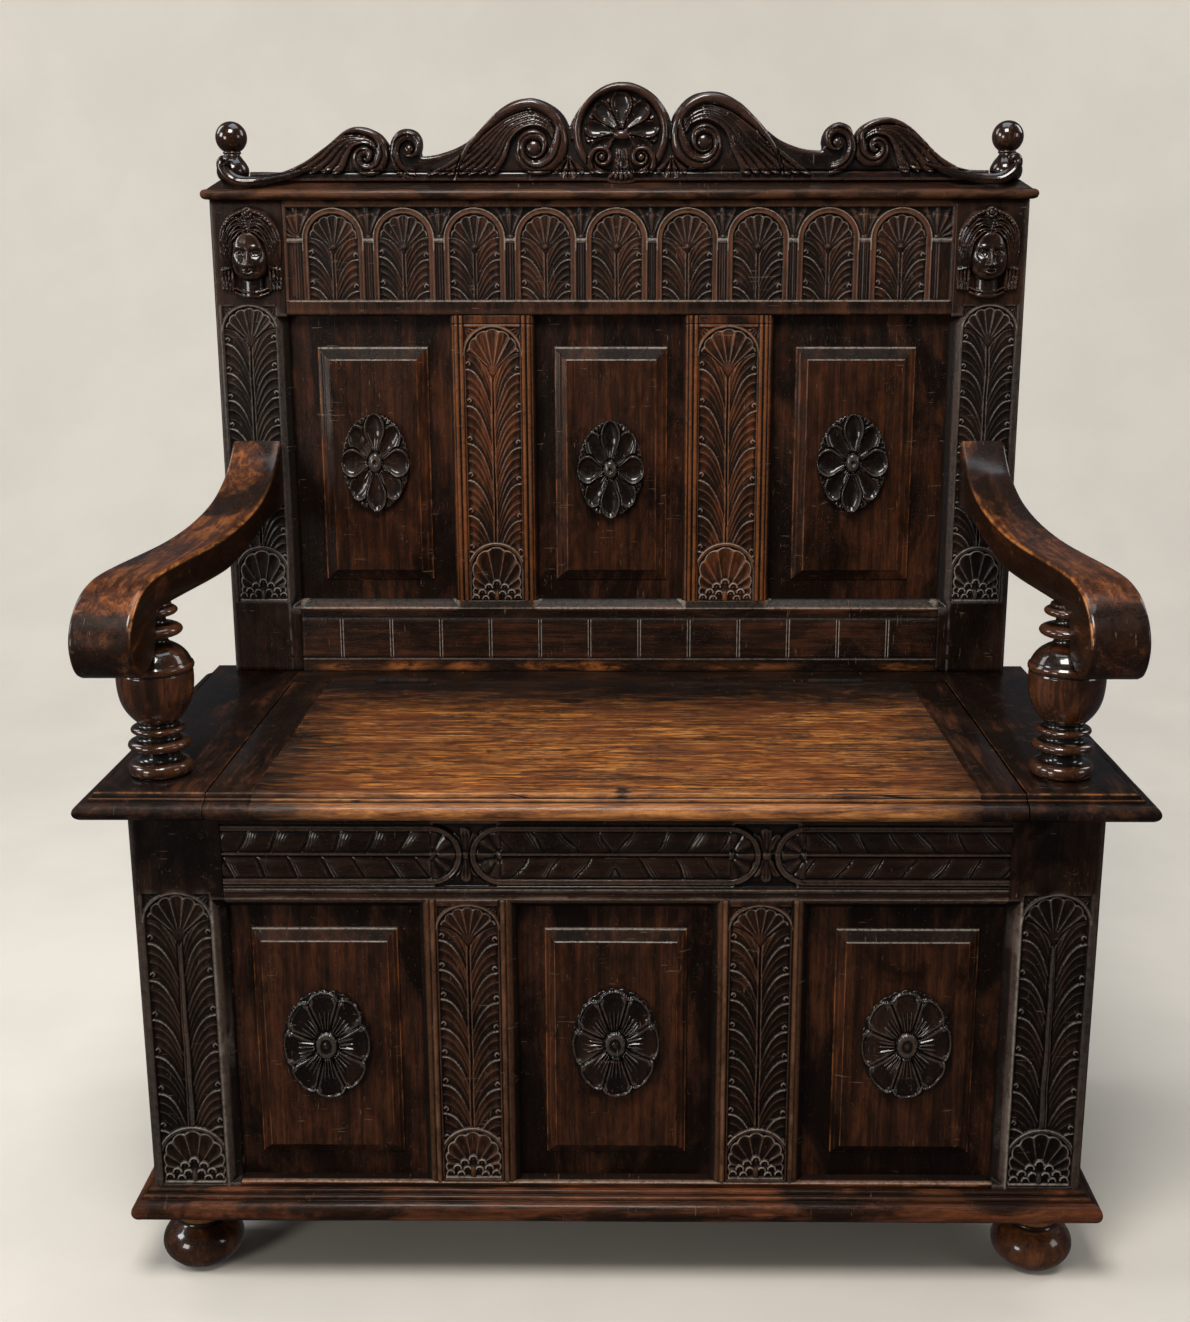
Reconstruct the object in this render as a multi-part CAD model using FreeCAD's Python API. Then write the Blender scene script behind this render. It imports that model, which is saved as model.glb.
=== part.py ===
import FreeCAD, Part
import os, math

os.makedirs("parts", exist_ok=True)
V = FreeCAD.Vector

# A carved oak box settle: a joined and panelled box on bun feet, a moulded
# seat whose middle is a hinged lid, a panelled back with a carved frieze,
# cornice, crest and finials, and two sawn scroll arms on turned supports.
# Millimetres, +Z up, +Y to the back, floor at Z = 0.

# ---------------------------------------------------------------- dimensions
BOX_HALF_W = 460.0        # half the width of the box
BOX_D = 458.0             # depth of the box, front face at Y = 0
BOX_Z0 = 80.0             # underside of the box and of its base moulding
BOX_Z1 = 502.5            # top of the box, underside of the seat
SEAT_Z = 526.5            # top of the seat
SEAT_OV = 38.9            # overhang of the seat at the front and the sides
SEAT_BACK = 459.0         # back edge of the seat
Y_MID = 200.975            # half way between the arm noses and the finials

POST_IN = 373.0           # inner edge of the front posts
POST_DEEP = 60.0          # depth of the corner posts
FRAME_T = 30.0            # thickness of the front frame
CH = 12.0                 # depth of the chamfer round each front opening
LOW_Z0, LOW_Z1 = 113.0, 401.0        # lower openings, deep edges
LOW_M = ((-188.3, -95.0), (93.0, 184.0))   # lower muntins, deep edges

LID_X0, LID_X1 = -378.2, 377.6
END_IN = 379.0            # inner edge of the fixed seat ends
LID_BACK = 382.5
RAIL_FRONT = 383.5
CLAMP_IN = 336.0          # lid board to breadboard clamp

HINGE_Y, HINGE_Z = 383.0, 527.2
HINGE_X = 250.0
HINGE_HALF = 30.0
BARREL_R = 3.2
PIN_R = 1.5
BORE_R = 1.55

BACK_Y0, BACK_Y1 = 431.0, 459.0      # front and back of the back frame
BPOST_IN, BPOST_OUT = 374.0, 455.0
BACK_Z1 = 1066.0                     # underside of the cornice
UP_Z0, UP_Z1 = 612.0, 940.0          # upper openings
UP_M = ((-191.5, -95.0), (73.5, 175.0))    # upper muntins
CORN_Z1 = 1087.5

FOOT_X, FOOT_Y, FOOT_R = 427.0, 45.0, 41.0

# Arms in plan: inner edge and outer edge, at the post and at the nose.
ARM_L = ((-387.5, 431.0), (-426.0, -66.0), (-489.0, -66.0), (-439.5, 431.0))
ARM_R = ((391.0, 431.0), (417.0, -66.0), (479.0, -66.0), (440.0, 431.0))
ARM_TOP = [(431, 799), (409, 777), (386, 760.5), (353, 746), (318, 737),
           (273, 730), (228, 726), (179, 724), (120, 724), (61, 724.5),
           (21, 724), (-5, 721.5), (-28, 715), (-46, 704), (-58, 690),
           (-63, 674), (-60, 658), (-52, 646), (-41, 640)]
ARM_LOW = [(-41, 640), (-29, 640.5), (-15, 645), (-5, 653), (1, 664),
           (3.5, 675), (7, 684), (15, 689.5), (30, 691), (55, 691),
           (112, 690), (163, 689), (218, 689.5), (258, 694), (305, 703),
           (358, 715), (431, 724)]
SUPPORTS = ((-435.5, 38.0), (424.5, 38.0))

MASK_X, MASK_Z = 411.0, 1010.0
FINIAL_X, FINIAL_Y = 430.0, 447.0


# ------------------------------------------------------------------- helpers
def box(x0, x1, y0, y1, z0, z1):
    return Part.makeBox(x1 - x0, y1 - y0, z1 - z0, V(x0, y0, z0))


def _prism(points, direction):
    wire = Part.makePolygon(points + [points[0]])
    return Part.Face(wire).extrude(direction)


def prism_x(yz, x0, x1):
    return _prism([V(x0, y, z) for y, z in yz], V(x1 - x0, 0, 0))


def prism_y(xz, y0, y1):
    return _prism([V(x, y0, z) for x, z in xz], V(0, y1 - y0, 0))


def prism_z(xy, z0, z1):
    return _prism([V(x, y, z0) for x, y in xy], V(0, 0, z1 - z0))


def lathe(profile, x, y):
    pts = [V(0, 0, profile[0][1])] + [V(r, 0, z) for r, z in profile]
    pts.append(V(0, 0, profile[-1][1]))
    clean = [pts[0]]
    for p in pts[1:]:
        if (p - clean[-1]).Length > 1e-6:
            clean.append(p)
    wire = Part.makePolygon(clean + [clean[0]])
    solid = Part.Face(wire).revolve(V(0, 0, 0), V(0, 0, 1), 360)
    solid.translate(V(x, y, 0))
    return solid


def bead(r_in, r_out, z0, z1, n=7):
    """Half-round moulding between z0 and z1, from r_in out to r_out."""
    zc, h = (z0 + z1) / 2.0, (z1 - z0) / 2.0
    out = []
    for i in range(n + 1):
        a = math.pi * i / n - math.pi / 2
        out.append((r_in + (r_out - r_in) * math.cos(a), zc + h * math.sin(a)))
    return out


def cyl(r, length, x, y, z, axis):
    return Part.makeCylinder(r, length, V(x, y, z), V(*axis))


def fuse(*shapes):
    out = shapes[0]
    for s in shapes[1:]:
        out = out.fuse(s)
    return out.removeSplitter()


def scaled(shape, sx, sy, sz, centre):
    m = FreeCAD.Matrix()
    m.move(V(-centre[0], -centre[1], -centre[2]))
    m.scale(sx, sy, sz)
    m.move(V(*centre))
    return shape.transformGeometry(m)


def mirror(shape):
    return shape.mirror(V(0, 0, 0), V(1, 0, 0))


NODES = {}


def add(name, *solids):
    NODES[name] = list(solids)


def cut(name, *tools):
    """Takes tools away from every solid of a node."""
    out = []
    for s in NODES[name]:
        for t in tools:
            s = s.cut(t)
        out.extend(s.Solids)
    NODES[name] = out


def solids_of(*names):
    return [s for n in names for s in NODES[n]]


def fielded(x0, x1, z0, z1, y_plate, t, y_field, outer, inner, tongue=7.0):
    """Raised and fielded panel facing -Y: a plate in its grooves with a
    raised field on a bevelled edge."""
    plate = box(x0 - tongue, x1 + tongue, y_plate, y_plate + t,
                z0 - tongue, z1 + tongue)
    ox0, ox1, oz0, oz1 = outer
    ix0, ix1, iz0, iz1 = inner
    a = Part.makePolygon([V(ox0, y_plate, oz0), V(ox1, y_plate, oz0),
                          V(ox1, y_plate, oz1), V(ox0, y_plate, oz1),
                          V(ox0, y_plate, oz0)])
    b = Part.makePolygon([V(ix0, y_field, iz0), V(ix1, y_field, iz0),
                          V(ix1, y_field, iz1), V(ix0, y_field, iz1),
                          V(ix0, y_field, iz0)])
    field = Part.makeLoft([a, b], True, True)
    return fuse(plate, field)


def rosette(cx, cz, w, h, y_back, t, boss_r):
    """Oval carved boss applied to a panel's field, facing -Y."""
    def oval(k, y):
        e = Part.Ellipse(V(cx, y, cz), 1.0, 0.5)
        e = Part.Ellipse(V(cx, y, cz + h / 2.0 * k), V(cx + w / 2.0 * k, y, cz),
                         V(cx, y, cz))
        return Part.Wire([e.toShape()])
    body = Part.makeLoft([oval(0.97, y_back), oval(1.0, y_back - t * 0.35)],
                         True, True)
    body = body.fuse(Part.makeLoft([oval(1.0, y_back - t * 0.35),
                                    oval(0.66, y_back - t)], True, True))
    boss = cyl(boss_r, t * 0.5, cx, y_back - t * 0.9, cz, (0, -1, 0))
    return body.fuse(boss).removeSplitter()


# ------------------------------------------------------------ box, front frame
POST_CH = [(BOX_HALF_W, 0.0), (386.0, 0.0), (POST_IN, CH), (POST_IN, POST_DEEP),
           (BOX_HALF_W, POST_DEEP)]
post_r = prism_z(POST_CH, LOW_Z0, 408.0)
post_r = fuse(post_r, box(POST_IN, BOX_HALF_W, 0, POST_DEEP, BOX_Z0, LOW_Z0),
              box(POST_IN, BOX_HALF_W, 0, POST_DEEP, 408.0, BOX_Z1))
add("front_post_right", post_r)
add("front_post_left", mirror(post_r))

back_post = box(400.0, BOX_HALF_W, BOX_D - POST_DEEP, BOX_D, BOX_Z0, BOX_Z1)
add("back_post_right", back_post)
add("back_post_left", mirror(back_post))

front_top = prism_x([(0, BOX_Z1), (FRAME_T, BOX_Z1), (FRAME_T, LOW_Z1),
                     (CH, LOW_Z1), (0, 412.0)], -POST_IN, POST_IN)
front_top = fuse(front_top, box(-POST_IN - 30, POST_IN + 30, 11, 21, 425, 494))
add("front_top_rail", front_top)
front_bot = prism_x([(0, BOX_Z0), (FRAME_T, BOX_Z0), (FRAME_T, LOW_Z0),
                     (CH, LOW_Z0), (0, 109.0)], -POST_IN, POST_IN)
front_bot = fuse(front_bot, box(-POST_IN - 30, POST_IN + 30, 11, 21, 84, 107))
add("front_bottom_rail", front_bot)

for side, (a, b) in zip(("left", "right"), LOW_M):
    m = prism_z([(a + 8, 0), (b - 8, 0), (b, 8), (b, FRAME_T), (a, FRAME_T),
                 (a, 8)], LOW_Z0, LOW_Z1)
    # the muntin is scribed over the chamfer of the top rail
    scribe = prism_x([(0, LOW_Z1), (CH, LOW_Z1), (0, 412.0)], a + 8, b - 8)
    scribe2 = prism_x([(0, 109.0), (CH, LOW_Z0), (0, LOW_Z0)], a + 8, b - 8)
    c = (a + b) / 2.0
    m = fuse(m, scribe, scribe2,
             box(c - 26, c + 26, 12, 20, LOW_Z0 - 22, LOW_Z0),
             box(c - 26, c + 26, 12, 20, LOW_Z1, LOW_Z1 + 22))
    add("front_muntin_" + side, m)

LOW_OPEN = ((-POST_IN, LOW_M[0][0]), (LOW_M[0][1], LOW_M[1][0]),
            (LOW_M[1][1], POST_IN))
LOW_OUT = ((-353.0, -212.5), (-68.8, 68.6), (213.5, 351.0))
LOW_ROS = ((-282.0, 259.0, 89.0, 118.0), (-0.5, 261.0, 88.0, 118.0),
           (283.0, 260.5, 91.0, 118.0))
for side, (a, b), (oa, ob) in zip(("left", "centre", "right"), LOW_OPEN, LOW_OUT):
    add("front_panel_" + side,
        fielded(a, b, LOW_Z0, LOW_Z1, 14.0, 8.0, 7.0,
                (oa, ob, 138.5, 374.5), (oa + 9, ob - 9, 147.5, 365.5)))
add("front_rosettes", *[rosette(x, z, w, h, 7.0, 9.0, 13.0)
                        for x, z, w, h in LOW_ROS])

# ------------------------------------------------------------ box, side frames
SIDE_T = 26.0
SY0, SY1 = POST_DEEP, BOX_D - POST_DEEP
SX = BOX_HALF_W - SIDE_T
side_top = box(SX, BOX_HALF_W, SY0, SY1, 440.0, BOX_Z1)
side_top = fuse(side_top, box(SX + 8, SX + 18, SY0 - 25, SY1 + 25, 452, 494))
side_bot = box(SX, BOX_HALF_W, SY0, SY1, BOX_Z0, 150.0)
side_bot = fuse(side_bot, box(SX + 8, SX + 18, SY0 - 25, SY1 + 25, 90, 140))
plate = box(SX + 8, SX + 16, SY0 - 7, SY1 + 7, 143.0, 447.0)
wa = Part.makePolygon([V(SX + 16, SY0 + 26, 176), V(SX + 16, SY1 - 26, 176),
                       V(SX + 16, SY1 - 26, 414), V(SX + 16, SY0 + 26, 414),
                       V(SX + 16, SY0 + 26, 176)])
wb = Part.makePolygon([V(SX + 22, SY0 + 36, 186), V(SX + 22, SY1 - 36, 186),
                       V(SX + 22, SY1 - 36, 404), V(SX + 22, SY0 + 36, 404),
                       V(SX + 22, SY0 + 36, 186)])
side_panel = fuse(plate, Part.makeLoft([wa, wb], True, True))
for side, f in (("right", lambda s: s), ("left", mirror)):
    add("side_top_rail_" + side, f(side_top))
    add("side_bottom_rail_" + side, f(side_bot))
    add("side_panel_" + side, f(side_panel))

# ------------------------------------------------------------------- box, rear
RY0, RY1 = BOX_D - 28.0, BOX_D - 2.0
rear_top = fuse(box(-400, 400, RY0, RY1, 440, BOX_Z1),
                box(-425, 425, RY0 + 8, RY0 + 18, 452, 494))
rear_bot = fuse(box(-400, 400, RY0, RY1, BOX_Z0, 150),
                box(-425, 425, RY0 + 8, RY0 + 18, 90, 140))
add("rear_top_rail", rear_top)
add("rear_bottom_rail", rear_bot)
boards = []
edges = [-407.0, -206.0, 4.0, 203.0, 407.0]
for i in range(4):
    boards.append(box(edges[i] + (0.4 if i else 0), edges[i + 1] - (0.4 if i < 3 else 0),
                      RY0 + 8, RY0 + 17, 143, 447))
add("rear_boards", *boards)

# ------------------------------------------------------------------ box, floor
bottom = box(-440, 440, 24, RY0 + 6, 92, 104)
add("bottom_board", bottom)

# ---------------------------------------------------------------- base moulding
BASE_PROF = [(0, 108.6), (4.5, 108.6), (6.0, 106.0), (6.2, 102.5), (9.5, 101.0),
             (14.0, 99.6), (17.2, 97.0), (19.0, 93.6), (19.6, 90.0),
             (18.6, 86.4), (16.0, 82.8), (12.5, 80.6), (10.0, BOX_Z0),
             (0, BOX_Z0)]
W = BOX_HALF_W
front_prof = [(-d, z) for d, z in BASE_PROF]
bm_front = prism_x(front_prof, -W - 30, W + 30)
mitre_keep = prism_z([(-W, 0), (W, 0), (W + 30, -30), (-W - 30, -30)], 60, 130)
add("base_moulding_front", bm_front.common(mitre_keep))
bm_side = prism_y([(W + d, z) for d, z in BASE_PROF], -30, BOX_D)
side_keep = prism_z([(W, 0), (W + 30, -30), (W + 30, BOX_D), (W, BOX_D)], 60, 130)
bm_side = bm_side.common(side_keep)
add("base_moulding_right", bm_side)
add("base_moulding_left", mirror(bm_side))

# ------------------------------------------------------------------------ feet
FOOT_PROF = [(26.0, 0.0), (33.0, 2.5), (38.0, 8.0), (40.6, 16.0), (41.0, 24.0),
             (40.0, 31.0), (36.5, 38.5), (31.0, 44.0), (25.5, 47.5), (23.5, 49.5),
             (25.0, 51.0), (26.0, 54.0), (25.0, 57.0), (23.0, 59.0),
             (22.0, 64.0), (22.5, 70.0), (25.0, 75.0), (28.5, 78.0),
             (29.0, BOX_Z0), (12.0, BOX_Z0), (12.0, BOX_Z0 + 26)]
foot = lathe(FOOT_PROF, 0, 0)
for name, y in (("front_feet", FOOT_Y), ("back_feet", BOX_D - FOOT_Y)):
    fs = []
    for s in (-1, 1):
        f = foot.copy()
        f.translate(V(s * FOOT_X, y, 0))
        fs.append(f)
    add(name, *fs)

# ------------------------------------------------------------------------ seat
SEAT_PROF = [(22.5, SEAT_Z), (23.6, 524.7), (27.4, 524.3), (28.4, 522.6),
             (31.2, 522.6), (34.6, 521.2), (37.4, 518.0), (38.9, 513.5),
             (38.2, 509.0), (35.6, 505.0), (31.6, BOX_Z1)]
seat_yz = ([(SEAT_BACK, SEAT_Z)] + [(-d, z) for d, z in SEAT_PROF]
           + [(SEAT_BACK, BOX_Z1)])
seat_xz = ([(W + d, z) for d, z in SEAT_PROF]
           + [(-W - d, z) for d, z in reversed(SEAT_PROF)])
slab = prism_x(seat_yz, -W - 60, W + 60).common(
    prism_y(seat_xz, -60, SEAT_BACK + 10))
# the back corners are nipped off
slab = slab.common(prism_z([(-510, -60), (510, -60), (510, 444), (494, SEAT_BACK),
                            (-494, SEAT_BACK), (-510, 444)], 490, 540))
add("seat_end_left", slab.common(box(-520, -END_IN, -60, 470, 490, 540)))
add("seat_end_right", slab.common(box(END_IN, 520, -60, 470, 490, 540)))
rail = fuse(box(-END_IN, END_IN, RAIL_FRONT, SEAT_BACK, BOX_Z1, SEAT_Z),
            box(-END_IN - 14, END_IN + 14, RAIL_FRONT + 12, SEAT_BACK - 12, 510, 518))
add("hinge_rail", rail)
lid = slab.common(box(LID_X0, LID_X1, -60, LID_BACK, 490, 540))
board = lid.common(box(-CLAMP_IN, CLAMP_IN, -60, 400, 490, 540))
board = fuse(board, box(-CLAMP_IN - 12, CLAMP_IN + 12, 10, 350, 510, 519))
add("lid_board", board)
add("lid_clamp_left", lid.common(box(-400, -CLAMP_IN, -60, 400, 490, 540)))
add("lid_clamp_right", lid.common(box(CLAMP_IN, 400, -60, 400, 490, 540)))
cut("lid_clamp_left", board)
cut("lid_clamp_right", board)

# ---------------------------------------------------------------------- hinges
fixed_leaves, lid_leaves, pins, fixed_screws, lid_screws = [], [], [], [], []
for hx in (-HINGE_X, HINGE_X):
    x0, x1 = hx - HINGE_HALF, hx + HINGE_HALF
    step = 2 * HINGE_HALF / 5.0
    gap = 0.25
    spans = [(x0 + i * step + gap, x0 + (i + 1) * step - gap) for i in range(5)]
    lid_plate = box(x0, x1, LID_BACK - 2.0, LID_BACK, 504.5, HINGE_Z + 0.5)
    fix_plate = box(x0, x1, RAIL_FRONT, RAIL_FRONT + 2.0, 504.5, HINGE_Z + 0.5)
    for i, (a, b) in enumerate(spans):
        clear = cyl(BARREL_R + 0.3, b - a + 2 * gap, a - gap, HINGE_Y, HINGE_Z,
                    (1, 0, 0))
        if i % 2 == 0:
            lid_plate = lid_plate.cut(clear)
        else:
            fix_plate = fix_plate.cut(clear)
    for i, (a, b) in enumerate(spans):
        barrel = cyl(BARREL_R, b - a, a, HINGE_Y, HINGE_Z, (1, 0, 0))
        if i % 2 == 0:
            fix_plate = fix_plate.fuse(barrel)
        else:
            lid_plate = lid_plate.fuse(barrel)
    shaft = cyl(PIN_R, 2 * HINGE_HALF, x0, HINGE_Y, HINGE_Z, (1, 0, 0))
    bore = cyl(BORE_R, 2 * HINGE_HALF + 4, x0 - 2, HINGE_Y, HINGE_Z, (1, 0, 0))
    fix_plate = fix_plate.cut(shaft)
    lid_plate = lid_plate.cut(bore)
    heads = [cyl(2.6, 1.2, x0 - 1.2, HINGE_Y, HINGE_Z, (1, 0, 0)),
             cyl(2.6, 1.2, x1, HINGE_Y, HINGE_Z, (1, 0, 0))]
    pins.append(fuse(shaft, *heads))
    for sx in (hx - 20, hx, hx + 20):
        head = cyl(3.0, 1.0, sx, LID_BACK - 1.0, 513.0, (0, 1, 0))
        shank = cyl(1.8, 17.0, sx, LID_BACK - 18.0, 513.0, (0, 1, 0))
        lid_screws.append(fuse(head, shank))
        head = cyl(3.0, 1.0, sx, RAIL_FRONT, 513.0, (0, 1, 0))
        shank = cyl(1.8, 17.0, sx, RAIL_FRONT + 1.0, 513.0, (0, 1, 0))
        fixed_screws.append(fuse(head, shank))
    fixed_leaves.append(fix_plate.removeSplitter())
    lid_leaves.append(lid_plate.removeSplitter())
    room = cyl(BARREL_R + 0.5, 2 * HINGE_HALF + 4, x0 - 2, HINGE_Y, HINGE_Z,
               (1, 0, 0))
    cut("lid_board", room, box(x0, x1, LID_BACK - 2.0, LID_BACK + 1, 504.5, 530))
    cut("hinge_rail", room, box(x0, x1, RAIL_FRONT - 1, RAIL_FRONT + 2.0, 504.5, 530))
fixed_leaves = [s.cut(Part.makeCompound(fixed_screws)).Solids[0] for s in fixed_leaves]
lid_leaves = [s.cut(Part.makeCompound(lid_screws)).Solids[0] for s in lid_leaves]
cut("lid_board", *lid_screws)
cut("hinge_rail", *fixed_screws)
add("hinge_leaves_fixed", *fixed_leaves)
add("hinge_leaves_lid", *lid_leaves)
add("hinge_pins", *pins)
add("hinge_screws_fixed", *fixed_screws)
add("hinge_screws_lid", *lid_screws)

# ------------------------------------------------------------------ back frame
bp = prism_z([(BPOST_OUT, BACK_Y0), (387.0, BACK_Y0), (BPOST_IN, BACK_Y0 + 10),
              (BPOST_IN, BACK_Y1), (BPOST_OUT, BACK_Y1)], UP_Z0, UP_Z1)
bp = fuse(bp, box(BPOST_IN, BPOST_OUT, BACK_Y0, BACK_Y1, SEAT_Z, UP_Z0),
          box(BPOST_IN, BPOST_OUT, BACK_Y0, BACK_Y1, UP_Z1, BACK_Z1),
          box(396, 432, BACK_Y0 + 8, BACK_Y0 + 20, SEAT_Z - 18, SEAT_Z))
add("upper_post_right", bp)
add("upper_post_left", mirror(bp))

rail_low = prism_x([(BACK_Y0, SEAT_Z), (BACK_Y1, SEAT_Z), (BACK_Y1, UP_Z0),
                    (BACK_Y0 + 9, UP_Z0), (BACK_Y0, 603.0)], -BPOST_IN, BPOST_IN)
rail_low = fuse(rail_low, box(-BPOST_IN - 28, BPOST_IN + 28, BACK_Y0 + 10,
                              BACK_Y0 + 20, 540, 598))
add("back_bottom_rail", rail_low)
frieze = fuse(box(-BPOST_IN, BPOST_IN, BACK_Y0, BACK_Y1, UP_Z1, BACK_Z1),
              box(-BPOST_IN - 28, BPOST_IN + 28, BACK_Y0 + 10, BACK_Y0 + 20, 955, 1050))
add("frieze_rail", frieze)
for side, (a, b) in zip(("left", "right"), UP_M):
    c = (a + b) / 2.0
    m = prism_z([(a + 4, BACK_Y0 + 0.5), (b - 4, BACK_Y0 + 0.5), (b, BACK_Y0 + 5),
                 (b, BACK_Y1 - 2), (a, BACK_Y1 - 2), (a, BACK_Y0 + 5)], UP_Z0, UP_Z1)
    m = fuse(m, box(c - 28, c + 28, BACK_Y0 + 11, BACK_Y0 + 19, UP_Z0 - 22, UP_Z0),
             box(c - 28, c + 28, BACK_Y0 + 11, BACK_Y0 + 19, UP_Z1, UP_Z1 + 22))
    add("back_muntin_" + side, m)

UP_OPEN = ((-BPOST_IN, UP_M[0][0]), (UP_M[0][1], UP_M[1][0]),
           (UP_M[1][1], BPOST_IN))
UP_OUT = ((-343.0, -218.0), (-73.0, 55.0), (202.0, 337.5))
UP_ROS = ((-280.5, 774.0, 79.0, 115.0), (-9.7, 766.0, 77.0, 114.0),
          (268.5, 774.0, 82.0, 114.0))
for side, (a, b), (oa, ob) in zip(("left", "centre", "right"), UP_OPEN, UP_OUT):
    add("back_panel_" + side,
        fielded(a, b, UP_Z0, UP_Z1, BACK_Y0 + 13, 8.0, BACK_Y0 + 7,
                (oa, ob, 635.0, 903.0), (oa + 12, ob - 12, 646.0, 890.5)))
add("back_rosettes", *[rosette(x, z, w, h, BACK_Y0 + 7, 12.0, 12.0)
                       for x, z, w, h in UP_ROS])

# --------------------------------------------------------------------- cornice
CORN_PROF = [(0, BACK_Z1), (5.5, BACK_Z1 + 0.4), (9.0, 1068.6), (10.0, 1072.0),
             (9.0, 1075.2), (6.0, 1077.0), (3.0, 1077.6), (2.0, 1079.0),
             (-9.0, CORN_Z1)]
CX = 452.5
corn_yz = ([(BACK_Y1, BACK_Z1)] + [(BACK_Y0 - d, z) for d, z in CORN_PROF]
           + [(BACK_Y1, CORN_Z1)])
corn_xz = ([(CX + d, z) for d, z in CORN_PROF]
           + [(-CX - d, z) for d, z in reversed(CORN_PROF)])
cornice = prism_x(corn_yz, -500, 500).common(prism_y(corn_xz, 380, 480))
add("cornice", cornice)

# ------------------------------------------------------------------------ crest
CREST_TOP = [
    (-409.0, 1096.1), (-389.7, 1096.1), (-372.3, 1096.1), (-358.9, 1100.7),
    (-345.5, 1107.1), (-331.8, 1116.2), (-316.4, 1127.4), (-304.8, 1137.0),
    (-293.4, 1142.4), (-282.2, 1143.4), (-271.1, 1140.7), (-262.3, 1135.3),
    (-255.9, 1126.8), (-253.2, 1122.6), (-251.3, 1128.9), (-246.6, 1136.3),
    (-239.8, 1140.6), (-232.0, 1141.6), (-224.1, 1139.5), (-218.8, 1132.1),
    (-217.9, 1123.5), (-219.2, 1117.1), (-217.8, 1112.8), (-210.4, 1112.8),
    (-199.2, 1114.7), (-187.8, 1118.1), (-176.5, 1122.4), (-162.9, 1130.4),
    (-150.8, 1141.7), (-138.6, 1154.1), (-126.7, 1163.7), (-114.7, 1169.9),
    (-102.9, 1172.7), (-91.0, 1172.8), (-79.2, 1169.3), (-67.4, 1162.4),
    (-59.2, 1154.0), (-54.0, 1144.5), (-50.9, 1150.1), (-43.8, 1160.8),
    (-31.9, 1174.2), (-20.0, 1183.2), (-8.3, 1188.2), (3.5, 1190.0),
    (15.3, 1188.8), (29.0, 1183.4), (39.7, 1176.0), (48.5, 1166.4),
    (54.8, 1155.7), (57.4, 1149.2), (59.9, 1155.7), (67.3, 1165.8),
    (75.9, 1173.5), (85.9, 1178.3), (98.4, 1180.0), (110.8, 1179.4),
    (123.3, 1174.6), (133.5, 1168.1), (142.4, 1160.4), (152.5, 1150.2),
    (161.5, 1141.2), (174.6, 1131.3), (183.8, 1126.5), (193.0, 1123.0),
    (203.9, 1119.9), (221.5, 1118.2), (225.0, 1120.9), (224.2, 1126.9),
    (225.3, 1133.8), (228.7, 1140.7), (234.9, 1145.9), (243.0, 1147.8),
    (249.4, 1145.9), (255.0, 1141.6), (258.2, 1131.2), (259.7, 1133.8),
    (264.9, 1141.6), (273.7, 1148.0), (284.5, 1151.5), (296.1, 1152.3),
    (308.0, 1149.1), (319.8, 1142.6), (331.7, 1132.6), (341.3, 1122.7),
    (350.9, 1113.9), (361.6, 1106.7), (373.4, 1101.1), (385.0, 1098.1),
    (396.7, 1097.2), (409.0, 1097.2)]
CR_Y0, CR_Y1 = 428.5, 455.0
outline = [(409.0, 1078.0), (-409.0, 1078.0)] + CREST_TOP
crest = prism_y(outline, CR_Y0, CR_Y1)
HOOK = [(-384.0, 1091.0), (-406.0, 1089.5), (-417.0, 1091.0), (-426.0, 1096.0),
        (-431.5, 1102.0), (-433.0, 1108.5), (-437.5, 1110.5), (-441.5, 1106.0),
        (-442.0, 1099.5), (-438.0, 1090.5), (-431.0, 1084.5), (-421.0, 1080.6),
        (-408.0, 1078.6), (-384.0, 1078.4)]
hook_l = prism_y(HOOK, 419.5, 428.6)
root_l = prism_y([(-384, 1078.4), (-384, 1091), (-407, 1089.5), (-407, 1078.6)],
                 419.5, 440.0)
hook_r = prism_y([(-x, z + 2.0) for x, z in HOOK], 419.5, 428.6)
root_r = mirror(root_l)
crest = fuse(crest, hook_l, root_l, hook_r, root_r).cut(cornice)
crest = max(crest.Solids, key=lambda s: s.Volume)
add("crest", crest)

# --------------------------------------------------------------------- finials
FIN_R, FIN_C = 17.3, 1133.0
fin = [(7.0, BACK_Z1 - 16), (7.0, CORN_Z1), (13.5, CORN_Z1), (16.6, 1091.0),
       (18.0, 1096.5), (17.2, 1101.5), (14.0, 1107.0), (10.5, 1111.5),
       (8.4, 1115.0), (9.6, 1116.2), (9.8, 1117.6), (8.6, 1118.4)]
for i in range(1, 13):
    a = -math.pi / 2 + math.radians(28) + math.radians(152) * i / 12.0
    fin.append((max(FIN_R * math.cos(a), 0.0), FIN_C + FIN_R * math.sin(a)))
fin[-1] = (0.0, FIN_C + FIN_R)
finials = [lathe(fin, s * FINIAL_X, FINIAL_Y) for s in (-1, 1)]
add("finials", *finials)
crest_holes = [Part.makeCylinder(18.5, 60, V(s * FINIAL_X, FINIAL_Y, 1087.5))
               for s in (-1, 1)]
cut("crest", *crest_holes)
NODES["crest"] = [max(NODES["crest"], key=lambda s: s.Volume)]
dowels = [Part.makeCylinder(7.0, CORN_Z1 - BACK_Z1 + 16,
                            V(s * FINIAL_X, FINIAL_Y, BACK_Z1 - 16))
          for s in (-1, 1)]
cut("cornice", *dowels)
cut("upper_post_left", dowels[0])
cut("upper_post_right", dowels[1])


# ----------------------------------------------------------------------- masks
def ellipsoid(cx, cy, cz, rx, ry, rz):
    s = Part.makeSphere(10.0, V(cx, cy, cz))
    return scaled(s, rx / 10.0, ry / 10.0, rz / 10.0, (cx, cy, cz))


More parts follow.
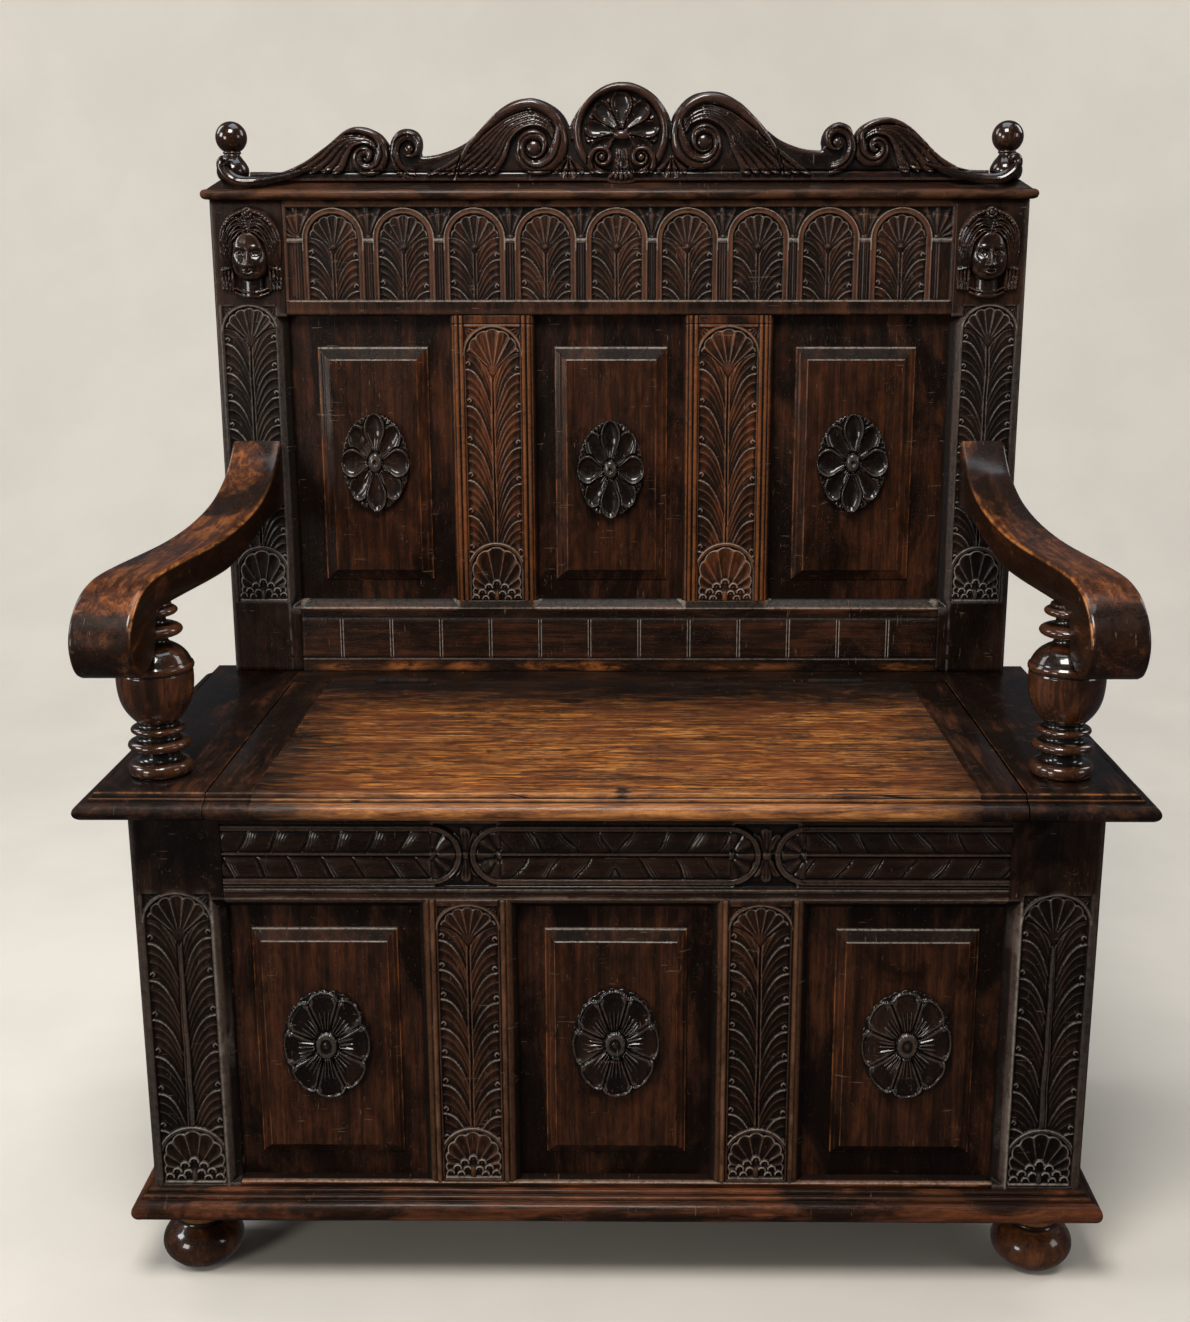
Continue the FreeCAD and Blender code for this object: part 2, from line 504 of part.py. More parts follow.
for side, s in (("left", -1), ("right", 1)):
    x = s * MASK_X
    hair = ellipsoid(x, BACK_Y0, 1018.0, 37.0, 15.0, 44.0)
    face = ellipsoid(x, BACK_Y0 - 2.0, 1010.0, 24.0, 24.0, 34.0)
    neck = ellipsoid(x, BACK_Y0, 973.0, 34.0, 12.0, 16.0)
    m = hair.fuse(face).fuse(neck)
    m = m.cut(box(x - 60, x + 60, BACK_Y0, BACK_Y0 + 60, 900, 1100))
    add("mask_" + side, m.removeSplitter())


# ------------------------------------------------------------------------ arms
def arm_profile():
    top = Part.BSplineCurve()
    top.interpolate([V(0, y, z) for y, z in ARM_TOP])
    low = Part.BSplineCurve()
    low.interpolate([V(0, y, z) for y, z in ARM_LOW])
    back = Part.LineSegment(V(0, *ARM_LOW[-1]), V(0, *ARM_TOP[0]))
    return Part.Wire([top.toShape(), low.toShape(), back.toShape()])


arm_face = Part.Face(arm_profile())
for side, plan, tx in (("left", ARM_L, -413.0), ("right", ARM_R, 415.5)):
    wide = arm_face.copy()
    wide.translate(V(-600 if side == "left" else 300, 0, 0))
    wide = wide.extrude(V(300, 0, 0))
    arm = wide.common(prism_z(list(plan), 600, 850))
    tenon = box(tx - 14, tx + 14, BACK_Y0 - 1, BACK_Y0 + 16, 738, 784)
    arm = arm.fuse(tenon)
    add("arm_" + side, arm)
    cut("upper_post_" + side, tenon)

# ---------------------------------------------------------------- arm supports
SUP = [(10.0, SEAT_Z - 20), (10.0, SEAT_Z), (26.5, SEAT_Z)]
SUP += bead(25.5, 30.2, SEAT_Z + 0.4, 540.0)
SUP += [(21.5, 541.0), (19.0, 544.0), (18.6, 549.0), (20.5, 551.0)]
SUP += bead(21.5, 29.2, 551.5, 561.5)
SUP += [(19.6, 562.5), (19.0, 565.0), (19.6, 567.0)]
SUP += bead(20.0, 25.8, 567.5, 575.0)
SUP += [(18.5, 576.0), (18.6, 578.0), (23.5, 583.0), (28.6, 589.5), (32.6, 597.5),
        (35.0, 607.0), (36.0, 618.0), (35.6, 628.0), (36.8, 630.5), (37.0, 633.0),
        (35.8, 635.5), (33.5, 638.0), (31.0, 643.5), (27.0, 648.5), (21.0, 652.5),
        (16.0, 654.5), (14.2, 657.0), (14.2, 660.0)]
SUP += bead(16.0, 28.6, 661.0, 673.5)
SUP += [(14.0, 675.0), (13.2, 678.0), (14.5, 680.5)]
SUP += bead(16.0, 25.0, 681.0, 690.4)
SUP += [(20.0, 690.6), (9.0, 690.9), (9.0, 706.0)]
for side, (x, y) in zip(("left", "right"), SUPPORTS):
    sup = lathe(SUP, x, y)
    low = sup.cut(NODES["arm_" + side][0].cut(
        Part.makeCylinder(9.0, 40, V(x, y, 680))))
    low = max(low.Solids, key=lambda s: s.Volume)
    cut("arm_" + side, low)
    NODES["arm_" + side] = [max(NODES["arm_" + side], key=lambda s: s.Volume)]
    add("arm_support_" + side, low)
    cut("seat_end_" + side, low)

# ---------------------------------------------------------------- joinery cuts
front = solids_of("front_top_rail", "front_bottom_rail")
munt = solids_of("front_muntin_left", "front_muntin_right")
pan = solids_of("front_panel_left", "front_panel_centre", "front_panel_right")
side_l = solids_of("side_top_rail_left", "side_bottom_rail_left")
side_r = solids_of("side_top_rail_right", "side_bottom_rail_right")
rear = solids_of("rear_top_rail", "rear_bottom_rail")
feet = solids_of("front_feet", "back_feet")
cut("front_top_rail", *(munt + pan))
cut("front_bottom_rail", *(munt + pan))
cut("front_bottom_rail", bottom)
cut("front_muntin_left", *pan)
cut("front_muntin_right", *pan)
for side, rails in (("left", side_l), ("right", side_r)):
    sp = NODES["side_panel_" + side]
    cut("front_post_" + side, *(front + rails + sp + pan + feet))
    cut("back_post_" + side, *(rear + rails + sp + NODES["rear_boards"] + feet))
    cut("side_top_rail_" + side, *sp)
    cut("side_bottom_rail_" + side, *(sp + [bottom]))
cut("rear_top_rail", *NODES["rear_boards"])
cut("rear_bottom_rail", *(NODES["rear_boards"] + [bottom]))
cut("bottom_board", *solids_of("front_post_left", "front_post_right",
                               "back_post_left", "back_post_right"))
NODES["bottom_board"] = [max(NODES["bottom_board"], key=lambda s: s.Volume)]

cut("seat_end_left", rail)
cut("seat_end_right", rail)
bpan = solids_of("back_panel_left", "back_panel_centre", "back_panel_right")
bmun = solids_of("back_muntin_left", "back_muntin_right")
brail = solids_of("back_bottom_rail", "frieze_rail")
cut("back_muntin_left", *bpan)
cut("back_muntin_right", *bpan)
cut("back_bottom_rail", *(bmun + bpan))
cut("frieze_rail", *(bmun + bpan))
for side in ("left", "right"):
    cut("upper_post_" + side, *(brail + bpan))
    cut("seat_end_" + side, *NODES["upper_post_" + side])

# ------------------------------------------------------------------------ pegs
pegs = []
for s in (-1, 1):
    for x, z in ((389.0, 436.0), (391.0, 476.0)):
        pegs.append(("front_post_" + ("left" if s < 0 else "right"),
                     "front_top_rail", cyl(3.4, 25.6, s * x, -0.6, z, (0, 1, 0))))
    for x, z in ((388.0, 545.0), (390.0, 561.5)):
        pegs.append(("upper_post_" + ("left" if s < 0 else "right"),
                     "back_bottom_rail",
                     cyl(3.4, 26.0, s * x, BACK_Y0 - 0.6, z, (0, 1, 0))))
for p, r, c in pegs:
    cut(p, c)
    cut(r, c)
add("joint_pegs", *[c for p, r, c in pegs])

# ---------------------------------------------------------------------- export
total = None
for name, solids in NODES.items():
    flat = []
    for s in solids:
        flat.extend(s.Solids)
    for s in flat:
        s.translate(V(0, -Y_MID, 0))
        if not s.isValid() or s.Volume < 1.0:
            print("CHECK", name, s.isValid(), round(s.Volume, 3))
    shape = flat[0] if len(flat) == 1 else Part.makeCompound(flat)
    shape.exportStep("parts/%s.step" % name)
    bb = shape.optimalBoundingBox(True, False)
    if total is None:
        total = FreeCAD.BoundBox(bb)
    else:
        total.add(bb)
    print("%-22s %d solid(s) %9.1f cm3  x %.1f..%.1f y %.1f..%.1f z %.1f..%.1f"
          % (name, len(flat), shape.Volume / 1000.0, bb.XMin, bb.XMax,
             bb.YMin, bb.YMax, bb.ZMin, bb.ZMax))
print("nodes", len(NODES))
print("whole x %.2f..%.2f y %.2f..%.2f z %.2f..%.2f"
      % (total.XMin, total.XMax, total.YMin, total.YMax, total.ZMin, total.ZMax))
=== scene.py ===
import math

import bmesh
import bpy
import numpy as np
from mathutils import Matrix, Vector


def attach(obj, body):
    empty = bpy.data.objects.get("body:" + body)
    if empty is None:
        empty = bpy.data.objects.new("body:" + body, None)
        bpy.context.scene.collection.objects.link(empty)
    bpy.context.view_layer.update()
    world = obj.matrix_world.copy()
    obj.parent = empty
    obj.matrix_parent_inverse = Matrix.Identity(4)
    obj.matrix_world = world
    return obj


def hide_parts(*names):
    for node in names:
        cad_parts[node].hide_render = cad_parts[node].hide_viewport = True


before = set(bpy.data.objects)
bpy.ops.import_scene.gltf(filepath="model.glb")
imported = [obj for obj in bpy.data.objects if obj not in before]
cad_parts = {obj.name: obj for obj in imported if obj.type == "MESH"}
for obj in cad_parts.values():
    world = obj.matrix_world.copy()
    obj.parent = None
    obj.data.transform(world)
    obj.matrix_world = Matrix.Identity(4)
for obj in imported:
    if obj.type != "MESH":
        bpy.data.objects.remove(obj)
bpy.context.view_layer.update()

# A carved oak box settle. The carving is made as relief: a fine grid whose
# points stand out from the face of each piece of wood. Shapes are worked out
# in millimetres with the box front at y = 0, and moved to the row frame when
# a mesh is built.
Y_MID = 200.975
FINE = 0.7
PI = math.pi


# ------------------------------------------------------------------ materials
class Graph:
    def __init__(self, name):
        self.mat = bpy.data.materials.new(name)
        self.mat.use_nodes = True
        self.nt = self.mat.node_tree
        self.nt.nodes.clear()
        self.out = self.nt.nodes.new("ShaderNodeOutputMaterial")
        self.bsdf = self.nt.nodes.new("ShaderNodeBsdfPrincipled")
        self.nt.links.new(self.bsdf.outputs[0], self.out.inputs[0])

    def node(self, kind, **props):
        n = self.nt.nodes.new(kind)
        for k, v in props.items():
            setattr(n, k, v)
        return n

    def put(self, socket, value):
        if isinstance(value, bpy.types.NodeSocket):
            self.nt.links.new(value, socket)
        else:
            socket.default_value = value

    def math(self, op, a, b=0.0, c=0.0, clamp=False):
        n = self.node("ShaderNodeMath", operation=op, use_clamp=clamp)
        self.put(n.inputs[0], a)
        self.put(n.inputs[1], b)
        self.put(n.inputs[2], c)
        return n.outputs[0]

    def mix(self, fac, a, b, blend="MIX"):
        n = self.node("ShaderNodeMixRGB", blend_type=blend)
        self.put(n.inputs[0], fac)
        self.put(n.inputs[1], a)
        self.put(n.inputs[2], b)
        return n.outputs[0]

    def remap(self, v, a, b, c, d, smooth=True):
        n = self.node("ShaderNodeMapRange",
                      interpolation_type="SMOOTHSTEP" if smooth else "LINEAR")
        n.clamp = True
        self.put(n.inputs[0], v)
        for i, x in enumerate((a, b, c, d)):
            n.inputs[i + 1].default_value = x
        return n.outputs[0]

    def ramp(self, fac, stops):
        n = self.node("ShaderNodeValToRGB")
        el = n.color_ramp.elements
        while len(el) < len(stops):
            el.new(0.5)
        for e, (p, c) in zip(el, stops):
            e.position = p
            e.color = (*c, 1.0)
        self.put(n.inputs[0], fac)
        return n.outputs[0]

    def coords(self, scale, offset=(0, 0, 0)):
        tc = self.node("ShaderNodeTexCoord")
        mp = self.node("ShaderNodeMapping")
        mp.inputs["Location"].default_value = offset
        mp.inputs["Scale"].default_value = scale
        self.nt.links.new(tc.outputs["Object"], mp.inputs["Vector"])
        return mp.outputs[0]

    def noise(self, vec, scale=1.0, detail=4.0, rough=0.55, dist=0.0):
        n = self.node("ShaderNodeTexNoise")
        self.put(n.inputs["Vector"], vec)
        n.inputs["Scale"].default_value = scale
        n.inputs["Detail"].default_value = detail
        n.inputs["Roughness"].default_value = rough
        n.inputs["Distortion"].default_value = dist
        return n.outputs["Fac"]

    def voronoi(self, vec, scale=1.0, feature="F1"):
        n = self.node("ShaderNodeTexVoronoi", feature=feature)
        self.put(n.inputs["Vector"], vec)
        n.inputs["Scale"].default_value = scale
        return n.outputs["Distance"]

    def attr(self, name):
        n = self.node("ShaderNodeAttribute", attribute_name=name)
        return n.outputs["Fac"]


def stretch(grain, across, along):
    return {"x": (along, across, across), "y": (across, along, across),
            "z": (across, across, along)}[grain]


BLACK = (0.0070, 0.0031, 0.0016)
DARK = (0.0140, 0.0056, 0.0026)
BROWN = (0.0300, 0.0105, 0.0042)
RED = (0.062, 0.0180, 0.0058)
ORANGE = (0.200, 0.062, 0.0150)
PALE = (0.105, 0.088, 0.078)


def oak(name, grain, lo, mid, hi, worn, seed=0.0, worn_amount=0.6, grime_and_shade=0.85,
        rough=(0.32, 0.50), coat=0.10, bump=0.45, warm=0.5, lid=None, gloss=0.15,
        coat_rough=0.14):
    """Old waxed oak: streaks along the grain, open pores, black and warm patches, grime and painted shade in the
    hollows, worn high spots, and painted highlights on edges that catch the light."""
    g = Graph(name)
    off = (seed * 1.7, seed * 0.9, seed * 2.3)
    big = g.noise(g.coords(stretch(grain, 13.0, 5.0), off), 1.0, 6.0, 0.66, 0.9)
    mott = g.noise(g.coords(stretch(grain, 60.0, 24.0), off), 1.0, 5.0, 0.7, 0.5)
    streak = g.noise(g.coords(stretch(grain, 90.0, 4.0), off), 1.0, 6.0, 0.66, 1.0)
    fibre = g.noise(g.coords(stretch(grain, 520.0, 13.0), off), 1.0, 3.0, 0.6, 0.3)
    pore = g.noise(g.coords(stretch(grain, 1200.0, 75.0), off), 1.0, 2.0, 0.5, 0.0)
    nick = g.noise(g.coords((210.0, 210.0, 210.0), off), 1.0, 3.0, 0.75, 0.0)
    tone = g.math("ADD", g.math("MULTIPLY", streak, 0.46),
                  g.math("MULTIPLY", fibre, 0.20))
    tone = g.math("ADD", tone, g.math("MULTIPLY", mott, 0.34))
    col = g.ramp(tone, [(0.38, lo), (0.49, mid), (0.60, hi)])
    w = g.attr("warm")
    patch = g.math("ADD", big, g.math("MULTIPLY", w, 0.16))
    col = g.mix(g.remap(patch, 0.44 + (0.5 - warm) * 0.12, 0.60 + (0.5 - warm) * 0.12, 0.94, 0.0),
                col, (*[x * 0.55 for x in lo], 1.0))
    pores = g.remap(pore, 0.58, 0.70, 0.0, 1.0)
    col = g.mix(g.math("MULTIPLY", pores, 0.7), col, (*[x * 0.5 for x in BLACK], 1.0))
    height = g.math("ADD", g.math("MULTIPLY", fibre, 0.6),
                    g.math("MULTIPLY", pores, -0.6))
    if lid:
        col, height = lid(g, col, height, big, streak, fibre, pores, mott)
    cav = g.attr("cav")
    up = g.remap(cav, 0.12, 0.60, 0.0, 1.0)
    # hollows darkened towards black: real grime together with painted shade
    down = g.remap(cav, -0.04, -0.40, 0.0, grime_and_shade)
    wear_noise = g.remap(mott, 0.42, 0.62, 0.10, 1.0)
    up = g.math("MULTIPLY", g.math("MULTIPLY", up, g.remap(nick, 0.3, 0.6, 0.35, 1.0)), worn_amount)
    col = g.mix(up, col, (*worn, 1.0))
    col = g.mix(down, col, (*[x * 0.4 for x in BLACK], 1.0))
    wear = g.attr("wear")
    wear_in = g.math("MULTIPLY", g.remap(wear, 0.08, 0.8, 0.0, 1.0), wear_noise)
    col = g.mix(wear_in, col, g.mix(streak, (*[x * 0.6 for x in worn], 1.0),
                                    (*[min(1, x * 1.5) for x in worn], 1.0)))
    # painted highlights: pale lines laid on the upper edges of the carving and on faces turned up to the lamps
    pale = g.attr("pale")
    pale_in = g.math("MULTIPLY", g.remap(pale, 0.05, 0.9, 0.0, 1.0),
                     g.remap(nick, 0.36, 0.56, 0.35, 1.0))
    col = g.mix(g.math("MULTIPLY", pale_in, 0.9), col, (0.25, 0.215, 0.185, 1.0))
    # light-brown scratches, and small knocks with a painted glint on them
    sc = g.noise(g.coords(stretch(grain, 46.0, 520.0), off), 1.0, 1.0, 0.5, 0.0)
    sc2 = g.noise(g.coords((700.0, 110.0, 85.0), off), 1.0, 1.0, 0.5, 0.0)
    few = g.remap(g.noise(g.coords((26.0, 26.0, 26.0), off), 1.0, 2.0), 0.50, 0.62, 0.0, 1.0)
    marks = g.math("MULTIPLY", g.math("MAXIMUM", g.remap(sc, 0.715, 0.735, 0.0, 1.0),
                                      g.remap(sc2, 0.72, 0.74, 0.0, 1.0)), few)
    col = g.mix(g.math("MULTIPLY", marks, 0.55), col, (0.13, 0.085, 0.055, 1.0))
    # small knocks: real nicks whose pale colour is partly a painted glint
    knock_glints = g.remap(g.noise(g.coords((900.0, 900.0, 900.0), off), 1.0, 1.0, 0.5), 0.745, 0.765,
                     0.0, 1.0)
    col = g.mix(g.math("MULTIPLY", knock_glints, 0.6), col, (0.20, 0.17, 0.14, 1.0))
    g.put(g.bsdf.inputs["Base Color"], col)
    r = g.remap(g.math("ADD", g.math("MULTIPLY", big, 0.5),
                       g.math("MULTIPLY", mott, 0.5)), 0.40, 0.60,
                rough[0], rough[1], False)
    r = g.math("ADD", r, g.math("MULTIPLY", down, 0.25))
    r = g.math("ADD", r, g.math("MULTIPLY", pores, 0.15), clamp=True)
    g.put(g.bsdf.inputs["Roughness"], r)
    dents = g.remap(g.voronoi(g.coords((105.0, 105.0, 105.0), off), 1.0), 0.0, 0.13, -1.0, 0.0)
    height = g.math("ADD", height, g.math("MULTIPLY", dents, 0.8))
    height = g.math("ADD", height, g.math("MULTIPLY", marks, -0.9))
    height = g.math("ADD", height, g.math("MULTIPLY", nick, 0.5))
    height = g.math("ADD", height, g.math("MULTIPLY", streak, 0.8))
    b = g.node("ShaderNodeBump")
    b.inputs["Strength"].default_value = bump
    b.inputs["Distance"].default_value = 0.0008
    g.put(b.inputs["Height"], height)
    g.put(g.bsdf.inputs["Normal"], b.outputs[0])
    g.bsdf.inputs["Specular IOR Level"].default_value = gloss
    g.bsdf.inputs["Coat Weight"].default_value = coat
    g.bsdf.inputs["Coat Roughness"].default_value = coat_rough
    return g.mat


def lid_tone(g, col, height, big, streak, fibre, pores, mott):
    """The lid is rubbed to a warm brown in the middle and along the front,
    and stays dark along the back and at both ends."""
    tc = g.node("ShaderNodeTexCoord")
    sep = g.node("ShaderNodeSeparateXYZ")
    g.put(sep.inputs[0], tc.outputs["Object"])
    x, y, z = sep.outputs[0], sep.outputs[1], sep.outputs[2]
    rag = g.noise(g.coords((22.0, 60.0, 20.0)), 1.0, 6.0, 0.68, 1.2)
    rag2 = g.noise(g.coords((7.0, 34.0, 20.0)), 1.0, 5.0, 0.62, 0.8)
    ragged = g.math("ADD", g.math("MULTIPLY", g.math("SUBTRACT", rag, 0.5), 0.30),
                    g.math("MULTIPLY", g.math("SUBTRACT", rag2, 0.5), 0.26))
    left = g.math("ADD", x, 0.322)
    right = g.math("SUBTRACT", 0.335, x)
    rear = g.math("SUBTRACT", 0.098, y)
    d = g.math("MINIMUM", g.math("MINIMUM", left, right), rear)
    m = g.remap(g.math("ADD", d, g.math("MULTIPLY", ragged, 0.62)), -0.045, 0.085, 0.0, 1.0)
    # the underside was never rubbed
    m = g.math("MULTIPLY", m, g.remap(z, 0.5029, 0.5040, 0.0, 1.0))
    fine = g.noise(g.coords((24.0, 430.0, 60.0), (0.0, 0.0, 0.0)), 1.0, 5.0, 0.72, 1.1)
    band = g.noise(g.coords((7.0, 150.0, 60.0), (1.7, 0.6, 0.0)), 1.0, 6.0, 0.66, 1.6)
    tone = g.math("ADD", g.math("MULTIPLY", band, 0.42), g.math("MULTIPLY", fine, 0.40))
    tone = g.math("ADD", tone, g.math("MULTIPLY", mott, 0.18))
    light = g.ramp(tone, [(0.435, (0.014, 0.0050, 0.0021)), (0.475, (0.070, 0.0205, 0.0050)),
                          (0.515, (0.225, 0.071, 0.0130)), (0.575, (0.52, 0.205, 0.045))])
    st = g.noise(g.coords((42.0, 190.0, 60.0), (5.1, 2.2, 0.0)), 1.0, 4.0, 0.72, 1.2)
    light = g.mix(g.remap(st, 0.525, 0.60, 0.0, 0.82), light, (0.030, 0.0095, 0.0036, 1.0))
    fl = g.noise(g.coords((64.0, 240.0, 60.0), (9.1, 4.2, 0.0)), 1.0, 4.0, 0.75, 2.0)
    light = g.mix(g.remap(fl, 0.56, 0.68, 0.0, 0.60), light, (0.46, 0.175, 0.042, 1.0))
    stain = g.noise(g.coords((16.0, 46.0, 10.0), (3.1, 1.2, 0.0)), 1.0, 6.0, 0.72, 1.4)
    light = g.mix(g.remap(stain, 0.50, 0.68, 0.0, 0.88), light, (0.026, 0.0095, 0.0045, 1.0))
    red = g.noise(g.coords((9.0, 20.0, 10.0), (1.3, 7.2, 0.0)), 1.0, 4.0, 0.6, 0.7)
    light = g.mix(g.remap(red, 0.46, 0.62, 0.0, 0.55), light, (0.13, 0.032, 0.0085, 1.0))
    light = g.mix(g.math("MULTIPLY", pores, 0.9), light, (0.016, 0.006, 0.003, 1.0))
    # the front edge is rubbed palest
    front = g.remap(y, -0.212, -0.226, 0.0, 1.0)
    ft = g.ramp(tone, [(0.40, (0.040, 0.0130, 0.0045)), (0.48, (0.165, 0.057, 0.0150)),
                       (0.59, (0.36, 0.145, 0.041))])
    light = g.mix(g.math("MULTIPLY", front, 0.85), light, ft)
    # open cracks along the grain
    ck = g.noise(g.coords((5.0, 130.0, 10.0), (0.4, 0.2, 0.0)), 1.0, 2.0, 0.5, 0.6)
    cm = g.noise(g.coords((11.0, 16.0, 10.0), (2.4, 3.2, 0.0)), 1.0, 2.0, 0.5, 0.0)
    crack = g.math("MULTIPLY", g.remap(g.math("ABSOLUTE", g.math("SUBTRACT", ck, 0.5)),
                                       0.0, 0.010, 1.0, 0.0),
                   g.remap(cm, 0.52, 0.60, 0.0, 1.0))
    light = g.mix(crack, light, (0.006, 0.003, 0.002, 1.0))
    # two knots near the back and an old stain on the front edge
    for kx, ky, kw, kh in ((-0.052, 0.098, 0.018, 0.010), (0.058, 0.104, 0.016, 0.009),
                           (0.0055, -0.2155, 0.0085, 0.0125)):
        ax = g.math("DIVIDE", g.math("SUBTRACT", x, kx), kw)
        ay = g.math("DIVIDE", g.math("SUBTRACT", y, ky), kh)
        rr = g.math("SQRT", g.math("ADD", g.math("MULTIPLY", ax, ax), g.math("MULTIPLY", ay, ay)))
        rr = g.math("ADD", rr, g.math("MULTIPLY", g.math("SUBTRACT", mott, 0.5), 2.2))
        light = g.mix(g.remap(rr, 0.55, 1.15, 0.92, 0.0), light, (0.008, 0.0042, 0.003, 1.0))
    col = g.mix(m, col, light)
    height = g.math("ADD", height, g.math("MULTIPLY", fine, g.math("MULTIPLY", m, 1.6)))
    height = g.math("ADD", height, g.math("MULTIPLY", crack, -2.5))
    height = g.math("ADD", height, g.math("MULTIPLY", streak, 1.2))
    return col, height


def plain(name, colour, rough, scale=8.0, bump=0.1):
    g = Graph(name)
    n = g.noise(g.coords((scale, scale, scale)), 1.0, 5.0, 0.6)
    col = g.mix(g.remap(n, 0.3, 0.7, 0.0, 1.0), (*[c * 0.93 for c in colour], 1.0),
                (*colour, 1.0))
    g.put(g.bsdf.inputs["Base Color"], col)
    g.put(g.bsdf.inputs["Roughness"], g.remap(n, 0.3, 0.7, rough, rough + 0.1))
    return g.mat


def iron():
    g = Graph("iron")
    n = g.noise(g.coords((180.0, 180.0, 180.0)), 1.0, 5.0, 0.65)
    n2 = g.noise(g.coords((35.0, 35.0, 35.0)), 1.0, 4.0, 0.6)
    col = g.mix(g.remap(n2, 0.45, 0.65, 0.0, 0.8), (0.0070, 0.0060, 0.0055, 1.0),
                (0.022, 0.0095, 0.0055, 1.0))
    g.put(g.bsdf.inputs["Base Color"], col)
    g.bsdf.inputs["Metallic"].default_value = 0.0
    g.bsdf.inputs["Specular IOR Level"].default_value = 0.12
    g.put(g.bsdf.inputs["Roughness"], g.remap(n, 0.3, 0.7, 0.66, 0.86))
    b = g.node("ShaderNodeBump")
    b.inputs["Strength"].default_value = 0.3
    b.inputs["Distance"].default_value = 0.0004
    g.put(b.inputs["Height"], n)
    g.put(g.bsdf.inputs["Normal"], b.outputs[0])
    return g.mat


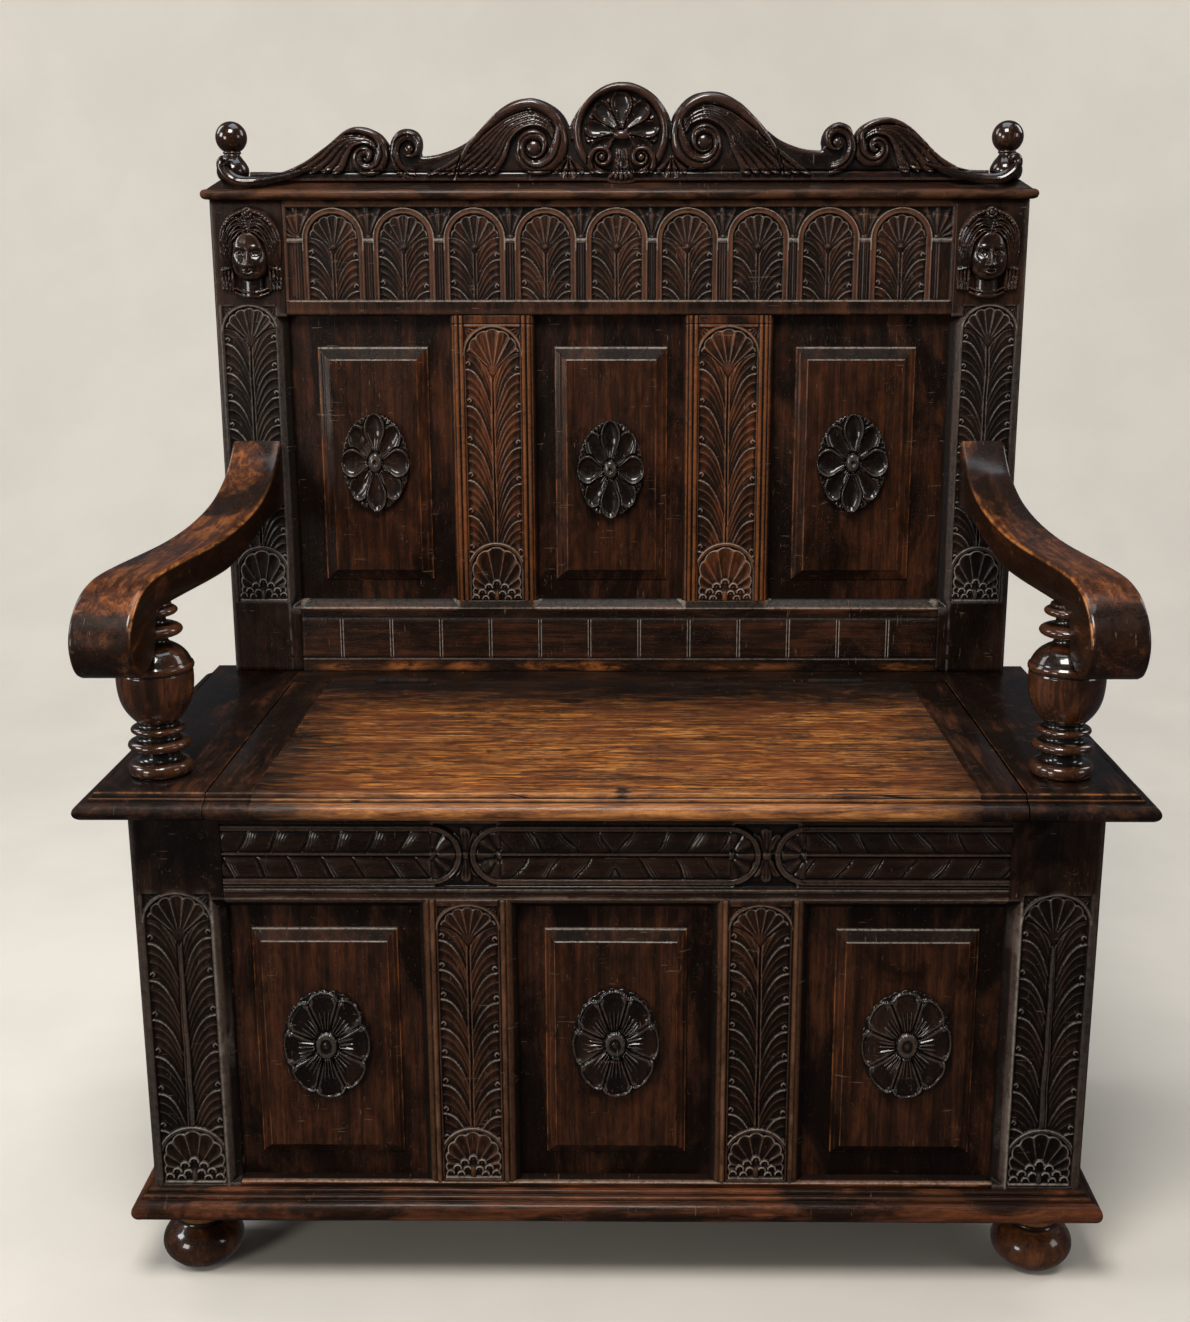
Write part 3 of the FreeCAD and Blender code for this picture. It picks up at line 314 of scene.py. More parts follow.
M = {
    "frame_x": oak("oak_frame_x", "x", DARK, BROWN, RED, ORANGE, 0.3, gloss=0.14),
    "frame_z": oak("oak_frame_z", "z", DARK, BROWN, RED, ORANGE, 1.1, gloss=0.14),
    "rail": oak("oak_rail", "x", BLACK, DARK, (0.055, 0.017, 0.0065), ORANGE, 0.8, gloss=0.14,
                warm=0.35, worn_amount=0.4),
    "post": oak("oak_post", "z", BLACK, DARK, BROWN, PALE, 2.2, worn_amount=0.30, warm=0.55,
                gloss=0.14),
    "muntin": oak("oak_muntin", "z", DARK, RED, (0.115, 0.034, 0.0095), (0.23, 0.078, 0.022), 4.1,
                  worn_amount=0.45, warm=0.62, gloss=0.14),
    "muntin_low": oak("oak_muntin_low", "z", DARK, BROWN, (0.060, 0.0185, 0.0070),
                      (0.13, 0.058, 0.028), 4.9, worn_amount=0.35, warm=0.55, gloss=0.14),
    "carved": oak("oak_carved", "x", BLACK, DARK, BROWN, (0.115, 0.075, 0.055), 3.4,
                  worn_amount=0.40, coat=0.45, rough=(0.22, 0.40), warm=0.6, coat_rough=0.12),
    "crest": oak("oak_crest", "x", BLACK, DARK, (0.032, 0.0110, 0.0050), (0.060, 0.028, 0.019),
                 3.9, worn_amount=0.40, coat=0.7, rough=(0.20, 0.34), warm=0.62, bump=0.25,
                 coat_rough=0.09),
    "mask": oak("oak_mask", "z", BLACK, DARK, (0.036, 0.0130, 0.0065), (0.080, 0.040, 0.027), 3.1,
                worn_amount=0.4, coat=0.6, rough=(0.22, 0.34), warm=0.55, bump=0.15,
                coat_rough=0.12),
    "arcade": oak("oak_arcade", "z", BLACK, BROWN, (0.058, 0.0175, 0.0068), (0.11, 0.050, 0.028),
                  5.2, worn_amount=0.40, warm=0.55, gloss=0.14),
    "rosette": oak("oak_rosette", "z", BLACK, DARK, (0.024, 0.0105, 0.0058), (0.100, 0.078, 0.066),
                   6.2, worn_amount=0.38, coat=0.6, rough=(0.20, 0.34), bump=0.25, coat_rough=0.11,
                   warm=0.6),
    "panel": oak("oak_panel", "z", BLACK, (0.0215, 0.0075, 0.0032), (0.056, 0.0160, 0.0052), (0.15, 0.050, 0.0155),
                 7.3, worn_amount=0.6, warm=0.42, gloss=0.12),
    "seat": oak("oak_seat", "y", BLACK, DARK, (0.060, 0.019, 0.0072), (0.30, 0.115, 0.034), 8.4,
                rough=(0.26, 0.42), coat=0.3, warm=0.45),
    "lid": oak("oak_lid", "x", BLACK, DARK, BROWN, (0.32, 0.12, 0.032), 9.5, lid=lid_tone,
               rough=(0.32, 0.48), coat=0.12, bump=0.6, gloss=0.25),
    "rail_seat": oak("oak_back_strip", "x", BLACK, DARK, BROWN, ORANGE, 10.6),
    "turned": oak("oak_turned", "z", DARK, (0.030, 0.0105, 0.0045), (0.085, 0.0255, 0.0078),
                  (0.10, 0.036, 0.013), 11.2, worn_amount=0.35, coat=0.9, rough=(0.18, 0.32),
                  bump=0.2, warm=0.42, coat_rough=0.06),
    # the feet get a lightened copy of the turned oak: painted light that lifts them out of the shade they stand in
    "foot": oak("oak_foot_lightened", "z", (0.028, 0.0105, 0.0050), (0.085, 0.030, 0.0110),
                (0.17, 0.060, 0.019), (0.24, 0.095, 0.033), 11.8, worn_amount=0.45, coat=0.7,
                rough=(0.20, 0.34), bump=0.25, warm=0.62, coat_rough=0.08),
    "arm": oak("oak_arm", "y", DARK, (0.056, 0.0170, 0.0060), (0.205, 0.064, 0.0145),
               (0.42, 0.150, 0.037), 12.7, coat=0.5, rough=(0.24, 0.40), bump=0.3, warm=0.34,
               coat_rough=0.15),
    "moulding": oak("oak_moulding", "x", DARK, (0.078, 0.0225, 0.0075), (0.155, 0.047, 0.0150),
                    (0.30, 0.108, 0.034),
                    13.9, worn_amount=0.75, warm=0.62),
    "mould_y": oak("oak_moulding_y", "y", DARK, RED, (0.10, 0.030, 0.0100), ORANGE, 14.9,
                   worn_amount=0.75, warm=0.6),
    "cornice": oak("oak_cornice", "x", DARK, BROWN, RED, (0.16, 0.060, 0.022), 13.1,
                   worn_amount=0.4, warm=0.5),
    "plain_z": oak("oak_plain_z", "z", (0.030, 0.016, 0.0095), (0.070, 0.036, 0.019),
                   (0.12, 0.064, 0.033), (0.17, 0.09, 0.05), 15.0, coat=0.0,
                   rough=(0.6, 0.8), warm=0.8),
    "plain_x": oak("oak_plain_x", "x", (0.030, 0.016, 0.0095), (0.070, 0.036, 0.019),
                   (0.12, 0.064, 0.033), (0.17, 0.09, 0.05), 16.0, coat=0.0,
                   rough=(0.6, 0.8), warm=0.8),
    "side": oak("oak_side", "y", DARK, BROWN, RED, ORANGE, 17.0),
    "iron": iron(),
}


# --------------------------------------------------------------------- meshes
def build(name, co, quads, ngons=(), flat=(), attrs=None, mat="frame_z", slot="oak_frame",
          body="root", nodes=(), smooth=True, weld=0.0):
    """A mesh piece from points in millimetres (box front at y = 0)."""
    co = np.asarray(co, float).reshape(-1, 3).copy()
    co[:, 1] -= Y_MID
    co /= 1000.0
    quads = np.asarray(quads, np.int64).reshape(-1, 4)
    flat = np.asarray(flat, np.int64).reshape(-1, 4)
    ngons = [list(map(int, n)) for n in ngons]
    loops = np.concatenate([quads.ravel(), flat.ravel()]
                           + [np.array(n, np.int64) for n in ngons])
    totals = np.array([4] * (len(quads) + len(flat)) + [len(n) for n in ngons], np.int64)
    starts = np.concatenate([[0], np.cumsum(totals)[:-1]])
    me = bpy.data.meshes.new(name)
    me.vertices.add(len(co))
    me.vertices.foreach_set("co", co.astype(np.float32).ravel())
    me.loops.add(len(loops))
    me.loops.foreach_set("vertex_index", loops.astype(np.int32))
    me.polygons.add(len(totals))
    me.polygons.foreach_set("loop_start", starts.astype(np.int32))
    me.polygons.foreach_set("loop_total", totals.astype(np.int32))
    sm = np.zeros(len(totals), bool)
    if smooth:
        sm[:len(quads)] = True
    me.polygons.foreach_set("use_smooth", sm)
    for key, values in (attrs or {}).items():
        a = me.attributes.new(key, "FLOAT", "POINT")
        full = np.zeros(len(co), np.float32)
        full[:len(values)] = values
        a.data.foreach_set("value", full)
    me.update(calc_edges=True)
    me.validate()
    if weld:
        bm = bmesh.new()
        bm.from_mesh(me)
        bmesh.ops.remove_doubles(bm, verts=bm.verts, dist=weld / 1000.0)
        bmesh.ops.dissolve_degenerate(bm, edges=bm.edges, dist=weld / 4000.0)
        bm.to_mesh(me)
        bm.free()
    ob = bpy.data.objects.new(name, me)
    bpy.context.scene.collection.objects.link(ob)
    me.materials.append(M[mat])
    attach(ob, body)
    if nodes:
        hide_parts(*nodes)
    return ob


def ticks(a, b, coarse, *fine):
    """Grid lines from a to b: coarse steps, and fine ones in (lo, hi, step)."""
    marks = {a, b}
    for lo, hi, _ in fine:
        marks |= {min(max(lo, a), b), min(max(hi, a), b)}
    marks = sorted(marks)
    out = []
    for p, q in zip(marks[:-1], marks[1:]):
        mid = (p + q) / 2
        step = min([s for lo, hi, s in fine if lo <= mid <= hi] + [coarse])
        n = max(1, int(round((q - p) / step)))
        out.append(np.linspace(p, q, n + 1))
    out = np.unique(np.round(np.concatenate(out), 4))
    keep = [0]
    for i in range(1, len(out)):
        if out[i] - out[keep[-1]] > 0.02:
            keep.append(i)
    return out[keep]


def blur(a, r):
    """Box blur of radius r cells, three times, along both axes."""
    r = max(1, int(round(r)))
    for _ in range(3):
        for ax in (0, 1):
            pad = [(0, 0), (0, 0)]
            pad[ax] = (r + 1, r)
            p = np.pad(a, pad, mode="edge")
            c = np.cumsum(p, axis=ax)
            n = a.shape[ax]
            hi = np.take(c, np.arange(2 * r + 1, 2 * r + 1 + n), axis=ax)
            lo = np.take(c, np.arange(0, n), axis=ax)
            a = (hi - lo) / (2 * r + 1)
    return a


def step_of(xs):
    return float(np.median(np.diff(xs)))


def relief_block(name, X, Z, H, y_front, y_back, cav_r=2.2, cav_gain=1.9, extra=None, **kw):
    """A board whose front, facing -y, is the grid X, Z raised by H."""
    nz, nx = X.shape
    front = np.stack([X, y_front - H, Z], -1).reshape(-1, 3)
    low = np.stack([X[0], np.full(nx, float(y_back)), Z[0]], -1)
    top = np.stack([X[-1], np.full(nx, float(y_back)), Z[-1]], -1)
    co = np.concatenate([front, low, top])
    i = np.arange(nz * nx).reshape(nz, nx)
    quads = np.stack([i[:-1, :-1], i[:-1, 1:], i[1:, 1:], i[1:, :-1]], -1).reshape(-1, 4)
    lo = nz * nx + np.arange(nx)
    hi = lo + nx
    flat = [np.stack([i[0, :-1], lo[:-1], lo[1:], i[0, 1:]], -1),
            np.stack([i[-1, :-1], i[-1, 1:], hi[1:], hi[:-1]], -1),
            np.stack([lo[:-1], hi[:-1], hi[1:], lo[1:]], -1)]
    ngons = [list(i[:, 0]) + [hi[0], lo[0]],
             list(i[::-1, -1]) + [lo[-1], hi[-1]]]
    pitch = min(step_of(X[nz // 2]), step_of(Z[:, nx // 2]))
    cav = np.clip((H - blur(H, cav_r / max(pitch, 0.3))) * cav_gain / 2.0, -1, 1)
    attrs = {"cav": cav.ravel()}
    if extra is not None:
        attrs["wear"] = np.clip(extra, 0, 1).ravel()
    # the painted highlight lines and the warm tone of the wood pass on as point attributes
    for key in ("pale", "warm"):
        if key in kw:
            attrs[key] = np.clip(kw.pop(key), 0, 1).ravel()
    return build(name, co, quads, ngons, np.concatenate(flat), attrs, **kw)


def revolve(name, prof, cx, cy, seg=96, warm=None, **kw):
    """A turned piece on a vertical axis, from (radius, z) points."""
    prof = np.asarray(prof, float)
    a = np.linspace(0, 2 * PI, seg, endpoint=False)
    n = len(prof)
    co = np.stack([cx + prof[:, None, 0] * np.cos(a), cy + prof[:, None, 0] * np.sin(a),
                   np.repeat(prof[:, None, 1], seg, 1)], -1).reshape(-1, 3)
    i = np.arange(n * seg).reshape(n, seg)
    j = np.roll(i, -1, axis=1)
    quads = np.stack([i[:-1], j[:-1], j[1:], i[1:]], -1).reshape(-1, 4)
    ngons = [list(i[0][::-1]), list(i[-1])]
    r = prof[:, 0]
    k = 9
    ker = np.ones(k) / k
    sm = np.convolve(np.pad(r, k // 2, mode="edge"), ker, "valid")
    c = np.clip((r - sm) * 0.8, -1, 1)
    attrs = {"cav": np.repeat(c, seg)}
    if warm is not None:
        attrs["warm"] = np.repeat([float(warm(z)) for _, z in prof], seg)
    return build(name, co, quads, ngons, attrs=attrs, **kw)


def dense(points, step=0.8, rounds=1):
    """Points of a profile, closer together, with corners rounded a little."""
    p = np.asarray(points, float)
    for _ in range(rounds):
        q = [p[0]]
        for a, b in zip(p[:-1], p[1:]):
            q += [a * 0.75 + b * 0.25, a * 0.25 + b * 0.75]
        q.append(p[-1])
        p = np.array(q)
    d = np.concatenate([[0], np.cumsum(np.hypot(*np.diff(p, axis=0).T))])
    n = max(8, int(d[-1] / step))
    t = np.linspace(0, d[-1], n)
    return np.stack([np.interp(t, d, p[:, 0]), np.interp(t, d, p[:, 1])], -1)


def prof_cav(prof, reach=1.5):
    """Hollows (below 0) and high spots of an edge profile that runs down."""
    p = np.asarray(prof, float)[:, :2]
    d = np.concatenate([[0], np.cumsum(np.hypot(*np.diff(p, axis=0).T))])
    a = np.stack([np.interp(d - reach, d, p[:, k]) for k in (0, 1)], -1)
    b = np.stack([np.interp(d + reach, d, p[:, k]) for k in (0, 1)], -1)
    t = b - a
    n = np.stack([-t[:, 1], t[:, 0]], -1) / (np.linalg.norm(t, axis=1)[:, None] + 1e-9)
    c = ((p - (a + b) / 2) * n).sum(1)
    c[d < reach] = 0
    c[d > d[-1] - reach] = 0
    return np.clip(np.where(c > 0, 0.42, 0.95) * c, -1, 1)


def sm(t):
    t = np.clip(t, 0, 1)
    return t * t * (3 - 2 * t)


def wob(x, z, seed, scale, amp):
    r = np.random.RandomState(seed)
    out = 0.0
    for _ in range(6):
        a, b = r.uniform(-1, 1, 2) * 2 * PI / scale
        out = out + np.sin(x * a + z * b + r.uniform(0, 2 * PI))
    return out * amp / 3.0


def catmull(pts, m=12):
    p = np.asarray(pts, float)
    if len(p) < 3:
        return np.stack([np.linspace(p[0, k], p[-1, k], m) for k in range(p.shape[1])], -1)
    q = np.vstack([2 * p[0] - p[1], p, 2 * p[-1] - p[-2]])
    out = []
    for i in range(1, len(q) - 2):
        t = np.linspace(0, 1, m, endpoint=False)[:, None]
        a, b, c, d = q[i - 1], q[i], q[i + 1], q[i + 2]
        out.append(0.5 * (2 * b + (c - a) * t + (2 * a - 5 * b + 4 * c - d) * t ** 2
                          + (-a + 3 * b - 3 * c + d) * t ** 3))
    out.append(p[-1:])
    return np.vstack(out)


class Relief:
    """A field of heights over a grid, with carving tools."""

    def __init__(self, X, Z, base=0.0):
        self.X, self.Z = X, Z
        self.H = np.full(X.shape, float(base))

    @classmethod
    def grid(cls, xs, zs, base=0.0):
        return cls(*np.meshgrid(xs, zs), base)

    def win(self, x0, x1, z0, z1):
        m = (self.X >= x0) & (self.X <= x1) & (self.Z >= z0) & (self.Z <= z1)
        return np.nonzero(m)

    def near(self, pts, reach):
        w = self.win(pts[:, 0].min() - reach, pts[:, 0].max() + reach,
                     pts[:, 1].min() - reach, pts[:, 1].max() + reach)
        x, z = self.X[w], self.Z[w]
        best = np.full(x.shape, 1e9)
        at = np.zeros(x.shape)
        side = np.zeros(x.shape)
        for k in range(len(pts) - 1):
            ax, az = pts[k]
            dx, dz = pts[k + 1] - pts[k]
            L = dx * dx + dz * dz + 1e-12
            t = np.clip(((x - ax) * dx + (z - az) * dz) / L, 0, 1)
            d = np.hypot(x - ax - t * dx, z - az - t * dz)
            m = d < best
            best = np.where(m, d, best)
            at = np.where(m, (k + t) / (len(pts) - 1), at)
            side = np.where(m, np.sign((x - ax) * dz - (z - az) * dx), side)
        return w, best, at, side

    def stroke(self, pts, w, h, prof="round", mode="max", base=None, sample=10):
        pts = catmull(pts, sample)
        w = np.atleast_1d(w).astype(float)
        h = np.atleast_1d(h).astype(float)
        win, d, at, side = self.near(pts, w.max() + 1.5)
        W = np.interp(at, np.linspace(0, 1, len(w)), w)
        Hh = np.interp(at, np.linspace(0, 1, len(h)), h)
        u = d / np.maximum(W, 1e-6)
        if prof == "round":
            p = np.sqrt(np.clip(1 - u * u, 0, 1))
        elif prof == "v":
            p = np.clip(1 - u, 0, 1)
        elif prof == "soft":
            p = 0.5 + 0.5 * np.cos(PI * np.clip(u, 0, 1))
        elif prof == "flat":
            p = sm((1 - u) * W / 1.2)
        elif prof == "dish":
            p = (0.62 + 0.38 * np.clip(u, 0, 1) ** 2) * sm((1 - u) * W / 1.1)
        cur = self.H[win]
        inside = u < 1
        if mode == "max":
            b = cur.min() if base is None else base
            new = np.where(inside, np.maximum(cur, b + Hh * p), cur)
        elif mode == "add":
            new = cur + np.where(inside, Hh * p, 0)
        elif mode == "sub":
            new = cur - np.where(inside, Hh * p, 0)
        self.H[win] = new
        return self

    def put_max(self, win, h):
        self.H[win] = np.maximum(self.H[win], h)


def edges_round(X, Z, H, r, x0=None, x1=None, z0=None, z1=None):
    """Wears the outer arrises of a board round."""
    for d in ([X - x0] if x0 is not None else []) + ([x1 - X] if x1 is not None else []) \
            + ([Z - z0] if z0 is not None else []) + ([z1 - Z] if z1 is not None else []):
        k = np.clip(1 - d / r, 0, 1)
        H -= r * (1 - np.sqrt(np.clip(1 - k * k, 0, 1))) * 0.85
    return H


# -------------------------------------------------------------- carved motifs
def petal(u, v, ang, r0, L, hw, base=1.6, dish=1.0, neck=0.35, fall=0.8):
    """A spoon-shaped petal that points away from the origin."""
    p = u * math.sin(ang) + v * math.cos(ang)
    q = u * math.cos(ang) - v * math.sin(ang)
    tip = L - hw
    half = np.where(p < tip, hw * (neck + (1 - neck) * sm((p - r0) / max(tip - r0, 1e-3))),
                    np.sqrt(np.clip(hw * hw - (p - tip) ** 2, 0, None)))
    a = np.abs(q) / np.maximum(half, 1e-6)
    inside = (p > r0) & (p < L) & (a < 1)
    h = (base + dish * np.clip(a, 0, 1) ** 2.5) * sm((1 - a) * half / fall + 0.15)
    return np.where(inside, h, 0.0), inside, p, a


def flutes(f, n, depth):
    """Gouge cuts side by side: hollows that meet in sharp ridges."""
    q = f * n
    q = q - np.floor(q)
    return -depth * (1 - (2 * q - 1) ** 2)


def frond(u, v, w, v0, vc, P, D, seed, lift=2.4, side_shift=0.12, nf=4, stem="line",
          power=2.5):
    """A leaf that climbs from v0 to vc: long lobes each side of a stem that
    sweep up and out to the edges. Each lobe has a sharp upper edge, fine
    gouge cuts under it and a small curl in the notch above it."""
    u = u + wob(u, v, seed, 60.0, 0.5)
    v = v + wob(u, v, seed + 7, 50.0, 0.9)
    t = np.clip(np.abs(u) / w, 0, 1.0)
    g = 1 - (1 - t) ** power
    ph = (v - v0 - D * g) / P + np.where(u < 0, 0.0, side_shift) + 8.0
    f = ph - np.floor(ph)
    d = (1 - f) * P
    h = 0.5 + (lift - 0.5) * f ** 1.3
    soft = sm((t - 0.03) / 0.10)
    q = np.clip(f + 0.05 * (1 - t), 0, 0.999) * nf
    qf = q - np.floor(q)
    h -= 1.0 * (1 - (2 * qf - 1) ** 2) * soft
    h += 1.0 * np.exp(-(d / 1.1) ** 2) * soft
    h -= 1.5 * np.exp(-(f * P / 1.4) ** 2) * soft
    # the notch at the border, just above the edge of the lobe below
    we = w - 0.5 - 6.5 * np.exp(-((f - 0.10) / 0.12) ** 2) - 1.2 * (1 - qf) ** 2 * (f < 0.9)
    m = sm((we - np.abs(u)) / 0.9 + 0.2)
    du, dv = np.abs(u) - (w - 3.7), (f - 0.15) * P
    rr = np.hypot(du, dv)
    ring = np.clip(1 - ((rr - 1.9) / 0.95) ** 2, 0, 1) * ((dv > -0.6) | (du < 0))
    eye = np.exp(-(((np.abs(u) - 0.24 * w) / 0.9) ** 2) - (((f - 0.04) * P / 1.2) ** 2))
    h = np.maximum(m * h, 2.3 * np.sqrt(ring)) + 0.9 * eye * m
    # line: painted highlight on the sharp upper edge of each lobe, on the curls and on the ridges between the gouge
    # cuts; further down it is laid on the stem too
    line = np.exp(-((d - 0.3) / 0.8) ** 2) * sm((t - 0.10) / 0.25) * m
    line = np.maximum(line, 0.75 * ring * (dv > -0.2))
    near = np.minimum(qf, 1 - qf) * P / nf
    line = np.maximum(line, 0.42 * np.exp(-(near / 0.42) ** 2) * sm((t - 0.2) / 0.3) * m)
    z = np.clip((v - v0) / max(vc - v0, 1), 0, 1)
    if stem == "band":
        ws = 2.2 + 2.4 * (1 - z)
        a = np.abs(u)
        band = 2.3 * sm((ws - a) / 0.9)
        band -= 1.1 * np.clip(1 - ((u - 0.4 * ws) / 0.7) ** 2, 0, 1)
        gap = np.clip(1 - ((a - ws - 0.5) / 0.9) ** 2, 0, 1)
        h = np.where(a < ws, band, h - 1.5 * gap)
        line = np.where(a < ws + 0.8, 0.0, line)
    else:
        groove = np.clip(1 - (u / 1.1) ** 2, 0, 1)
        ridge = np.clip(1 - ((np.abs(u) - 1.8) / 0.9) ** 2, 0, 1)
        h = np.maximum(h, 2.2 * ridge) - 2.6 * groove
        line = np.maximum(line * (np.abs(u) > 2.4), 0.35 * ridge)
    return h, line


def arch_sd(u, v, w, L, rise):
    """Distance inside a panel with an arched head; below 0 is outside."""
    spring = L - rise
    side = np.minimum(w - np.abs(u), v)
    e = np.sqrt((u / w) ** 2 + ((v - spring) / rise) ** 2)
    head = (1 - e) * min(w, rise)
    return np.where(v > spring, np.minimum(head, v), side)


def palmette(u, v, w, rise, sd, D):
    """The head of a leaf: gouge-cut ribs that fan out from the top of the
    stem to a scalloped edge just inside the arch. sd is the distance inside
    the arch, u and v start at the springing."""
    t = np.clip(np.abs(u) / w, 0, 1)
    g = 1 - (1 - t) ** 2.2
    edge = v + 0.55 * D * (1 - g) - 0.06 * D
    inside = edge > 0
    pv = v + 0.30 * D
    a = np.arctan2(u, pv)
    r = np.hypot(u, pv)
    lobe = 9.0 * np.abs(a) / (2 * 1.45) + 0.5
    f = lobe - np.floor(lobe)
    rim = sd - 1.3 - 2.0 * (2 * f - 1) ** 2
    h = 0.7 + 1.9 * np.clip(r / (rise + 0.3 * D), 0, 1) ** 1.4
    h -= 1.5 * (1 - (2 * f - 1) ** 2) * sm((r - 2.0) / 6.0) * 0.75
    k = 2 * lobe
    kf = k - np.floor(k)
    h -= 0.5 * (1 - (2 * kf - 1) ** 2) * sm((r - 6.0) / 8.0)
    h *= sm(rim / 0.9 + 0.15)
    h -= 1.4 * np.exp(-(edge / 1.0) ** 2)
    # line: painted highlights along the scalloped rim and the edges of the ribs
    line = 0.8 * np.exp(-((rim - 0.7) / 0.7) ** 2)
    near = np.minimum(f, 1 - f) * r * (2 * 1.45 / 9.0)
    line = np.maximum(line, 0.5 * np.exp(-(near / 0.45) ** 2) * sm((r - 5) / 6) * (rim > 0))
    return h, inside, line * sm((edge - 1.0) / 1.0)


def shell_foot(u, v, w, vt, ve):
    """The foot of a leaf panel: a segmental band over a scalloped fan, with
    a bud and rows of small curls."""
    k = w / 32.0
    rise = vt - ve
    R = (w * w + rise * rise) / (2 * rise)
    c = vt - R
    r = np.hypot(u, np.maximum(v - c, 0))
    h = np.zeros_like(u)
    under = r < R - 4.4
    fu, fv = u, v - 10.0 * k
    a = np.arctan2(fu, fv)
    fr = np.hypot(fu, fv)
    lobe = 11.0 * np.abs(a) / (2 * 1.95) + 0.5
    f = lobe - np.floor(lobe)
    edge = np.minimum(R - 5.4 - r, w - 1.0 - np.abs(u)) - 2.2 * (2 * f - 1) ** 2
    fan = 0.9 + 1.7 * np.clip(1 - edge / (16.0 * k), 0, 1)
    fan -= 1.5 * (1 - (2 * f - 1) ** 2) * sm((fr - 3.0) / 7.0)
    ok = under & (edge > 0) & (np.abs(a) < 1.95)
    h = np.where(ok, fan * sm(edge / 0.8 + 0.15), h)
    # line: painted highlights on the fan's rim and ribs, the curls, the base bead and the band
    line = np.where(under & (np.abs(a) < 1.95), np.exp(-((edge - 0.8) / 0.7) ** 2), 0.0)
    near = np.minimum(f, 1 - f) * fr * (2 * 1.95 / 11.0)
    line = np.maximum(line, 0.5 * np.exp(-(near / 0.45) ** 2) * ok * sm((fr - 8) / 6))
    # curls in rows round the bud
    curls = [(0.0, 22.5, 5.4), (9.4, 17.8, 5.4), (-9.4, 17.8, 5.4), (17.4, 11.4, 5.2),
             (-17.4, 11.4, 5.2), (25.0, 5.4, 4.8), (-25.0, 5.4, 4.8), (6.6, 9.6, 5.0),
             (-6.6, 9.6, 5.0), (13.4, 4.2, 4.6), (-13.4, 4.2, 4.6)]
    for cu, cv, cr in curls:
        du, dv = u - cu * k, v - cv * k - 1.5
        d = np.hypot(du, dv) / (cr * k)
        up = sm((dv + cr * 0.35) / 1.2)
        top = 3.2 * np.clip(1 - ((d - 0.76) / 0.25) ** 2, 0, 1) ** 0.6 * up
        dish = 0.5 + 1.3 * np.clip(1 - (d / 0.40) ** 2, 0, 1)
        m = (d < 1) & (v > 1.2)
        h = np.where(m, np.maximum(top, dish), h)
        line = np.where(m, np.exp(-((d - 0.80) / 0.14) ** 2) * up, line)
    d = np.hypot(u / (3.4 * k), (v - 7.5) / (7.5 * k))
    h = np.where(d < 1, 3.5 * np.sqrt(np.clip(1 - d * d, 0, 1)), h)
    line = np.where(d < 1, 0.0, line)
    base = bead_line(np.abs(v - 1.6), 1.5, 2.6) * (np.abs(u) < w - 1.5)
    h = np.maximum(h, base)
    line = np.maximum(line, 0.8 * (base > 1.8))
    b = (r - (R - 2.3)) / 2.3
    band = 3.4 * np.sqrt(np.clip(1 - np.abs(b) ** 2.5, 0, 1)) - 0.9 * np.exp(-((b + 0.2) / 0.25) ** 2)
    h = np.where(np.abs(b) < 1, np.maximum(band, h * 0.2), h)
    line = np.where(np.abs(b) < 1, 0.9 * np.exp(-((b - 0.55) / 0.22) ** 2)
                    + 0.5 * np.exp(-((b + 0.75) / 0.2) ** 2), line)
    return h, r, R, line


def leaf_panel(X, Z, cx, w, z0, z1, seed, depth=3.2, rise=None, P=41.0, D=27.0, foot=None,
               corners=True, nf=4, stem="line"):
    """Heights of a whole carved panel: sunk ground, leaf, head and foot, and where painted highlights lie along its
    edges."""
    u, v = X - cx, Z - z0
    L = z1 - z0
    rise = rise or w * 0.92
    sd = arch_sd(u, v, w, L, rise)
    inside = sd > 0
    v0 = foot[0] if foot else 2.0
    vc = L - rise
    # the last pair of lobes ends below the head
    off = (vc - 0.06 * D - v0 + D * 0.3 - D * 0.45) % P
    h, line = frond(u, v, w, v0 - D * 0.3 + off - P, vc, P, D, seed, nf=nf, stem=stem)
    fan, in_fan, fline = palmette(u, v - vc, w, rise, sd, D)
    h = np.where(in_fan, fan, h)
    line = np.where(in_fan, fline, line)
    if foot:
        sh, r, R, sl = shell_foot(u, v, w, foot[0], foot[1])
        arc = (r < R) & (v < foot[0] + 0.1)
        h = np.where(arc, sh, h)
        line = np.where(arc, sl, line)
    # keep a narrow gutter next to the frame
    h *= sm((sd - 0.3) / 0.7)
    line = line * (sd > 0.4)
    out = np.where(inside, -depth * sm(sd / 0.6) + h, 0.0)
    if corners:
        # sunk triangular spandrels with a small leaf
        spring = L - rise
        for s in (-1, 1):
            qx = (w + 0.5) - s * u
            qz = (L + 0.5) - v
            e = np.sqrt((u / (w + 3.0)) ** 2 + ((v - spring) / (rise + 3.0)) ** 2)
            sdc = np.minimum(np.minimum(qx, qz), (e - 1) * w)
            c = (sdc > 0) & (v > spring) & (s * u > 0)
            a = np.arctan2(qx, qz) / (PI / 2) * 4.0
            rib = 1.9 + flutes(a, 1, 1.6)
            out = np.where(c, -2.4 * sm(sdc / 0.6) + rib * sm(sdc / 1.0), out)
        e = np.sqrt((u / (w + 1.4)) ** 2 + ((v - spring) / (rise + 1.4)) ** 2)
        # painted highlight just outside the arch
        line = np.maximum(line, 0.6 * np.exp(-((e - 1) * w / 0.7) ** 2) * (v > spring) * (sd < 0))
    return out, inside, np.clip(line, 0, 1)


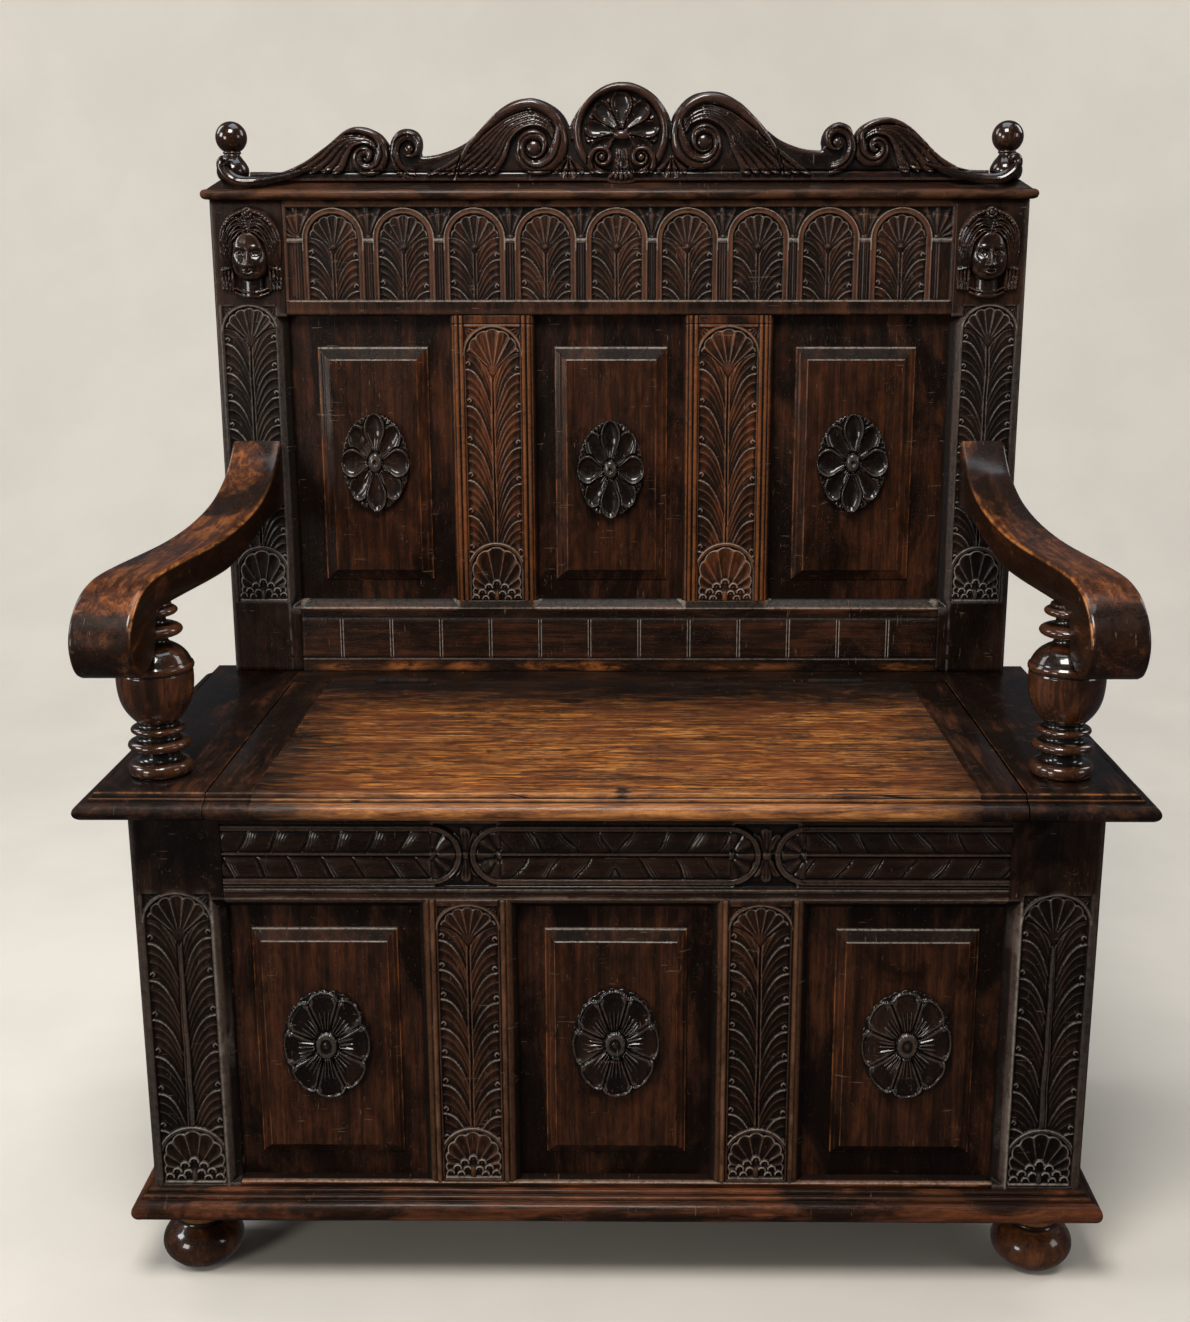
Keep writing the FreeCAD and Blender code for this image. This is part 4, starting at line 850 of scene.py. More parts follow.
def rosette_field(u, v, a, b, thick, kind, seed):
    """An oval flower. u, v from its centre; a, b its half width and height."""
    k = a / b
    x, z = u, v * k                    # as if it were round, of radius a
    x = x + wob(u, v, seed, 40.0, 0.4)
    z = z + wob(u, v, seed + 3, 45.0, 0.4)
    r = np.hypot(x, z)
    R = a
    th = np.arctan2(x, z)
    if kind == "spoon":
        fr = 16 * th / (2 * PI) + 0.5
        ff = fr - np.floor(fr)
        fr3 = 3 * fr
        f3 = fr3 - np.floor(fr3)
        rim = R * (0.99 - 0.035 * (2 * f3 - 1) ** 2)
        h = np.where(r < rim, thick * 0.42 - 0.9 * (1 - (2 * f3 - 1) ** 2) * sm((r - 0.6 * R) / 4)
                     + 0.12 * thick, -1.0)
        h = np.where(r < rim, h * sm((rim - r) / 1.1 + 0.2), h)
        for i in (1, 3, 5, 7, 0, 2, 4, 6):
            L = R * (0.985 if i % 2 == 0 else 0.965)
            hw = R * (0.325 if i % 2 == 0 else 0.315)
            hh, ins, p, q = petal(x, z, i * PI / 4, R * 0.13, L, hw, 0.0, 1.0, 0.20, 1.0)
            edge = sm((1 - q) * 5.5 + 0.12)
            grow = sm((p - R * 0.15) / (R * 0.55))
            body = thick * (0.52 + 0.16 * grow)
            lip = thick * 0.20 * np.exp(-((q - 0.82) / 0.13) ** 2) * (0.4 + 0.6 * grow)
            bell = np.clip((p - R * 0.22) / (R * 0.40), 0, 1) * np.clip((L - p) / (R * 0.10), 0, 1)
            hollow = thick * 0.34 * np.clip(1 - (q / 0.78) ** 2, 0, 1) * bell ** 0.7
            rib = 0.5 * (1 - (2 * ((q * 1.5) % 1.0) - 1) ** 2) * sm((R * 0.55 - p) / (R * 0.12))
            val = (body + lip - hollow - rib) * edge
            h = np.where(ins, np.maximum(val, thick * 0.28), h)
    else:
        tt = th + 0.06
        m = 8 * tt / (2 * PI) + 0.5
        lobe = np.floor(m)
        f = m - lobe - 0.5
        rng = np.random.RandomState(seed)
        jit = rng.uniform(-1, 1, 16)
        jl = jit[np.mod(lobe, 8).astype(int)]
        # scalloped rim with a second frill behind it
        scal = R * (0.955 + 0.012 * jl - 0.10 * (2 * np.abs(f)) ** 3.2)
        n3 = 24 * tt / (2 * PI) + 0.5
        f3 = n3 - np.floor(n3)
        rim = R * (0.99 - 0.035 * (2 * f3 - 1) ** 2)
        h = np.where(r < rim, thick * 0.30 + 0.5 * (1 - (2 * f3 - 1) ** 2), -1.0)
        h = np.where(r < rim, h * sm((rim - r) / 1.0 + 0.2), h)
        g_ = r / R
        bend = 0.10 * jl * np.clip(g_ - 0.3, 0, 1)
        dist = lambda fj: np.abs(f - fj - bend) * 2 * PI * r / 8
        side_ = np.minimum(np.abs(f - 0.5), np.abs(f + 0.5)) * 2 * PI * r / 8
        # each lobe is a shallow spoon that rises to its sides
        across = np.abs(f) * 2
        spoon = 1.9 * across ** 2 * sm((g_ - 0.25) / 0.3) - 1.5 * (1 - across ** 2) * sm((g_ - 0.5) / 0.3)
        val = thick * 0.60 + spoon + 0.5 * np.sin(PI * np.clip(g_, 0, 1))
        val = val - 3.0 * np.clip(1 - side_ / 1.5, 0, 1) * sm((g_ - 0.2) / 0.12)
        fade = sm((0.66 - g_) / 0.12) * sm((g_ - 0.24) / 0.05)
        for fj, am in ((-0.20, 1.0), (0.02, 0.9), (0.22, 1.0)):
            val = val + am * np.clip(1 - dist(fj) / 0.75, 0, 1) * fade
            val = val - 0.7 * am * np.clip(1 - np.abs(dist(fj) - 1.3) / 0.8, 0, 1) * fade
        # thin curled lip along the scallops, broken by small hooks
        val = val + 1.3 * np.exp(-((scal - r - 1.0) / 0.75) ** 2)
        val = val - 0.9 * np.exp(-((scal - r - 2.6) / 0.9) ** 2)
        hook = np.exp(-((np.abs(f) - 0.36) / 0.035) ** 2) * np.exp(-((scal - r - 3.0) / 2.4) ** 2)
        val = val + 1.2 * hook
        h = np.where(r < scal, val * sm((scal - r) / 0.8 + 0.35), h)
    if kind == "spoon":
        d = r / (R * 0.185)
        boss = thick * (0.72 + 0.30 * np.sqrt(np.clip(1 - d * d, 0, 1)))
        dim = np.clip(1 - (r / (R * 0.07)) ** 2, 0, 1) * thick * 0.22
        gap = np.clip(1 - np.abs(r - R * 0.205) / (R * 0.04), 0, 1) * 2.0
        h = np.where(d < 1, boss - dim, h - gap)
    else:
        d = r / (R * 0.215)
        boss = thick * (0.80 + 0.16 * np.sqrt(np.clip(1 - d * d, 0, 1)))
        cup = np.clip(1 - (r / (R * 0.15)) ** 2, 0, 1) * 1.8
        knob = np.sqrt(np.clip(1 - (r / (R * 0.07)) ** 2, 0, 1)) * 1.8
        gap = np.clip(1 - np.abs(r - R * 0.235) / (R * 0.04), 0, 1) * 1.6
        h = np.where(d < 1, boss - cup + knob, h - gap)
    return h


# ------------------------------------------------------------- box, front frame
def bead_line(d, half, h):
    """Rounded bead or, with h below 0, a groove; d is the distance from it."""
    k = np.clip(1 - (d / half) ** 2, 0, 1)
    return h * np.sqrt(k)


def front_post(side):
    s = -1 if side == "left" else 1
    a = np.unique(np.concatenate([ticks(373.0, 386.0, 2.0), ticks(386.0, 453.0, FINE),
                                  ticks(453.0, 460.0, 1.2)]))
    xs = np.sort(s * a)
    zs = ticks(80.0, 502.5, 6.0, (104, 418, FINE), (418, 424, 2), (496, 502.5, 1.2))
    r = Relief.grid(xs, zs)
    X, Z = r.X, r.Z
    A = np.abs(X)
    H, inside, line = leaf_panel(X * s, Z, 419.5, 31.8, 108.4, 416.5, 11 + s, depth=3.4,
                           P=40.0, D=50.0, foot=(63.0, 44.0), stem="band")
    # raised line round the sunk panel
    H += np.where(inside | (Z > 418) | (A < 386.5), 0,
                  bead_line(np.minimum(np.abs(A - 385.9 - 1.6), np.abs(A - 453.6)), 0.9, 0.5))
    across = (386.0 - A) / 13.0 * 12.0
    top = (412.0 - Z) / 11.0 * 12.0
    low = (Z - 109.0) / 4.0 * 12.0
    ch = np.clip(np.minimum(np.minimum(across, top), low), 0, 12)
    H = H - ch
    edges_round(A, Z, H, 2.2, x1=460.0)
    H += wob(X, Z, 21 + s, 140.0, 0.25)
    wear = np.exp(-((A - 386.0) / 2.2) ** 2) * 0.55 * (Z < 404) + 0.4 * np.exp(-((A - 459.5) / 1.6) ** 2)
    warm = 0.85 * (A < 387.0) * (Z < 408)
    wear = wear + 0.30 * (A > 375.0) * (A < 384.5) * (Z < 400) * (0.6 + wob(X, Z, 24, 60.0, 0.6))
    # painted highlights on the leaf's edges and along the inner arris of the chamfer
    pale = line * 0.75 + 0.55 * np.exp(-((A - 386.0) / 0.7) ** 2) * (Z < 411)
    return relief_block("carved_front_post_" + side, X, Z, H, 0.0, 60.0, extra=wear, pale=pale,
                        warm=warm,
                        mat="post", nodes=("front_post_" + side,))


def front_muntin(side):
    a, b = (-188.3, -95.0) if side == "left" else (93.0, 184.0)
    xs = ticks(a, b, 2.0, (a + 8, b - 8, FINE))
    zs = ticks(113.0, 411.9, 3.0, (113.0, 408.0, FINE))
    r = Relief.grid(xs, zs)
    X, Z = r.X, r.Z
    c = (a + b) / 2
    H, inside, line = leaf_panel(X, Z, c, 29.0, 114.5, 405.0, 31, depth=3.2,
                           P=30.5, D=40.0, foot=(57.0, 40.0), rise=24.0, nf=3)
    d = np.minimum(np.abs(X - c - 33.4), np.abs(X - c + 33.4))
    H += bead_line(d, 2.2, 0.9)
    for k in (30.6, 36.4):
        H -= bead_line(np.minimum(np.abs(X - c - k), np.abs(X - c + k)), 0.9, 1.0) * (1 - inside)
    edge = np.minimum(X - a, b - X)
    H -= np.clip(8.0 - edge, 0, 8.0)
    top = np.clip((Z - 401.0) / 11.0 * 12.0, 0, 12)
    # the face sinks no deeper than 12 mm
    wear = np.exp(-((np.abs(X - c) - 34.0) / 2.5) ** 2) * 0.6
    keep = np.minimum(12.0, np.where(Z > 401.0, top * 0 + 12.0, 12.0))
    H = np.maximum(H, -keep)
    # painted highlights on the leaf's edges
    return relief_block("carved_front_muntin_" + side, X, Z, H, 0.0, 30.0, extra=wear, pale=line * 0.8,
                        mat="muntin_low", nodes=("front_muntin_" + side,))


def lozenge(X, Z, H, x0, x1, z0, z1, lean, seed):
    """A long oval of two leaf-cut rolls with rounded, fanned ends."""
    cz, hz = (z0 + z1) / 2, (z1 - z0) / 2
    cx, hx = (x0 + x1) / 2, (x1 - x0) / 2
    u, v = X - cx, Z - cz
    au = np.abs(u)
    e = np.hypot(np.maximum(au - (hx - hz), 0), v)
    sd = hz - e                                    # distance from the rim
    inside = sd > 0
    band = 4.6
    w = hz - band
    av = np.abs(v)
    half = (w - 1.6) / 2
    t = (av - 1.6 - half) / half
    roll = np.sqrt(np.clip(1 - t * t, 0, 1))
    d = np.sign(u) if lean == 0 else lean
    # leaves laid over the rolls
    P = 31.0
    q = np.clip((av - 1.0) / (w - 1.0), 0, 1)
    ph = (d * u + wob(X, Z, seed, 45.0, 2.6) - 15.0 * q ** 1.7 - 3.0 * np.sin(PI * q) + 400) / P \
        + np.where(v > 0, 0.0, 0.45)
    k = np.floor(ph)
    f = ph - k
    leaf = 1.1 * np.clip(1 - (2 * f - 1) ** 2, 0, 1) - 1.1 - 1.8 * np.exp(-(f / 0.05) ** 2)
    force = 0.7 + 0.3 * np.sin(k * 2.4 + seed)
    # lines: painted highlights along the leaf cuts on the rolls
    lines = np.zeros_like(u)
    for fj, am in ((0.10, 1.0), (0.20, 0.75), (0.29, 0.45), (0.93, 0.5)):
        on = sm((q - 0.10 - fj * 0.5 * (fj < 0.5)) / 0.2) * sm((0.97 - q) / 0.1)
        leaf -= 0.8 * am * np.clip(1 - np.abs(f - fj - 0.035) / 0.03, 0, 1) * on
        lines += am * force * np.exp(-((f - fj) * P / 0.75) ** 2) * on
    body = -3.4 + 4.0 * roll + leaf * roll
    mid = np.where(v > 0, -0.7, -4.2)
    body = np.where(av < 1.6, mid + 0.5 * (v > 0), body)
    # fans at the ends
    fu, fv = au - (hx - hz), v
    fr = np.hypot(fu, fv)
    fa = np.arctan2(fv, np.maximum(fu, 1e-6))
    ends = (fu > 0) if lean == 0 else (fu > 0) & (np.sign(u) == lean)
    if lean != 0:
        # the other end runs under the corner post
        tail = (np.sign(u) != lean)
        sd = np.where(tail, hz - av, sd)
        inside = sd > 0
    rib = np.abs(np.cos(fa * 4.5)) ** 0.7
    edge = sm((w - fr) / 1.4)
    fan = -4.0 + edge * (1.8 + 1.9 * rib * sm((fr - 4.5) / 4) - 0.9 * sm((fr - 13) / 8) * (1 - rib))
    knob = np.sqrt(np.clip(1 - (fr / 5.2) ** 2, 0, 1)) * 4.2 - 3.6
    fan = np.where(fr < 5.2, np.maximum(fan, knob), fan)
    body = np.where(ends, fan, body)
    groove = sm((sd - band) / 0.8)
    inner = np.where(sd > band, body * groove + (-4.0) * (1 - groove) * 0, 0.0)
    out = np.where(sd > band, np.where(sd < band + 1.2, -3.0 * sm((sd - band) / 0.8), body), 0.0)
    line = bead_line(np.abs(sd - 0.7), 0.8, 0.7) - bead_line(np.abs(sd + 0.9), 1.0, 1.5)
    lines = lines * ((sd > band + 1.2) & ~ends & (av > 1.6))
    # painted highlights on the fan ribs and round the rim
    fan_highlight = 0.22 * np.exp(-((rib - 0.97) / 0.05) ** 2) * ends * (fr > 6) * (sd > band + 1.5)
    lines = lines + fan_highlight + 0.5 * np.exp(-((sd - 0.5) / 0.6) ** 2)
    return np.where(inside, out + line * (sd < 2), H + np.where(sd > -2.2, line, 0)), lines


def top_rail():
    xs = ticks(-373.0, 373.0, FINE)
    zs = ticks(401.0, 502.5, 2.5, (409.0, 489.5, FINE))
    r = Relief.grid(xs, zs)
    X, Z = r.X, r.Z
    H = np.zeros_like(X)
    # ground between the ovals, with a small knot and two sprays
    ground = (Z > 424.5) & (Z < 488.5)
    for cx in (-142.0, 142.5):
        m = ground & (np.abs(X - cx) < 30)
        H = np.where(m, -3.4, H)
        for s in (-1, 1):
            for a in (0.0, 0.55, -0.55):
                hh, ins, p, q = petal(X - cx, s * (Z - 456.6), a, 4.0, 27.0 - 5 * abs(a), 5.0,
                                      1.9, 0.9)
                rib = np.clip(1 - q / 0.3, 0, 1) * 0.8
                H = np.where(m & ins, np.maximum(H, -3.4 + hh + rib), H)
        d = np.hypot(X - cx, Z - 456.6) / 5.0
        H = np.where(d < 1, -3.0 + 3.4 * np.sqrt(np.clip(1 - d * d, 0, 1)), H)
    roll_highlights = np.zeros_like(X)
    for x0, x1, lean, seed in ((-400.0, -146.0, 1, 3), (-137.5, 137.0, 0, 4), (151.0, 400.0, -1, 5)):
        H, oval_highlight = lozenge(X, Z, H, x0, x1, 427.5, 485.6, lean, seed)
        roll_highlights = np.where((X > x0 - 3) & (X < x1 + 3), np.maximum(roll_highlights, oval_highlight), roll_highlights)
    roll_highlights = roll_highlights * ((Z > 424) & (Z < 489))
    # moulded strip and the chamfer under it
    strip = (Z < 422.5)
    H = np.where(strip, 0.0, H)
    H -= bead_line(np.abs(Z - 423.2), 0.8, 1.5)
    H -= bead_line(np.abs(Z - 417.8), 0.6, 0.7)
    H = np.where(Z < 412.0, -(412.0 - Z) / 11.0 * 12.0, H)
    H += wob(X, Z, 5, 160.0, 0.25)
    wear = np.exp(-((Z - 413.2) / 2.4) ** 2) * (0.45 + wob(X, Z, 9, 70, 0.4)) \
        + 0.35 * np.exp(-((Z - 420.5) / 1.8) ** 2) + 0.5 * np.exp(-((Z - 457.8) / 1.1) ** 2)
    # painted highlights on the beads of the strip, the chamfer's arris, the middle line of the ovals and the leaf
    # cuts
    pale = 0.6 * np.exp(-((Z - 422.0) / 0.6) ** 2) + 0.35 * np.exp(-((Z - 457.9) / 0.7) ** 2) \
        + 0.5 * np.exp(-((Z - 412.4) / 0.6) ** 2) + 0.6 * roll_highlights
    warm = 0.75 * ((Z > 430) & (Z < 484)) + 0.8 * (Z < 422)
    return relief_block("carved_front_top_rail", X, Z, H, 0.0, 30.0, extra=wear, pale=pale,
                        warm=warm,
                        mat="carved", nodes=("front_top_rail",))


def bottom_rail():
    xs = ticks(-373.0, 373.0, 6.0)
    zs = ticks(80.0, 113.0, 0.8, (109.5, 113.0, 0.3))
    r = Relief.grid(xs, zs)
    H = -np.clip((r.Z - 111.7) / 1.3 * 12.0, 0, 12) + wob(r.X, r.Z, 6, 90.0, 0.2)
    wear = np.exp(-((r.Z - 110.2) / 1.2) ** 2) * (0.35 + wob(r.X, r.Z, 8, 50, 0.5))
    # painted highlight along the arris over the chamfer
    return relief_block("front_bottom_rail_face", r.X, r.Z, H, 0.0, 30.0, extra=wear,
                        pale=np.exp(-((r.Z - 111.6) / 0.5) ** 2) * 0.8,
                        mat="frame_x", nodes=("front_bottom_rail",))


# ----------------------------------------------------------------- back frame
def upper_post(side):
    s = -1 if side == "left" else 1
    a = np.unique(np.concatenate([ticks(374.0, 387.0, 2.0), ticks(387.0, 449.0, FINE),
                                  ticks(449.0, 455.0, 1.2)]))
    xs = np.sort(s * a)
    zs = ticks(526.5, 1066.0, 6.0, (606, 954, FINE), (586, 606, 2))
    r = Relief.grid(xs, zs)
    X, Z = r.X, r.Z
    A = np.abs(X)
    H, inside, line = leaf_panel(X * s, Z, 417.2, 29.6, 611.0, 950.0, 41 + s, depth=3.4,
                           P=31.5, D=42.0, foot=(66.0, 46.0), nf=3)
    H += np.where(inside | (Z > 952) | (Z < 609), 0, bead_line(np.minimum(
        np.abs(A - 388.3), np.abs(A - 448.6)), 0.8, 0.5))
    across = (387.0 - A) / 13.0 * 10.0
    low = (Z - 603.0) / 9.0 * 9.0
    top = (940.0 - Z) * 1.2
    H -= np.clip(np.minimum(np.minimum(across, top), low), 0, 10)
    edges_round(A, Z, H, 2.0, x1=455.0)
    H += wob(X, Z, 51 + s, 140.0, 0.25)
    wear = 0.5 * np.exp(-((A - 387.5) / 1.6) ** 2) * (Z < 935) \
        + 0.5 * np.exp(-((A - 454.0) / 1.6) ** 2)
    # painted highlights on the leaf's edges
    return relief_block("carved_upper_post_" + side, X, Z, H, 431.0, 459.0, extra=wear, pale=line * 0.95,
                        mat="post", nodes=("upper_post_" + side,))


def upper_muntin(side):
    a, b = (-191.5, -95.0) if side == "left" else (73.5, 175.0)
    xs = ticks(a, b, FINE)
    zs = ticks(612.0, 940.0, FINE)
    r = Relief.grid(xs, zs)
    X, Z = r.X, r.Z
    c = (a + b) / 2
    hw = (b - a) / 2
    k = hw / 48.25
    w = 31.5 * k
    H, inside, line = leaf_panel(X, Z, c, w, 608.0, 927.0, 61, depth=3.4, P=42.0, D=56.0,
                           foot=(73.0, 52.0), rise=32.0)
    A = np.abs(X - c)
    for q, half, h in ((w + 3.6, 2.3, 1.1), (w + 9.4, 2.0, 0.9)):
        H += bead_line(np.abs(A - q), half, h) * (1 - inside)
    for q in (w + 1.0, w + 6.6, w + 12.0):
        H -= bead_line(np.abs(A - q), 0.9, 1.2) * (1 - inside)
    H -= np.clip((A - (hw - 4.5)) * 1.1, 0, 5)
    H -= bead_line(np.abs(Z - 930.5), 0.8, 1.0)
    wear = np.exp(-((A - (w + 3.6)) / 2.2) ** 2) * 0.45 + np.exp(-((A - (w + 9.4)) / 1.8) ** 2) * 0.3
    wear = wear * (0.75 + wob(X, Z, 33, 70.0, 0.45))
    # painted highlights on the leaf's edges
    return relief_block("carved_back_muntin_" + side, X, Z, H, 431.5, 457.0, extra=wear, pale=line * 0.9,
                        mat="muntin", nodes=("back_muntin_" + side,))


def frieze():
    xs = ticks(-374.0, 374.0, FINE)
    zs = ticks(940.0, 1066.0, 2.5, (952.0, 1060.0, FINE))
    r = Relief.grid(xs, zs)
    X, Z = r.X, r.Z
    zb, zt = 957.0, 1056.5
    pitch = 79.3
    inner, outer = 28.3, 34.3
    spring = zt - outer + 1.0
    H = np.zeros_like(X)
    field = (Z > zb) & (Z < zt + 1.5) & (np.abs(X) < 371)
    n = np.round((X + 2.3) / pitch)
    n = np.clip(n, -4, 4)
    centres = {-4: -319.3, -3: -240.3, -2: -161.0, -1: -81.7, 0: -2.3, 1: 76.6, 2: 155.5,
               3: 233.9, 4: 314.9}
    cx = np.zeros_like(X)
    for k, c in centres.items():
        cx = np.where(n == k, c, cx)
    u, v = X - cx, Z - zb
    au = np.abs(u)
    L = spring - zb
    rr = np.hypot(au, np.maximum(v - L, 0))
    d = np.where(v > L, rr, au)                       # like a radius
    # ground of the spandrels and pilasters
    H = np.where(field, -3.6, H)
    # pilasters between the arches
    pil = field & (au > outer) & (v < L - 3.0)
    pu = au - pitch / 2
    fl = bead_line(np.abs(pu), 0.9, 1.2) + bead_line(np.abs(np.abs(pu) - 3.0), 0.8, 1.0)
    H = np.where(pil, -2.6 + fl, H)
    cap = field & (au > outer - 0.5) & (v > L - 3.4) & (v < L + 1.6)
    H = np.where(cap, -1.4 + bead_line(np.abs(v - L + 1.0), 1.2, 1.2), H)
    # spandrel leaves: ribs that rise from the capital and fan out
    sp = field & (v > L + 1.6) & (d > outer)
    qx = pitch / 2 - au
    qv = v - (L + 1.0)
    fa = np.arctan2(qx, np.maximum(qv, 1e-3))
    fr = np.hypot(qx, qv)
    H = np.where(sp, -1.4 + flutes(fa / 0.42, 1, 2.0) * sm((fr - 1.5) / 3)
                 - 1.5 * (fr > 26) * sm((fr - 26) / 2), H)
    # arch bands
    b = (d > inner) & (d < outer) & field
    rim = bead_line(np.abs(d - outer + 0.7), 0.8, 0.7)
    hollow = -0.5 * np.sqrt(np.clip(1 - ((d - (inner + outer) / 2) / 2.6) ** 2, 0, 1))
    H = np.where(b, -0.2 + rim + hollow, H)
    # leaf in each arch
    ins = (d < inner) & field
    leaf, line = frond(u, v, inner, L - 2.0 - 17.0 - 33.5 * 3, L, 33.5, 34.0, 77, lift=2.6, nf=4)
    fan, infan, fline = palmette(u, v - L, inner, inner, inner - d, 36.0)
    leaf = np.where(infan, fan, leaf)
    line = np.where(infan, fline, line) * ins
    knot = np.sqrt(np.clip(1 - (np.hypot(u, v - L + 8.0) / 3.0) ** 2, 0, 1)) * 3.2
    leaf = np.maximum(leaf, knot)
    gut = sm((inner - d - 0.2) / 0.8)
    H = np.where(ins, -4.2 * sm((inner - d) / 0.6) + leaf * gut, H)
    # outer borders
    H = np.where(np.abs(X) > 371, 0, H)
    H += bead_line(np.abs(Z - zb + 0.9), 0.9, 0.7)
    edge = np.clip((Z - 1060.0) / 6.0, 0, 1)
    H -= 0.4 * edge
    edges_round(X, Z, H, 1.6, z0=940.0)
    H += wob(X, Z, 15, 160.0, 0.25)
    wear = b * 0.30 + np.exp(-((Z - 941.0) / 1.5) ** 2) * 0.4
    # painted highlights on the bottom bead, the arch rims, the capitals and the leaves
    pale = (np.exp(-((Z - 955.9) / 0.7) ** 2) * (np.abs(X) < 371)
            + 0.8 * np.exp(-((d - outer + 0.6) / 0.6) ** 2) * field * (v > L - 12)
            + 0.5 * cap + line * 0.85)
    return relief_block("carved_frieze", X, Z, H, 431.0, 459.0, extra=wear, pale=pale,
                        warm=b * 0.9,
                        mat="arcade", slot="oak_carved", nodes=("frieze_rail",))


def back_rail():
    xs = ticks(-374.0, 374.0, 3.0, *[(c - 4, c + 4, 0.4) for c in
                                     [-327 + 58.45 * i for i in range(12)]],
               *[(c - 7, c + 7, 1.0) for c in (-193, -93.5, 72, 176.5)])
    zs = ticks(526.5, 612.0, 1.5, (602, 612, 1.0))
    r = Relief.grid(xs, zs)
    X, Z = r.X, r.Z
    out = np.full(X.shape, 99.0)
    for a, b in ((-191.5, -95.0), (73.5, 175.0)):
        out = np.minimum(out, np.maximum(a + 4.5 - X, X - b + 4.5))
    out = np.minimum(out, 374.0 - np.abs(X))
    stop = (out < Z - 603.0) & (Z > 603.0)
    H = -np.clip(np.minimum(Z - 603.0, out), 0, 9)
    H -= bead_line(np.abs(Z - 589.3), 0.9, 1.3)
    H -= bead_line(np.abs(Z - 543.2), 0.9, 1.3)
    H -= bead_line(np.abs(Z - 586.3), 0.6, 0.7)
    # painted highlights on the flute edges, the beads, the arris and the chamfer stops, and a painted sheen on the
    # chamfer that faces up
    pale = np.zeros_like(X)
    for i in range(12):
        c = -327 + 58.45 * i
        k = ((Z > 543.5) & (Z < 589)).astype(float)
        H -= k * bead_line(np.abs(X - c), 2.6, 1.3)
        H += k * (bead_line(np.abs(X - c + 1.5), 0.8, 1.5) + bead_line(np.abs(X - c - 1.5), 0.8, 1.5))
        pale += k * (np.exp(-((np.abs(X - c) - 1.5) / 0.55) ** 2))
    pale += 0.7 * np.exp(-((Z - 590.6) / 0.8) ** 2) + 0.8 * np.exp(-((Z - 603.2) / 0.8) ** 2) \
        + 0.22 * (Z > 604) + 0.5 * np.exp(-((Z - 541.9) / 0.7) ** 2) + 0.5 * stop * (out > 0)
    H += wob(X, Z, 16, 130.0, 0.3)
    wear = np.exp(-((Z - 533.0) / 6.0) ** 2) * (0.35 + wob(X, Z, 19, 60, 0.5))
    return relief_block("back_bottom_rail_face", X, Z, H, 431.0, 459.0, extra=wear, pale=pale,
                        warm=((Z > 543) & (Z < 589)) * 0.5,
                        mat="rail", nodes=("back_bottom_rail",))


def panel(name, node, x0, x1, z0, z1, y_plate, y_back, outer, inner, rise, seed):
    """Fielded panel: a sloping margin, a small step, a bevel and the field.
    The plate runs on into the grooves of the frame."""
    ox0, ox1, oz0, oz1 = outer
    ix0, ix1, iz0, iz1 = inner
    t = 6.9
    fx = [(p - 1.6, p + 1.6, 0.45) for p in (ox0, ox1, ix0, ix1)]
    fz = [(p - 1.6, p + 1.6, 0.45) for p in (oz0, oz1, iz0, iz1)]
    xs = ticks(x0 - t, x1 + t, 5.0, (ox0, ix0, 1.2), (ix1, ox1, 1.2), *fx)
    zs = ticks(z0 - t, z1 + t, 5.0, (oz0, iz0, 1.2), (iz1, oz1, 1.2), *fz)
    X, Z = np.meshgrid(xs, zs)
    # how far inside the outer line, as a share of the bevel
    kx = np.minimum((X - ox0) / (ix0 - ox0), (ox1 - X) / (ox1 - ix1))
    kz = np.minimum((Z - oz0) / (iz0 - oz0), (oz1 - Z) / (oz1 - iz1))
    k = np.minimum(kx, kz)
    step, lip = 1.5, 0.9
    H = step * sm(k / 0.07 + 1.0) + (rise - step - lip) * np.clip(k, 0, 1) \
        + lip * sm((k - 1.0) / 0.07 + 0.2)
    side = kx < kz
    # the long sides of the bevel carry a fine bead
    H += 0.5 * np.clip(1 - ((k - 0.42) / 0.10) ** 2, 0, 1) * side
    slope = np.clip(-k * 12.0, 0, 20) / 20.0
    H -= 0.9 * slope * (k < 0)
    H += wob(X, Z, seed, 90.0, 0.25)
    edge_o = np.exp(-((k - 0.03) / 0.06) ** 2)
    edge_i = np.exp(-((k - 1.02) / 0.05) ** 2)
    up = (Z > (z0 + z1) / 2) & ~side
    # painted highlights on the arrises of the upper bevel and a painted reflection on its face, which turns up to the
    # lamps
    pale = (edge_o * 0.9 + edge_i * 0.7) * up + 0.13 * (k > 0) * (k < 1) * up
    wear = (edge_o * 1.0 + edge_i * 0.85 + 0.35 * np.exp(-((k - 0.42) / 0.1) ** 2)) * side \
        + (edge_i * 0.5 + edge_o * 0.3) * (~side) * (~up)
    warm = np.where(k > 1.0, 1.0, np.where(k > 0, 0.75 * side, 0.0))
    return relief_block(name, X, Z, H, y_plate, y_back, cav_gain=0.0, extra=wear, pale=pale,
                        warm=warm, mat="panel", slot="oak_panel", nodes=(node,))


